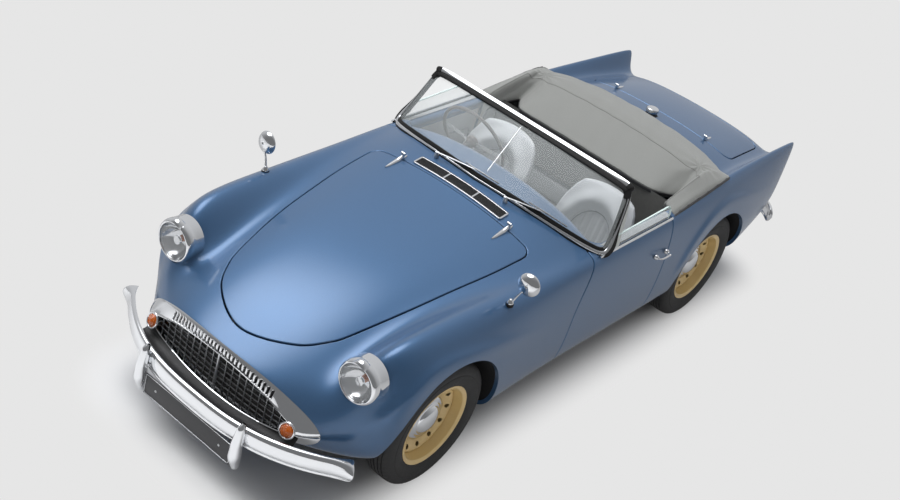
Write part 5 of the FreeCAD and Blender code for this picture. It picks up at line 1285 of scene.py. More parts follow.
def make_windscreen(sizes):
    """Bright frame with black rubber on both sides of it, curved glass, a rubber seal along its foot and
    the thin centre rod."""
    loop = screen_loop()
    away = screen_normal(loop)
    top = smooth_step(1.10, 1.145, loop[:, 2])
    foot = 1 - smooth_step(.86, .99, loop[:, 2])
    post = 1 - top - foot

    def at(t, p, f):
        return t * top + p * post + f * foot

    middle = (at(.0075, .004, .007), at(-.017, -.003, -.010))
    parts = [bar_of_bands(loop, away, middle[0], middle[1], at(.0, .0, .0), at(.013, .010, .012), 0),
             bar_of_bands(loop, away, middle[1], at(-.041, -.027, -.028), at(-.003, -.003, -.003),
                          at(.0115, .013, .009), 1),
             bar_of_bands(loop, away, at(.0092, .008, .024), middle[0], at(-.004, -.004, -.005),
                          at(.006, .006, .008), 1)]
    corner = loop[(loop[:, 0] > .592) & (loop[:, 2] > 1.085)]
    ways = away[(loop[:, 0] > .592) & (loop[:, 2] > 1.085)]
    one = np.ones(len(corner))
    cap = bar_of_bands(corner, ways, one * .0088, -.024 * one, -.003 * one, .0145 * one, 1, False)
    parts += both([cap])
    t = np.linspace(0, 1, 24)[:, None]
    front = spline(((.676, -.084, .866), (.662, -.040, .940), (.640, .010, 1.040), (.622, .040, 1.112)),
                   24)
    rear = spline(((.684, -.012, .862), (.669, .006, .935), (.645, .034, 1.035), (.624, .048, 1.112)), 24)
    fin = np.stack([front - (.002, 0, 0), rear - (.002, 0, 0), rear + (.002, 0, 0),
                    front + (.002, 0, 0)], 1)
    parts += both([capped(fin[:, ::-1], 2)])
    frame_piece = mesh_piece("windscreen_surround", parts, mats("chrome", "black_rubber", "bright_pale"),
                             stands_for=("windscreen_frame",))
    rod = np.array([(0, -.235, .960), (-.04, .04, 1.143)])
    mesh_piece("windscreen_rod", [tube(rod[0] + (rod[1] - rod[0]) * np.linspace(0, 1, 6)[:, None],
                                       sizes.rod, 16)],
               mats("chrome"))
    foot_line = spline(SCREEN_FOOT + ((.676, -.084, .872),), 90)
    head = spline(SCREEN_HEAD + ((.618, .042, 1.118),), 90)
    foot_line = np.vstack([foot_line[:0:-1] * (-1, 1, 1), foot_line])
    head = np.vstack([head[:0:-1] * (-1, 1, 1), head])
    t = np.linspace(0.012, 0.988, 20)[:, None, None]
    sheet = foot_line * (1 - t) + head * t
    swell = np.sin(np.pi * t) * (1 - (np.abs(sheet[..., :1]) / .68) ** 6)
    sheet = sheet + np.array((0, -.0060, .0095)) * swell
    glass = mesh_piece("windscreen_pane", [grid(sheet)], mats("clear_glass"),
                       stands_for=("windscreen_glass",))


def make_wipers():
    """Two bright wipers parked along the foot of the glass: spindle, tapered arm, and a blade
    carrier with its rubber."""
    foot = spline(SCREEN_FOOT, 120)
    foot = np.vstack([foot[:0:-1] * (-1, 1, 1), foot])
    parts = []

    def at(x):
        return np.array([np.interp(x, foot[:, 0], foot[:, k]) for k in range(3)])

    for spindle, first, last in ((-.237, -.080, .125), (.205, .300, .500)):
        line = np.array([at(x) for x in np.linspace(first, last, 20)]) + (0, .012, .036)
        base = at(spindle) + (0, -.034, .004)
        parts.append(lathe([(-.02, .013), (.004, .012), (.008, .009), (.016, .0085), (.022, .006),
                            (.023, .0002)], base, (0, -.3, 1), 0, 32))
        middle = line[10]
        arm = spline([base + (0, -.004, .017), base * .55 + middle * .45 + (0, -.006, .014),
                      middle + (0, -.004, .004)], 24)
        parts.append(sweep(arm, circle(.0062, 12, .55), (0, 0, 1), scale=np.linspace(1.15, .62, 24)))
        parts.append(sweep(line + (0, -.006, .003), circle(.0045, 10, 1.1), (0, 0, 1),
                           scale=np.interp(np.linspace(0, 1, 20), (0, .5, 1), (.5, 1, .5))))
        parts.append(sweep(line + (0, -.002, .000), circle(.0026, 8, 1.6), (0, 0, 1), number=1))
    wipers = mesh_piece("windscreen_wipers", parts, mats("chrome_satin", "black_rubber"),
                        stands_for=("wipers",))


# Sections of the hood's cover from the car's middle out to its left edge, front to rear.
HOOD_SECTIONS = (
    ((0, .655, .842), (0, .668, .868), (0, .800, .926), (0, .940, .973), (0, 1.030, .981),
     (0, 1.180, .955), (0, 1.272, .905)),
    ((.20, .655, .842), (.20, .668, .866), (.20, .80, .922), (.20, .94, .969), (.20, 1.03, .977),
     (.20, 1.178, .951), (.20, 1.268, .902)),
    ((.36, .655, .842), (.36, .668, .863), (.36, .80, .914), (.36, .938, .959),
     (.36, 1.027, .967), (.36, 1.168, .940), (.36, 1.258, .891)),
    ((.45, .672, .838), (.45, .684, .856), (.45, .81, .900), (.45, .935, .950), (.45, 1.02, .959),
     (.452, 1.155, .930), (.455, 1.247, .878)),
    ((.505, .740, .828), (.505, .752, .842), (.504, .85, .886), (.502, .94, .941),
     (.505, 1.015, .954), (.51, 1.145, .920), (.52, 1.230, .865)),
    ((.545, .790, .822), (.545, .796, .834), (.542, .865, .876), (.536, .945, .935),
     (.545, 1.005, .951), (.555, 1.12, .918), (.57, 1.206, .864)),
    ((.566, .650, .826), (.567, .656, .846), (.566, .770, .872), (.562, .915, .930),
     (.568, .995, .948), (.58, 1.10, .922), (.592, 1.186, .876)),
    ((.580, .585, .846), (.580, .592, .876), (.578, .750, .912), (.574, .900, .945),
     (.578, .985, .949), (.594, 1.09, .924), (.607, 1.172, .886)),
    ((.594, .568, .852), (.594, .576, .892), (.592, .740, .926), (.588, .890, .949),
     (.592, .975, .949), (.606, 1.08, .924), (.618, 1.158, .892)),
    ((.625, .556, .852), (.625, .567, .883), (.624, .735, .910), (.620, .875, .928),
     (.622, .968, .932), (.626, 1.070, .918), (.630, 1.145, .900)),
    ((.653, .550, .852), (.653, .560, .872), (.650, .73, .896), (.648, .868, .908),
     (.646, .965, .915), (.643, 1.062, .912), (.641, 1.128, .907)),
    ((.668, .553, .846), (.669, .562, .852), (.665, .73, .874), (.662, .868, .887),
     (.659, .965, .896), (.655, 1.058, .901), (.650, 1.122, .903)),
)


def hood_net():
    """Whole net of the cover: its left half and the mirrored right half."""
    half = np.array(HOOD_SECTIONS)
    return np.concatenate([half[:0:-1] * (-1, 1, 1), half])


def hood_surface(across, along):
    """Cover's surface: smooth lines through each section, then smooth lines across them. Soft
    wrinkles fan out from its corners, pulls run down from the seam and the middle sags."""
    net = hood_net()
    rows = np.array([spline(section, along) for section in net])
    columns = np.array([spline(rows[:, k], across) for k in range(along)])
    p = columns.transpose(1, 0, 2)
    x, y = p[..., 0], p[..., 1]
    v = np.linspace(0, 1, along)[None]
    free = smooth_step(0, .12, v) * (1 - smooth_step(.86, 1, v))
    side = np.abs(x)
    face = smooth_step(.08, .2, v) * (1 - smooth_step(.42, .5, v))
    lift = -.0045 * face * np.cos(x / .52 * np.pi / 2).clip(0) ** 2
    far = np.hypot(side - .53, y - .97)
    angle = np.arctan2(y - .97, side - .53)
    lift += .0026 * np.sin(angle * 9 + 1.3) * np.exp(-(far / .13) ** 2)
    lift += .0016 * np.sin(x * 23 + 2.2 * np.sin(y * 11)) * free * smooth_step(.4, .8, v)
    lift += .0011 * np.sin(x * 41 + y * 13 + np.sin(x * 7) * 2) * free
    lift += .0020 * np.exp(-((v - .93) / .03) ** 2) * np.sin(x * 62) * smooth_step(.2, .5, side)
    seam = np.exp(-((v - .475) / .004) ** 2) * (1 - smooth_step(.49, .53, side))
    return p + np.stack([0 * x, 0 * x, lift - .0028 * seam], -1)


def on_rows(p, v):
    """Line across a surface at one share of the way along its rows."""
    place = v * (p.shape[1] - 1)
    k = int(place)
    return p[:, k] * (1 - place + k) + p[:, k + 1] * (place - k)


def make_hood_cover():
    """Grey cloth cover over the folded hood: one stretched sheet with a sunk seam along its
    ridge, a bound black lower edge at the front and sides, and press studs along that edge."""
    across, along = 241, 121
    p = hood_surface(across, along)
    cover = mesh_piece("hood_cover_cloth", [grid(p, flip=True)], mats("hood_cloth"),
                       stands_for=("hood_cover",), sharp=0)
    uv = cover.data.uv_layers.new(name="UVMap")
    step = np.linalg.norm(np.diff(p, axis=1), axis=2)
    length = np.concatenate([np.zeros((across, 1)), np.cumsum(step, 1)], 1)
    wide = np.concatenate([[0], np.cumsum(np.linalg.norm(np.diff(p[:, along // 2], axis=0), axis=1))])
    flat = np.stack([np.broadcast_to(wide[:, None], length.shape), length], -1).reshape(-1, 2)
    index = np.empty(len(cover.data.loops), np.int32)
    cover.data.loops.foreach_get("vertex_index", index)
    uv.data.foreach_set("uv", flat[index].astype(np.float32).ravel())
    middle = np.abs(p[:, 0, 0]) < .545
    edge = p[middle, 0]
    flatband = rounded([(-.0035, -.010), (.0035, -.010), (.0035, .006), (-.0035, .006)], .002, 3)
    parts = [sweep(edge + (0, -.002, -.002), flatband, (0, 0, 1))]
    for side in (1, -1):
        line = p[-1] if side > 0 else p[0]
        keep = line[line[:, 1] < 1.128]
        parts.append(sweep(keep + (side * .0005, 0, -.002), flatband, (0, 0, 1)))
        tip = p[:, 0][(p[:, 0, 0] * side) >= .544]
        tip = tip if side > 0 else tip[::-1]
        parts.append(sweep(tip + (0, -.0015, -.002), flatband, (0, 0, 1)))
    band = mesh_piece("hood_cover_binding", parts, mats("trim_black"))
    studs = []
    for side in (1, -1):
        outer = p[-1] if side > 0 else p[0]
        inner = p[-2] if side > 0 else p[1]
        for y in (.60, .68, .78, .88, .98, 1.08):
            place = [np.interp(y, outer[:, 1], outer[:, k] * .3 + inner[:, k] * .7) for k in range(3)]
            place = np.array(place) + (side * .001, 0, .0015)
            studs.append(lathe([(0, .0062), (.0016, .0058), (.0026, .0036), (.0030, .0002)], place,
                               (side * .75, 0, .66), 0, 20))
    snaps = mesh_piece("hood_cover_studs", studs, mats("trim_black"))
    ridge = np.abs(p[:, 0, 0] - .594).argmin()
    line = on_rows(p, .475)
    arm = p[ridge, int(.04 * along):int(.475 * along)]
    across_line = line[np.abs(line[:, 0]) < abs(p[ridge, 0, 0])][::-1]
    seam = np.vstack([arm, across_line, arm[::-1] * (-1, 1, 1)])
    stitched = mesh_piece("hood_cover_seam", [tube(seam + (0, 0, .0012), .0016, 8)],
                          mats("hood_seam"))
    a, b = np.meshgrid(np.linspace(-.60, .60, 40), np.linspace(0, 1, 10), indexing="ij")
    well = grid(np.stack([a, .665 + b * .03, .842 - b * .26], 2), flip=True)
    piece = mesh_piece("hood_well_lining", [well], mats("hood_seam"))


# How square a cushion's outline is: the power of its superellipse.
SEAT_POWER = 3.4


def pillow(place, relief=None, power=SEAT_POWER, corner=0.3, count=(96, 96), number=0):
    """Closed cushion form. Two faces over a square of parameters meet at a rounded rim. Both
    heights are the root of (1 - |a| to a power) times (1 - |b| to that power), the corners draw
    in, and place takes the local shares (across, along, through) to the car."""
    a, b = np.meshgrid(np.sin(np.linspace(-1, 1, count[0]) * np.pi / 2),
                       np.sin(np.linspace(-1, 1, count[1]) * np.pi / 2), indexing="ij")
    x = a * np.sqrt(1 - corner * b ** 2 / 2 * np.abs(a) ** 2)
    y = b * np.sqrt(1 - corner * a ** 2 / 2 * np.abs(b) ** 2)
    rise = (np.clip(1 - np.abs(a) ** power, 0, 1) * np.clip(1 - np.abs(b) ** power, 0, 1)) ** (1 / power)
    lift = rise if relief is None else rise + relief(x, y) * rise
    top, low = place(x, y, lift), place(x, y, -rise)
    rows, cols = a.shape
    index = np.arange(rows * cols).reshape(rows, cols)
    under = index + rows * cols
    rim = np.ones((rows, cols), bool)
    rim[1:-1, 1:-1] = False
    under[rim] = index[rim]
    faces = grid_faces(rows, cols)
    both_sides = np.vstack([faces, under.ravel()[faces][:, ::-1]])
    used, faces = np.unique(both_sides, return_inverse=True)
    points = np.concatenate([top.reshape(-1, 3), low.reshape(-1, 3)])[used]
    return points, faces.reshape(-1, 4), number


def flutes(x, low, high, pitch, depth):
    """Sewn channels: round between seams one pitch apart, between two places across."""
    inside = smooth_step(low - .02, low, x) * (1 - smooth_step(high, high + .02, x))
    return inside * depth * (np.abs(np.sin(np.pi * (x - low) / pitch)) ** 0.6 - 1)


def seat_cushion(x, y, w):
    """Cushion's place: it rises to the front, its bolsters stand up at both sides."""
    side = smooth_step(.60, .88, np.abs(x))
    top = np.clip(w, 0, None)
    return np.stack([SEAT_X + x * SEAT_HALF_WIDTH, .172 + y * .190,
                     .345 + w * .072 + top * (.010 * side - .008 + .010 * (y < 0) * y * y)], -1)


def cushion_relief(x, y):
    centre = (1 - smooth_step(.50, .56, np.abs(x)))
    ridges = flutes(x, -.5, .5, 1 / 6, .09) * smooth_step(-.80, -.70, y)
    return ridges - .10 * centre - .16 * np.exp(-((np.abs(x) - .54) / .02) ** 2) \
        - .05 * np.exp(-((y + .72) / .03) ** 2) * centre + .012 * np.sin(x * 9 + y * 7) * np.sin(y * 11)


SEAT_X = .332
SEAT_HALF_WIDTH = .219
# Backrest: shares of its height, then its width and the place of its back at each.
BACK_LEVELS = (0, .20, .42, .62, .78, .90, 1.0)
BACK_WIDTH = (.84, .97, 1.0, 1.01, .98, .89, .72)
BACK_HEIGHT = .565
ARCH = .02
BACK_REAR = (0, .02, .16, .36, .50, .57, .60)


def seat_back(x, y, w):
    """Backrest's place: it leans, wraps forward round the sitter and narrows to its top."""
    level = np.clip((y + 1) / 2, 0, 1)
    wide = SEAT_HALF_WIDTH * np.interp(level, BACK_LEVELS, BACK_WIDTH)
    rear = .47 + .11 * np.interp(level, BACK_LEVELS, BACK_REAR)
    bow = .11 * np.interp(level, (0, .2, .45, .7, .9, 1), (.45, .80, .95, .80, .45, .2))
    across = np.abs(x)
    half = .052 - .014 * across ** 3 - .012 * smooth_step(.8, 1, level)
    around = np.hypot(x, np.clip(y - .05, 0, None) * 1.02)
    around = np.where(y < .05, across, around)
    bolster = .036 * np.exp(-((around - .77) / .17) ** 2) * (w > 0) * smooth_step(.0, .15, level)
    return np.stack([SEAT_X + x * wide, rear - .055 - bow * across ** 2.4 - w * (half + bolster),
                     .275 + level * BACK_HEIGHT], -1)


def back_panel_edge(x, y):
    """How far a place lies inside the arched centre panel, in shares of the seat's half width."""
    arch = .56 - np.hypot(x, np.clip(y - ARCH, 0, None) * 1.15)
    return np.where(y < ARCH, .56 - np.abs(x), arch)


def back_relief(x, y):
    inside = back_panel_edge(x, y)
    panel = smooth_step(-.03, .03, inside)
    channel = np.abs(np.sin(np.pi * (x + .5) * 6)) ** 0.6 - 1
    ridges = panel * .20 * channel * smooth_step(.02, .12, inside)
    seam = np.exp(-(inside / .022) ** 2)
    crease = np.exp(-((np.abs(x) - .80) / .3) ** 2) * .03 * np.sin(y * 13 + x * 4)
    return ridges - .22 * panel - .20 * seam + crease


def make_seats(sizes):
    """Two leather bucket seats: fluted cushion, wrapped and fluted back, piped seams, a base."""
    piping = []
    a = np.linspace(-.93, .93, 90)
    rise = np.clip(1 - np.abs(a) ** SEAT_POWER, 0, 1) ** (1 / SEAT_POWER)
    for x in (-.54, .54):
        shrink = (1 - abs(x) ** SEAT_POWER) ** (1 / SEAT_POWER)
        w = rise * shrink * (1 + cushion_relief(np.full(90, x), a)) + .05
        piping.append(tube(seat_cushion(np.full(90, x), a, w), sizes.piping, 10))
    turn = np.linspace(0, np.pi, 60)
    px = np.concatenate([np.full(30, .56), .56 * np.cos(turn), np.full(30, -.56)])
    py = np.concatenate([np.linspace(-.80, ARCH, 30), ARCH + .56 * np.sin(turn) / 1.15,
                         np.linspace(ARCH, -.80, 30)])
    w = np.clip(1 - np.abs(px) ** SEAT_POWER, 0, 1) * np.clip(1 - np.abs(py) ** SEAT_POWER, 0, 1)
    w = w ** (1 / SEAT_POWER)
    line = seat_back(px, py, w * (1 + back_relief(px, py)) + .07)
    piping.append(tube(line, sizes.piping, 10, up=(0, -1, 0)))
    turn = np.linspace(-.25 * np.pi, 1.25 * np.pi, 160)
    cx, sy = np.cos(turn), np.sin(turn)
    px = np.sign(cx) * np.abs(cx) ** .55 * .965
    py = np.sign(sy) * np.abs(sy) ** .55 * .965
    px = px * np.sqrt(1 - .15 * py ** 2 * np.abs(px) ** 2)
    py = py * np.sqrt(1 - .15 * px ** 2 * np.abs(py) ** 2)
    rim = seat_back(px, py, np.full(160, .30))
    piping.append(tube(rim, sizes.piping, 10, up=(0, -1, 0)))
    turn = np.linspace(0, 2 * np.pi, 200, endpoint=False)
    cx, sy = np.cos(turn), np.sin(turn)
    px, py = (np.sign(v) * np.abs(v) ** .42 * .975 for v in (cx, sy))
    px, py = px * np.sqrt(1 - .15 * py ** 2), py * np.sqrt(1 - .15 * px ** 2)
    piping.append(tube(seat_cushion(px, py, np.full(200, .34)), sizes.piping, 10, closed=True))
    base = [block((SEAT_X - .15, .04, .2455), (SEAT_X + .15, .30, .30), .01)]
    for name, side in (("left", 1), ("right", -1)):
        node_name = "seat_" + name
        cushion = mesh_piece("seat_cushion_" + name,
                             on_side([pillow(seat_cushion, cushion_relief, count=(112, 84))], side),
                             mats("leather_grey"), stands_for=(node_name,), sharp=0)
        back = mesh_piece("seat_back_" + name,
                          on_side([pillow(seat_back, back_relief, count=(106, 106))], side),
                          mats("leather_grey"), stands_for=(node_name,), sharp=0)
        trim = mesh_piece("seat_piping_" + name, on_side(piping, side), mats("piping_dark"))
        foot = mesh_piece("seat_base_" + name, on_side(base, side), mats("trim_black"))


def make_rear_seat():
    """Occasional rear seat: a low cushion and an upright squab with upright flutes."""
    def cushion(x, y, w):
        return np.stack([x * .428, .852 + y * .150, .488 + w * .066], -1)

    def squab(x, y, w):
        return np.stack([x * .428, 1.008 - w * .052, .60 + y * .178], -1)

    def relief(x, y):
        return flutes(x, -.84, .84, .14, .10) * (np.abs(y) < .9) + .01 * np.sin(7 * x) * np.sin(5 * y)

    for name, place in (("cushion", cushion), ("squab", squab)):
        piece = mesh_piece("rear_seat_" + name, [pillow(place, relief, 6, count=(130, 40))],
                           mats("leather_side"), stands_for=("rear_seat",), sharp=0)


def skin_heights(skin, x, y):
    """Height of the body's top at places in plan, from the nearest points of its upper skin."""
    top = (skin.points[:, 2] > .6) & (np.abs(skin.points[:, 1] - np.mean(y)) < .5)
    p = skin.points[top]
    out = []
    for a, b in zip(np.ravel(x), np.ravel(y)):
        near = np.hypot(p[:, 0] - a, p[:, 1] - b)
        out.append(p[near.argmin(), 2])
    return np.reshape(out, np.shape(x))


DASH_FACE = -.108


def make_dash(skin):
    """Painted dash: a rolled rail along the cockpit's front edge, a face below it, instruments
    before the driver, a glove box lid and a lower lip."""
    x = np.linspace(-.606, .606, 61)
    edge = np.full(61, -.158)
    top = skin_heights(skin, x, edge) - .006
    top = evened(top, 3)
    section = ((-.168, -.002), (-.150, .0005), (-.132, -.001), (-.112, -.008), (-.098, -.022),
               (-.096, -.036), (-.104, -.050), (-.112, -.066), (-.112, -.130), (-.110, -.200),
               (-.112, -.245), (-.122, -.256), (-.136, -.252))
    line = spline([(y, z) for y, z in section], 60)
    p = np.stack([np.broadcast_to(x[:, None], (61, 60)), np.broadcast_to(line[:, 0], (61, 60)),
                  top[:, None] + line[:, 1]], -1)
    p[..., 2] = np.maximum(p[..., 2], .612)
    dash = mesh_piece("dash_panel", [grid(p, flip=True)], mats("paint_blue"),
                      stands_for=("dashboard",))
    parts = []
    for cx, cz, r in ((-.352, .80, .048), (-.235, .80, .048), (-.150, .815, .026), (-.150, .755, .026),
                      (-.455, .80, .026)):
        parts.append(lathe([(-.004, r), (.004, r), (.006, r * .95), (.005, r * .9)], (cx, DASH_FACE, cz),
                           (0, 1, 0), 0, 48))
        parts.append(lathe([(.003, r * .92), (.0035, r * .5), (.004, .0002)], (cx, DASH_FACE, cz),
                           (0, 1, 0), 1, 48))
        parts.append(lathe([(.004, .004), (.007, .0035), (.008, .0002)], (cx, DASH_FACE, cz), (0, 1, 0), 0,
                           16))
        turn = np.array((-.6, .5)) * r * .7
        parts.append(tube(np.array([(cx, -.101, cz), (cx + turn[0], -.101, cz + turn[1])]), .0009, 6,
                          up=(0, 1, 0)))
    for k in range(4):
        parts.append(lathe([(0, .006), (.012, .006), (.014, .0085), (.022, .0085), (.024, .0002)],
                           (-.06 + k * .032, DASH_FACE, .76), (0, 1, 0), 0, 20))
    lid = [(.20, .70), (.50, .70), (.50, .81), (.20, .81)]
    loop = rounded(lid, .016, 6)
    parts.append(sweep(at_depth(loop, -.1095), circle(.0018, 8), (0, 1, 0), number=1, closed=True))
    parts.append(lathe([(0, .010), (.008, .010), (.012, .007), (.013, .0002)], (.35, -.110, .79),
                       (0, 1, 0), 0, 24))
    dials = mesh_piece("dash_instruments", parts, mats("chrome", "dial_black"))


WHEEL_RAKE = 24
WHEEL_RADIUS = .202


def make_steering_wheel():
    """Thin-rimmed wheel with three flat sprung spokes and a domed centre, on its raked column."""
    rake = math.radians(WHEEL_RAKE)
    axis = np.array((0, math.cos(rake), math.sin(rake)))
    centre = np.array((-.352, .135, .838))
    up = np.array((0, -math.sin(rake), math.cos(rake)))
    across = np.array((1.0, 0, 0))
    turn = np.linspace(0, 2 * np.pi, 160, endpoint=False)
    ring = centre + WHEEL_RADIUS * (np.cos(turn)[:, None] * across + np.sin(turn)[:, None] * up)
    grip = .0092 + .0007 * np.cos(turn * 72)
    parts = [sweep(ring, circle(1, 16), axis, scale=grip, closed=True)]
    for angle in (0, 90, 180):
        a = math.radians(angle)
        way = math.cos(a) * across - math.sin(a) * up
        side = np.cross(axis, way)
        for offset in (-.011, 0, .011):
            s = np.linspace(.020, .198, 16)[:, None]
            line = centre + way * s + side * offset + axis * (-.022 * (1 - s / .2) ** 2)
            parts.append(sweep(line, circle(.0022, 8), axis, number=1))
    hub = [(-.034, .024), (-.02, .030), (-.010, .036), (.002, .036), (.008, .032), (.012, .022),
           (.014, .010), (.0145, .0003)]
    parts.append(lathe(spline(hub, 30), centre + axis * -.004, axis, 0, 48))
    parts.append(lathe([(.0105, .018), (.0135, .0165), (.0155, .009), (.016, .0002)],
                       centre + axis * -.002, axis, 1, 40))
    wheel = mesh_piece("steering_wheel_rim", parts, mats("wheel_grip", "chrome_satin"), "wheel_at_driver",
                       ("steering_wheel",))


CASING_FOOT = .30


def make_door_trims(skin):
    """Door caps, the flat inner casing with its piped and ribbed panel, handle and winder."""
    for side, name in ((1, "left"), (-1, "right")):
        y = np.linspace(-.155, .514, 40)
        sel = np.abs(skin.values["cockpit"]) < 2e-3
        p = skin.points[sel & (skin.points[:, 0] > 0)]
        top = np.array([p[np.abs(p[:, 1] - v).argmin()] for v in y])
        z = evened(top[:, 2], 3)
        section = ((.640, -.006), (.627, -.004), (.615, -.008), (.606, -.018), (.604, -.030),
                   (.608, -.045), (.610, -.060))
        line = spline(section, 24)
        cap = np.stack([np.broadcast_to(line[:, 0], (40, 24)), np.broadcast_to(y[:, None], (40, 24)),
                        z[:, None] + line[:, 1]], -1)
        t = np.linspace(0, 1, 30)
        face = np.stack([np.full((40, 30), .610) - .006 * np.sin(np.pi * t)[None] ** .4,
                         np.broadcast_to(y[:, None], (40, 30)),
                         (z - .060)[:, None] * (1 - t) + CASING_FOOT * t], -1)
        parts = [grid(cap, flip=False), grid(face, number=1)]
        loop = rounded([(-.11, .38), (.47, .38), (.47, .70), (-.11, .70)], .04, 8)
        parts.append(sweep(at_side(loop, .6045), circle(.0028, 8), (1, 0, 0), number=2, closed=True))
        for yy in np.linspace(-.02, .44, 9):
            rib = np.stack([np.full(12, .6052), np.full(12, yy), np.linspace(.40, .66, 12)], 1)
            parts.append(sweep(rib, circle(.003, 8, .5), (1, 0, 0), number=1))
        parts.append(lathe([(0, .022), (.006, .020), (.010, .010), (.020, .008), (.021, .0002)],
                           (.606, .02, .62), (-1, 0, 0), 3, 28))
        parts.append(tube(np.array([(.588, .02, .62), (.584, -.02, .60), (.584, -.06, .585)]), .0045,
                          10, number=3))
        parts.append(lathe([(0, .018), (.006, .017), (.010, .008), (.022, .007), (.023, .0002)],
                           (.606, .20, .56), (-1, 0, 0), 3, 28))
        parts.append(tube(np.array([(.586, .20, .56), (.584, .23, .52), (.584, .245, .49)]), .0045, 10,
                          number=3))
        made = on_side(parts, side)
        piece = mesh_piece("door_casing_" + name, made,
                           mats("paint_blue", "leather_side", "piping_dark", "chrome"),
                           name + "_door")


def make_cabin():
    """Carpets and side casings: footwell carpets, rear side panels, and the gear lever."""
    parts = []
    y = np.linspace(.54, 1.12, 24)
    z = np.linspace(.26, .84, 20)
    a, b = np.meshgrid(y, z, indexing="ij")
    x = .604 - .10 * smooth_step(.80, 1.12, a)
    side = np.stack([x, a, b], -1)
    parts.append(grid(side, number=0, flip=False))
    loop = rounded([(.58, .47), (.92, .47), (.92, .78), (.58, .78)], .03, 6)
    parts.append(sweep(at_side(loop, .602), circle(.0028, 8), (1, 0, 0), number=1, closed=True))
    piece = mesh_piece("rear_side_casings", both(parts), mats("leather_side", "piping_dark"))
    carpet = block((.115, -.36, .2452), (.575, .62, .2485), .0015)
    lever = [tube(spline([(-.05, .02, .405), (-.05, .03, .47), (-.055, .06, .53)], 16), .0055, 12,
                  number=1),
             lathe([(-.014, .0002), (-.012, .009), (-.004, .0145), (.006, .014), (.014, .0002)],
                   (-.055, .065, .54), (0, .3, 1), 2, 24),
             lathe([(0, .05), (.006, .046), (.018, .030), (.030, .016), (.032, .006)],
                   (-.05, .018, .4035), (0, 0, 1), 2, 28)]
    piece = mesh_piece("cabin_carpets", both([carpet]) + lever,
                       mats("carpet_grey", "chrome", "trim_black"))


def make_door_glass():
    """Half-raised panes with a bright edge, and a bright rail along each pane's top."""
    corner = ((-.083, .800), (.477, .800), (.477, .900), (.440, .9475), (-.036, .9275))
    loop = rounded(corner, (.004, .004, .020, .030, .012), 8)
    centre = loop.mean(0)
    t = np.linspace(0.02, 1, 12)[:, None, None]
    for side, name in ((1, "left"), (-1, "right")):
        rows = []
        for depth in (.6683, .6725):
            flat = centre + (loop - centre) * t
            rows.append(np.concatenate([np.full(flat.shape[:2] + (1,), depth), flat], -1))
        pane = [grid(rows[0], False, True, flip=True), grid(rows[1], False, True)]
        edge = np.stack([rows[0][-1], rows[1][-1]])
        pane.append(grid(edge, False, True, 1, flip=True))
        run = rounded(corner, (.004, .004, .020, .030, .012), 12)
        keep = (run[:, 1] > .83) & (run[:, 0] > -.062)
        line = run[keep]
        line = line[np.argsort(line[:, 0] - np.where(line[:, 0] > .45, line[:, 1] - .9, 0))]
        rail = at_side(line, .6704)
        pane.append(sweep(rail, rounded([(-.004, -.0036), (.004, -.0036), (.004, .0036),
                                         (-.004, .0036)], .0015, 3),
                          (1, 0, 0), number=1))
        made = on_side(pane, side)
        piece = mesh_piece("door_pane_" + name, made, mats("clear_glass", "glass_edge"), name + "_door",
                           ("door_glass_" + name,))


def make_door_strips(skin):
    for side, name in ((1, "left"), (-1, "right")):
        y = np.linspace(-.150, .512, 60)
        z = skin_heights(skin, np.full(60, .668), y)
        z = evened(z, 4)
        outer = np.column_stack([np.full(60, .6800), y, z + .0005])
        inner = np.column_stack([np.full(60, .6610), y, z + .002])
        parts = [sweep(outer, rounded([(-.0055, -.003), (.0055, -.003), (.004, .007), (-.004, .007)],
                                      .002, 4),
                       number=0),
                 sweep(outer - (.0065, 0, -.0005),
                       rounded([(-.003, -.004), (.003, -.004), (.002, .0055), (-.002, .0055)],
                                                         .0015, 3), number=1),
                 sweep(inner, rounded([(-.004, -.004), (.004, -.004), (.003, .005), (-.003, .005)],
                                      .002, 4),
                       number=1)]
        a, b = np.meshgrid(np.linspace(.626, .662, 6), np.linspace(-.150, .512, 60), indexing="ij")
        height = np.array([skin_heights(skin, row, b[0]) for row in a])
        parts.append(grid(np.stack([a, b, height + .0025], 2), flip=True, number=2))
        made = on_side(parts, side)
        piece = mesh_piece("door_waist_strips_" + name, made,
                           mats("chrome", "black_rubber", "leather_side"), name + "_door")


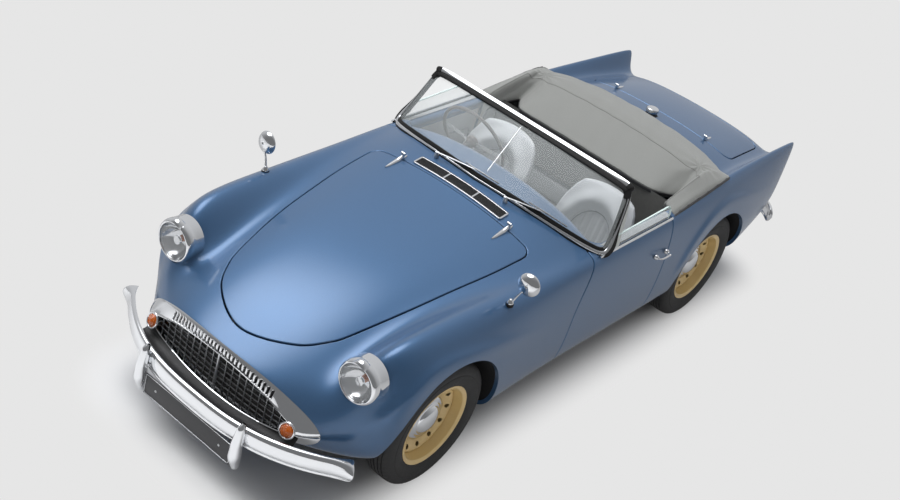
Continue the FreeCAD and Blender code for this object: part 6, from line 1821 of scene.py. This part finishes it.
def make_mirrors():
    """Round wing mirrors: a domed chrome bowl with the glass facing back, a ball joint, a leaning
    stalk and a domed foot on a rubber pad."""
    for side, base, head in (("left", (.668, -.850, .846), (.714, -.828, .958)),
                             ("right", (-.632, -1.098, .853), (-.678, -1.076, .965))):
        base, head = np.array(base), np.array(head)
        facing = unit(np.array((.10 * np.sign(base[0]) * -1, 1.0, -.05)))
        bowl = [(-.0255, .0002), (-.0250, .010), (-.0220, .026), (-.0150, .041), (-.0040, .0515),
                (.0030, .0545), (.0065, .0545), (.0078, .0525), (.0068, .0500)]
        parts = [lathe(spline(bowl, 44), head, facing, 0, 72),
                 lathe([(.0066, .0502), (.0060, .030), (.0056, .0002)], head, facing, 1, 72)]
        start = base + (0, 0, -.012)
        joint = head + facing * -.020
        stalk = spline([start, base + (joint - base) * .35 + (0, .004, 0),
                        base + (joint - base) * .7 + (0, .003, 0), joint], 20)
        parts.append(tube(stalk, .0052, 14, up=(0, 1, 0), scale=np.linspace(1.25, .85, 20)))
        parts.append(lathe([(-.010, .0002), (-.008, .006), (0, .0095), (.008, .006), (.010, .0002)],
                           joint, (0, 0, 1), 0, 24))
        parts.append(lathe([(-.020, .016), (-.006, .016), (.002, .0145), (.008, .010), (.014, .0075),
                            (.016, .0002)], base, (0, 0, 1), 0, 36))
        parts.append(lathe([(-.020, .0185), (-.008, .0185), (-.005, .0165)], base, (0, 0, 1), 2, 36))
        made = mesh_piece("wing_mirror_" + side, parts, mats("chrome", "mirror_glass", "black_rubber"),
                          stands_for=("wing_mirrors",))


def strap(x, pin, tip, base, tip_base, width):
    """Pointed hinge strap: broad and high at its knuckle, low and narrow at its tip."""
    t = np.linspace(0, 1, 22)
    y = pin[0] + (tip - pin[0]) * t
    z = base + (tip_base - base) * t
    wide = width * np.interp(t, (0, .25, .8, .97, 1), (.62, 1, .60, .25, .08))
    high = np.interp(t, (0, .12, .3, 1), (.9, .75, .5, .35)) * .018
    arc = np.linspace(0, np.pi, 13)
    loop = np.concatenate([np.stack([np.cos(arc), np.sin(arc)], 1), [(-1, -.6), (1, -.6)]])
    rows = np.stack([x + loop[None, :, 0] * wide[:, None], np.broadcast_to(y[:, None], (22, 15)),
                     z[:, None] + loop[None, :, 1] * high[:, None]], -1)
    flip = tip > pin[0]
    part = capped(rows if not flip else rows[:, ::-1])
    barrel = [(-width, .0002), (-width, .0062), (-width * .9, .0072), (width * .9, .0072),
              (width, .0062), (width, .0002)]
    knuckle = lathe(barrel, (x, pin[0], pin[1]), (1, 0, 0), 0, 28)
    neck = block((x - width * .6, pin[0] - .007, base - .008), (x + width * .6, pin[0] + .007, pin[1]),
                 .003)
    return [part, knuckle, neck]


def make_hinges(skin):
    """Bright pointed straps: two over the bonnet's rear edge and two over the boot's front edge."""
    parts = []
    z = skin_heights(skin, np.array([.337, .337]), np.array([-.478, -.600]))
    parts += strap(.337, (-.474, .934), -.594, z[0] + .012, z[1] + .001, .0125)
    low = strap(.337, (-.474, .934), -.440, z[0] + .006, z[0] + .010, .0105)
    bonnet = mesh_piece("bonnet_hinge_straps", both(parts + low[:1]), mats("chrome"), "front_lid",
                        ("bonnet_hinges",))
    z = skin_heights(skin, np.array([.313, .313]), np.array([1.435, 1.515]))
    parts = strap(.313, (1.429, .894), 1.512, z[0] + .010, z[1] + .001, .0115)
    boot = mesh_piece("boot_hinge_straps", both(parts), mats("chrome"), "rear_lid", ("boot_hinges",))


def make_vent(skin, sizes):
    """Scuttle vent: a raised chrome frame in three bays over dark wire mesh."""
    xs = np.linspace(-.278, .278, 57)
    front = skin_heights(skin, xs, np.full(57, -.468))
    rear = skin_heights(skin, xs, np.full(57, -.396))
    front, rear = evened(front, 4), evened(rear, 4)

    def at(x, y, up=0.0):
        t = (np.asarray(y) + .468) / .072
        low, high = np.interp(x, xs, front), np.interp(x, xs, rear)
        return np.stack([np.asarray(x, float) * np.ones(np.shape(y)),
                         np.asarray(y, float) * np.ones(np.shape(x)),
                         low * (1 - t) + high * t + up], -1)

    loop = rounded([(-.273, -.463), (.273, -.463), (.273, -.401), (-.273, -.401)], .008, 5)
    share = np.linspace(0, 1, 12, endpoint=False)[:, None]
    fine = np.concatenate([a + (b - a) * share for a, b in zip(loop, np.roll(loop, -1, 0))])
    frame_band = rounded([(-.0048, -.004), (.0048, -.004), (.0048, .0035), (-.0048, .0035)], .002, 4)
    parts = [sweep(at(fine[:, 0], fine[:, 1], .0055), frame_band, (0, 0, 1), number=0, closed=True)]
    for x in (-.091, .091):
        y = np.linspace(-.462, -.402, 10)
        parts.append(sweep(at(np.full(10, x), y, .0050), frame_band, (0, 0, 1), number=0))
    a, b = np.meshgrid(np.linspace(-.27, .27, 61), np.linspace(-.46, -.404, 9), indexing="ij")
    parts.append(grid(at(a, b, .0030), number=1))
    for y in np.linspace(-.457, -.407, 11):
        parts.append(sweep(at(np.linspace(-.27, .27, 50), np.full(50, y), .0042), circle(sizes.mesh, 6),
                           (0, 0, 1), number=2))
    for x in np.arange(-.268, .27, .0056):
        parts.append(sweep(at(np.full(5, x), np.linspace(-.460, -.404, 5), .0044),
                           circle(sizes.mesh, 6), (0, 0, 1), number=2))
    vent = mesh_piece("scuttle_vent_frame", parts, mats("chrome", "dial_black", "trim_black"),
                      stands_for=("scuttle_vent",))


def make_handles():
    """Chrome pull handles: a bowed grip on two feet over a dark hollow."""
    for side, name in ((1, "left"), (-1, "right")):
        line = spline([(.733, .390, .684), (.750, .402, .684), (.7535, .44, .6845), (.750, .478, .684),
                       (.733, .490, .684)], 40)
        grip = sweep(line, circle(.0068, 16, .75), (0, 0, 1),
                     scale=np.interp(np.linspace(0, 1, 40), (0, .12, .5, .88, 1),
                                                                               (1.25, .9, 1.05, .9, 1.25)))
        feet = [lathe([(-.012, .014), (0, .013), (.006, .009), (.007, .0002)], (.7305, y, .684),
                      (1, 0, .1), 0, 28)
                for y in (.390, .490)]
        button = [lathe([(0, .006), (.004, .0055), (.005, .0002)], (.7545, .478, .684), (1, 0, 0), 0, 20)]
        parts = [grip] + feet + button
        made = on_side(parts, side)
        piece = mesh_piece("door_pull_" + name, made, mats("chrome"), name + "_door",
                           ("door_handle_" + name,))


def make_fuel_cap():
    """Snap filler cap: a knurled domed chrome top over a dark neck and rubber ring."""
    c = (0, 1.322, .938)
    cap = [(-.028, .030), (-.026, .0335), (-.020, .0350), (-.012, .0350), (-.006, .0330),
           (-.003, .0270), (-.0012, .014), (-.0004, .0002)]
    parts = [lathe(spline(cap, 40), c, (0, 0, 1), 0, 72),
             lathe([(-.075, .030), (-.030, .0295), (-.027, .0335)], c, (0, 0, 1), 1, 60),
             lathe([(-.060, .044), (-.048, .043), (-.044, .036), (-.043, .030)], c, (0, 0, 1), 2, 60)]
    t = np.linspace(0, 2 * np.pi, 36, endpoint=False)
    for a in t:
        way = np.array((math.cos(a), math.sin(a), 0))
        parts.append(tube(np.array([np.array(c) + way * .0352 + (0, 0, -.023),
                                    np.array(c) + way * .0352 + (0, 0, -.009)]),
                          .0012, 6, up=way))
    made = mesh_piece("fuel_filler_cap", parts, mats("chrome", "trim_black", "black_rubber"),
                      stands_for=("fuel_cap",))


def make_tail_panel(skin):
    """The panel between the fins: it closes the net's last row, upright lines from the row's upper
    half to the place below it, crowned a little to the rear."""
    rows, cols = (n - 3.0 for n in skin.net.shape[:2])
    v = np.linspace(0, cols, 265)
    ring = skin.place(np.stack([np.full(265, rows), v], 1))
    left, right = ring[:, 0].argmax(), ring[:, 0].argmin()
    upper = ring[left:right + 1]
    lower = np.vstack([ring[right:], ring[1:left + 1]])
    below = [np.interp(upper[:, 0], lower[:, 0], lower[:, k]) for k in (1, 2)]
    low = np.column_stack([upper[:, 0]] + below)
    t = np.linspace(0, 1, 13)[:, None, None]
    sheet = upper * (1 - t) + low * t
    crown = np.sin(np.pi * t) * (1 - (np.abs(sheet[..., :1]) / .62) ** 4)
    sheet = sheet + np.array((0, .012, 0)) * crown
    panel = mesh_piece("tail_panel", [grid(sheet)], mats("paint_blue"))


def make_rear_bumpers():
    """Rear quarter bumpers: a swept blade each side with a tall overrider, on its iron."""
    s = np.linspace(0, 1, 64)
    x = .330 + s * .365
    y = 1.998 - .118 * np.clip((s - .45) / .55, 0, None) ** 2.4
    path = np.stack([x, y, np.full(64, .432)], 1)
    front = np.array([(-.010, .046), (.000, .0475), (.008, .043), (.014, .030), (.0172, .012),
                      (.0172, -.012), (.014, -.030), (.008, -.043), (.000, -.0475), (-.006, -.044),
                      (.004, -.034), (.0105, 0), (.004, .034), (-.004, .043)])
    outline = rounded(front, .004, 4)
    end = np.clip(1 - np.abs(s * 2 - 1) ** 24, 0, 1) ** .5 * .95 + .05
    side = facing_rear(path)
    rows = path[:, None] + outline[None, :, :1] * side[:, None] + \
        outline[None, :, 1:] * end[:, None, None] * np.array((0, 0, 1.0))
    parts = [capped(rows[:, ::-1])]
    z = np.linspace(0, 1, 40)
    grow = np.interp(z, (0, .06, .3, .7, .94, 1), (.2, .62, 1, 1, .62, .2))
    line = np.stack([np.full(40, .380), 2.000 + .010 * np.sin(np.pi * z), .330 + z * .204], 1)
    parts.append(sweep(line, circle(.0215, 28) * (1, 1.35), (0, 1, 0), scale=grow))
    parts.append(block((.370, 1.70, .422), (.390, 1.995, .442), .002, 1))
    made = mesh_piece("rear_bumper_blades", both(parts), mats("chrome", "dark_paint"),
                      stands_for=("rear_bumpers",))


def make_tail_lamps():
    """Red lamp in a chrome rim on each fin's trailing edge."""
    c = np.array((.560, 1.985, .640))
    rim = spline([(-.09, .030), (-.02, .0345), (.0, .0358), (.008, .0350), (.012, .0325), (.010, .0300),
                  (.004, .0290)], 24)
    a = np.linspace(0, np.pi / 2, 36)
    dome = np.stack([.004 + np.sin(a) * .014, np.cos(a) * .0298 + .0002], 1)
    dome[:, 0] += .0007 * np.sin(dome[:, 1] * 900)
    parts = [lathe(rim, c, (0, 1, 0), 0, 56), lathe(dome, c, (0, 1, 0), 1, 56)]
    made = mesh_piece("tail_lamp_lenses", both(parts), mats("chrome", "red_lens"),
                      stands_for=("tail_lamps",))


# CAD pieces that show under the car and keep their CAD meshes.
NODE_FINISHES = {
    "chassis": "dark_paint", "floor_tub": "carpet_grey", "engine_and_gearbox": "cast_grey",
    "rear_axle": "dark_paint", "leaf_springs": "dark_paint", "exhausts": "exhaust_metal",
    "front_suspension": "dark_paint", "knuckle_left": "cast_grey", "knuckle_right": "cast_grey",
    "steering_column": "trim_black",
}


def finish_nodes():
    """Materials for the CAD pieces that stay as they are under the car."""
    for name, material in NODE_FINISHES.items():
        piece = bpy.data.objects.get(name)
        if piece is None:
            raise RuntimeError("no CAD piece named " + name)
        piece.data.materials.clear()
        piece.data.materials.append(MATERIALS[material])


def make_camera():
    """The photograph's camera, solved from the car's own points."""
    data = bpy.data.cameras.new("camera")
    data.lens = 56.75
    data.sensor_width = 36.0
    data.clip_end = 60.0
    az, el, roll = (math.radians(v) for v in (30.9208, 31.9382, 17.0871))
    back = Vector((math.sin(az) * math.cos(el), -math.cos(az) * math.cos(el), math.sin(el)))
    right = Vector((math.cos(az), math.sin(az), 0))
    up = back.cross(right)
    x = right * math.cos(roll) + up * math.sin(roll)
    y = up * math.cos(roll) - right * math.sin(roll)
    camera = bpy.data.objects.new("camera", data)
    matrix = Matrix((x, y, back)).transposed().to_4x4()
    matrix.translation = (3.05248, -5.44984, 4.23349)
    camera.matrix_world = matrix
    bpy.context.scene.collection.objects.link(camera)
    bpy.context.scene.camera = camera


def add_light(name, place, target, size, power, colour=(1, 1, 1)):
    data = bpy.data.lights.new(name, "AREA")
    data.shape = "RECTANGLE"
    data.size, data.size_y = size
    data.energy = power
    data.color = colour
    lamp = bpy.data.objects.new(name, data)
    way = Vector(target) - Vector(place)
    lamp.rotation_euler = way.to_track_quat("-Z", "Y").to_euler()
    lamp.location = place
    lamp.visible_glossy = False
    bpy.context.scene.collection.objects.link(lamp)


def outside_plan(tree):
    """Distance over the floor from a box a little inside the car's plan."""
    place = node(tree, "TexCoord").outputs["Object"]
    size = node(tree, "VectorMath", {0: place}, operation="ABSOLUTE")
    past = node(tree, "VectorMath", {0: size.outputs["Vector"]}, operation="SUBTRACT")
    past.inputs[1].default_value = PLAN_BOX
    beyond = node(tree, "VectorMath", {0: past.outputs["Vector"]}, operation="MAXIMUM")
    beyond.inputs[1].default_value = (0, 0, 0)
    return node(tree, "VectorMath", {0: beyond.outputs["Vector"]}, operation="LENGTH").outputs["Value"]


def ramp_of(tree, value, given, wanted):
    """Smooth rise of a value's range to another range."""
    made = node(tree, "MapRange", {"Value": value}, interpolation_type="SMOOTHSTEP")
    for label, pair in (("From", given), ("To", wanted)):
        made.inputs[label + " Min"].default_value = pair[0]
        made.inputs[label + " Max"].default_value = pair[1]
    return made.outputs["Result"]


BACKDROP = (0.791, 0.791, 0.791, 1)
OVERHEAD = (-0.42, -0.04, 0.907)
BEHIND = (-0.49, 0.83, 0.27)
PLAN_BOX = (0.42, 1.75, 0.0)


def make_stage(s):
    """Even pale backdrop behind a floor that takes the car's shadow, under large soft lights. The floor's
    colour is painted darker near and under the car, a painted shadow, and in reflections it mostly shows
    as a dim grey, a painted shade that fades out before the nose.
    """
    world = bpy.data.worlds.new("studio")
    world.use_nodes = True
    tree = world.node_tree
    shown = tree.nodes["Background"]
    shown.inputs["Color"].default_value = BACKDROP
    shown.inputs["Strength"].default_value = 1.0
    way = node(tree, "TexCoord").outputs["Generated"]
    toward = node(tree, "VectorMath", {0: way}, operation="DOT_PRODUCT")
    toward.inputs[1].default_value = OVERHEAD
    lobe = ramp_of(tree, toward.outputs["Value"], (0.86, 0.99), (0.0, s.glow))
    beyond = node(tree, "VectorMath", {0: way}, operation="DOT_PRODUCT")
    beyond.inputs[1].default_value = BEHIND
    slope = ramp_of(tree, beyond.outputs["Value"], (-0.5, 1.0), (s.fill * 0.45, s.fill * 1.5))
    total = maths(tree, "ADD", lobe, slope)
    lit = node(tree, "Background", {"Strength": total}, Color=(0.80, 0.81, 0.83, 1))
    path = node(tree, "LightPath")
    blend = node(tree, "MixShader", {0: path.outputs["Is Camera Ray"]})
    tree.links.new(lit.outputs[0], blend.inputs[1])
    tree.links.new(shown.outputs[0], blend.inputs[2])
    tree.links.new(blend.outputs[0], tree.nodes["World Output"].inputs["Surface"])
    bpy.context.scene.world = world
    made, tree, shader = new_material("floor_white", None, Base_Color=(0.74, 0.74, 0.74),
                                      Roughness=0.9, Specular_IOR_Level=0.0)
    far = outside_plan(tree)
    # Painted shadow: the floor's own colour goes from pale to mid grey towards and under the car's plan.
    painted_shadow = ramp_of(tree, far, (0.0, 0.25), (0.0, 1.0))
    tree.links.new(mix_colour(tree, painted_shadow, (.48, .48, .485, 1), (.74, .74, .74, 1)),
                   shader.inputs["Base Color"])
    glow = node(tree, "Emission", Color=BACKDROP, Strength=1.0)
    # Painted shade in reflections: a dim grey that glossy rays see in place of the floor.
    painted_reflected_shade = node(tree, "Emission", Color=(0.25, 0.25, 0.255, 1), Strength=1.0)
    path = node(tree, "LightPath")
    share = maths(tree, "MULTIPLY", ramp_of(tree, far, (0.11, 0.42), (0.0, 1.0)),
                  path.outputs["Is Camera Ray"])
    blend = node(tree, "MixShader", {0: share})
    tree.links.new(shader.outputs[0], blend.inputs[1])
    tree.links.new(glow.outputs[0], blend.inputs[2])
    # Share of that painted shade in reflections: most of it under and beside the car, little far before
    # the nose.
    along = node(tree, "SeparateXYZ", {"Vector": node(tree, "TexCoord").outputs["Object"]})
    reflected_shade_share = ramp_of(tree, along.outputs["Y"], (-2.3, -1.4), (0.05, 0.65))
    mirrored = node(tree, "MixShader", {0: maths(tree, "MULTIPLY", path.outputs["Is Glossy Ray"], reflected_shade_share)})
    tree.links.new(blend.outputs[0], mirrored.inputs[1])
    tree.links.new(painted_reflected_shade.outputs[0], mirrored.inputs[2])
    tree.links.new(mirrored.outputs[0], tree.nodes["Material Output"].inputs["Surface"])
    t = np.linspace(-14, 14, 15)
    x, y = np.meshgrid(t, t, indexing="ij")
    co = np.stack([x, y, np.zeros_like(x)], -1)
    mesh = bpy.data.meshes.new("floor")
    mesh.from_pydata(co.reshape(-1, 3).tolist(), [], grid_faces(15, 15).tolist())
    mesh.materials.append(made)
    floor = bpy.data.objects.new("floor", mesh)
    bpy.context.scene.collection.objects.link(floor)
    add_light("softbox_top", (-0.6, -0.6, 4.6), (0, 0, 0.5), (3.6, 5.0), s.key)
    add_light("softbox_front", (1.5, -5.5, 3.2), (0, -1.0, 0.5), (4.0, 2.0), s.front)
    add_light("softbox_side", (5.0, 0.5, 2.6), (0, 0.2, 0.5), (5.0, 2.0), s.side)
    view = bpy.context.scene.view_settings
    view.view_transform = "Standard"
    view.look = "None"


class RoadsterColours(bpy.types.PropertyGroup):
    paint: FloatVectorProperty(name="Body paint", description="Metallic colour of the body",
                               default=(0.053, 0.124, 0.246), subtype="COLOR", min=0, max=1)
    wheel: FloatVectorProperty(name="Wheel enamel", description="Colour of the steel wheels",
                               default=(0.68, 0.50, 0.22), subtype="COLOR", min=0, max=1)
    leather: FloatVectorProperty(name="Leather", description="Colour of the seats",
                                 default=(0.37, 0.385, 0.40), subtype="COLOR", min=0, max=1)
    cloth: FloatVectorProperty(name="Hood cloth", description="Colour of the folded hood's cover",
                               default=(0.23, 0.235, 0.225), subtype="COLOR", min=0, max=1)


class RoadsterStage(bpy.types.PropertyGroup):
    key: FloatProperty(name="Top light", description="Power of the light overhead", default=150.0,
                       unit="POWER")
    front: FloatProperty(name="Front light", description="Power of the light at the nose",
                         default=34.0, unit="POWER")
    side: FloatProperty(name="Side light", description="Power of the light at the near side",
                        default=22.0, unit="POWER")
    glow: FloatProperty(name="Glow", description="Strength of the soft patch overhead", default=4.8, min=0)
    fill: FloatProperty(name="Fill", description="Strength of the room's light", default=0.50, min=0)


class RoadsterSizes(bpy.types.PropertyGroup):
    piping: FloatProperty(name="Seat piping", description="Radius of the cord sewn round the seats",
                          default=0.0032, min=0.001, max=0.008, subtype="DISTANCE", unit="LENGTH")
    rod: FloatProperty(name="Screen rod", description="Radius of the rod behind the windscreen",
                       default=0.0032, min=0.001, max=0.008, subtype="DISTANCE", unit="LENGTH")
    mesh: FloatProperty(name="Vent wire", description="Radius of the wires in the scuttle vent",
                        default=0.0007, min=0.0003, max=0.002, subtype="DISTANCE", unit="LENGTH")


class RoadsterProps(bpy.types.PropertyGroup):
    sizes: PointerProperty(type=RoadsterSizes)
    colours: PointerProperty(type=RoadsterColours)
    stage: PointerProperty(type=RoadsterStage)


class ROADSTER_OT_materials(bpy.types.Operator):
    """Make the finishes in the chosen colours"""
    bl_idname = "roadster.materials"
    bl_label = "Materials"

    def execute(self, context):
        make_materials(context.scene.roadster.colours)
        return {"FINISHED"}


class ROADSTER_OT_body(bpy.types.Operator):
    """Build the body, doors, bonnet and boot lid from one surface"""
    bl_idname = "roadster.body"
    bl_label = "Body panels"

    def execute(self, context):
        make_body_panels(body_skin())
        return {"FINISHED"}


class ROADSTER_OT_tail_panel(bpy.types.Operator):
    """Close the body between the tail fins"""
    bl_idname = "roadster.tail_panel"
    bl_label = "Tail panel"

    def execute(self, context):
        make_tail_panel(body_skin())
        return {"FINISHED"}


class ROADSTER_OT_wells(bpy.types.Operator):
    """Build the dark inner wings over the wheels"""
    bl_idname = "roadster.wells"
    bl_label = "Wheel wells"

    def execute(self, context):
        make_wheel_wells(body_skin())
        return {"FINISHED"}


class ROADSTER_OT_wheels(bpy.types.Operator):
    """Build the four wheels with their tyres and hub caps"""
    bl_idname = "roadster.wheels"
    bl_label = "Wheels"

    def execute(self, context):
        make_wheels()
        return {"FINISHED"}


class ROADSTER_OT_headlamps(bpy.types.Operator):
    """Build the two headlamps with bowls, bulbs and glasses"""
    bl_idname = "roadster.headlamps"
    bl_label = "Headlamps"

    def execute(self, context):
        make_headlamps()
        return {"FINISHED"}


class ROADSTER_OT_indicators(bpy.types.Operator):
    """Build the two front indicators"""
    bl_idname = "roadster.indicators"
    bl_label = "Indicators"

    def execute(self, context):
        make_indicators()
        return {"FINISHED"}


class ROADSTER_OT_grille(bpy.types.Operator):
    """Build the grille's surround and its bars"""
    bl_idname = "roadster.grille"
    bl_label = "Grille"

    def execute(self, context):
        make_grille(body_skin())
        return {"FINISHED"}


class ROADSTER_OT_bumper(bpy.types.Operator):
    """Build the front bumper, overriders and number plate"""
    bl_idname = "roadster.bumper"
    bl_label = "Front bumper"

    def execute(self, context):
        make_bumper()
        return {"FINISHED"}


class ROADSTER_OT_windscreen(bpy.types.Operator):
    """Build the windscreen's frame, rubbers, glass and rod"""
    bl_idname = "roadster.windscreen"
    bl_label = "Windscreen"

    def execute(self, context):
        make_windscreen(context.scene.roadster.sizes)
        return {"FINISHED"}


class ROADSTER_OT_wipers(bpy.types.Operator):
    """Build the two parked wipers"""
    bl_idname = "roadster.wipers"
    bl_label = "Wipers"

    def execute(self, context):
        make_wipers()
        return {"FINISHED"}


class ROADSTER_OT_hood(bpy.types.Operator):
    """Drape the cloth cover over the folded hood"""
    bl_idname = "roadster.hood"
    bl_label = "Hood cover"

    def execute(self, context):
        make_hood_cover()
        return {"FINISHED"}


class ROADSTER_OT_seats(bpy.types.Operator):
    """Build the two bucket seats"""
    bl_idname = "roadster.seats"
    bl_label = "Seats"

    def execute(self, context):
        make_seats(context.scene.roadster.sizes)
        return {"FINISHED"}


class ROADSTER_OT_rear_seat(bpy.types.Operator):
    """Build the occasional rear seat"""
    bl_idname = "roadster.rear_seat"
    bl_label = "Rear seat"

    def execute(self, context):
        make_rear_seat()
        return {"FINISHED"}


class ROADSTER_OT_dash(bpy.types.Operator):
    """Build the dash with its instruments"""
    bl_idname = "roadster.dash"
    bl_label = "Dash"

    def execute(self, context):
        make_dash(body_skin())
        return {"FINISHED"}


class ROADSTER_OT_steering(bpy.types.Operator):
    """Build the steering wheel"""
    bl_idname = "roadster.steering"
    bl_label = "Steering wheel"

    def execute(self, context):
        make_steering_wheel()
        return {"FINISHED"}


class ROADSTER_OT_trims(bpy.types.Operator):
    """Build the inner trims of both doors"""
    bl_idname = "roadster.trims"
    bl_label = "Door trims"

    def execute(self, context):
        make_door_trims(body_skin())
        return {"FINISHED"}


class ROADSTER_OT_cabin(bpy.types.Operator):
    """Build the side casings, carpets and gear lever"""
    bl_idname = "roadster.cabin"
    bl_label = "Cabin"

    def execute(self, context):
        make_cabin()
        return {"FINISHED"}


class ROADSTER_OT_door_glass(bpy.types.Operator):
    """Build the half raised panes of both doors"""
    bl_idname = "roadster.door_glass"
    bl_label = "Door glass"

    def execute(self, context):
        make_door_glass()
        return {"FINISHED"}


class ROADSTER_OT_strips(bpy.types.Operator):
    """Build the strips along both door tops"""
    bl_idname = "roadster.strips"
    bl_label = "Waist strips"

    def execute(self, context):
        make_door_strips(body_skin())
        return {"FINISHED"}


class ROADSTER_OT_mirrors(bpy.types.Operator):
    """Build the two wing mirrors"""
    bl_idname = "roadster.mirrors"
    bl_label = "Wing mirrors"

    def execute(self, context):
        make_mirrors()
        return {"FINISHED"}


class ROADSTER_OT_hinges(bpy.types.Operator):
    """Build the straps of bonnet and boot lid"""
    bl_idname = "roadster.hinges"
    bl_label = "Hinge straps"

    def execute(self, context):
        make_hinges(body_skin())
        return {"FINISHED"}


class ROADSTER_OT_vent(bpy.types.Operator):
    """Build the vent before the windscreen"""
    bl_idname = "roadster.vent"
    bl_label = "Scuttle vent"

    def execute(self, context):
        make_vent(body_skin(), context.scene.roadster.sizes)
        return {"FINISHED"}


class ROADSTER_OT_handles(bpy.types.Operator):
    """Build the pull handles of both doors"""
    bl_idname = "roadster.handles"
    bl_label = "Door handles"

    def execute(self, context):
        make_handles()
        return {"FINISHED"}


class ROADSTER_OT_fuel_cap(bpy.types.Operator):
    """Build the snap filler cap"""
    bl_idname = "roadster.fuel_cap"
    bl_label = "Fuel cap"

    def execute(self, context):
        make_fuel_cap()
        return {"FINISHED"}


class ROADSTER_OT_rear_bumpers(bpy.types.Operator):
    """Build the rear quarter bumpers"""
    bl_idname = "roadster.rear_bumpers"
    bl_label = "Rear bumpers"

    def execute(self, context):
        make_rear_bumpers()
        return {"FINISHED"}


class ROADSTER_OT_tail_lamps(bpy.types.Operator):
    """Build the lamps of both tail fins"""
    bl_idname = "roadster.tail_lamps"
    bl_label = "Tail lamps"

    def execute(self, context):
        make_tail_lamps()
        return {"FINISHED"}


class ROADSTER_OT_finishes(bpy.types.Operator):
    """Give the CAD pieces that stay in sight their finishes"""
    bl_idname = "roadster.finishes"
    bl_label = "CAD finishes"

    def execute(self, context):
        finish_nodes()
        return {"FINISHED"}


class ROADSTER_OT_stage(bpy.types.Operator):
    """Set the camera, backdrop, floor and lights"""
    bl_idname = "roadster.stage"
    bl_label = "Stage"

    def execute(self, context):
        make_camera()
        make_stage(context.scene.roadster.stage)
        return {"FINISHED"}


STEPS = (ROADSTER_OT_materials, ROADSTER_OT_body, ROADSTER_OT_tail_panel, ROADSTER_OT_wells,
         ROADSTER_OT_wheels, ROADSTER_OT_headlamps, ROADSTER_OT_indicators, ROADSTER_OT_grille,
         ROADSTER_OT_bumper, ROADSTER_OT_windscreen, ROADSTER_OT_wipers, ROADSTER_OT_hood,
         ROADSTER_OT_seats, ROADSTER_OT_rear_seat, ROADSTER_OT_dash, ROADSTER_OT_steering,
         ROADSTER_OT_trims, ROADSTER_OT_cabin, ROADSTER_OT_door_glass, ROADSTER_OT_strips,
         ROADSTER_OT_mirrors, ROADSTER_OT_hinges, ROADSTER_OT_vent, ROADSTER_OT_handles,
         ROADSTER_OT_fuel_cap, ROADSTER_OT_rear_bumpers, ROADSTER_OT_tail_lamps, ROADSTER_OT_finishes,
         ROADSTER_OT_stage)


class ROADSTER_PT_main(bpy.types.Panel):
    """Sizes, colours and steps of the roadster"""
    bl_idname = "ROADSTER_PT_main"
    bl_label = "Roadster"
    bl_space_type = "VIEW_3D"
    bl_region_type = "UI"
    bl_category = "Roadster"

    def draw(self, context):
        props = context.scene.roadster
        for part in (props.sizes, props.colours, props.stage):
            box = self.layout.box()
            for key in part.__annotations__:
                box.prop(part, key)
        for step in STEPS:
            self.layout.operator(step.bl_idname)


CLASSES = (RoadsterSizes, RoadsterColours, RoadsterStage, RoadsterProps) + STEPS + (ROADSTER_PT_main,)


def register():
    for item in CLASSES:
        bpy.utils.register_class(item)
    bpy.types.Scene.roadster = PointerProperty(type=RoadsterProps)


def unregister():
    del bpy.types.Scene.roadster
    for item in reversed(CLASSES):
        bpy.utils.unregister_class(item)


def main():
    register()
    for step in STEPS:
        area, key = step.bl_idname.split(".")
        getattr(getattr(bpy.ops, area), key)()


if __name__ == "__main__":
    main()
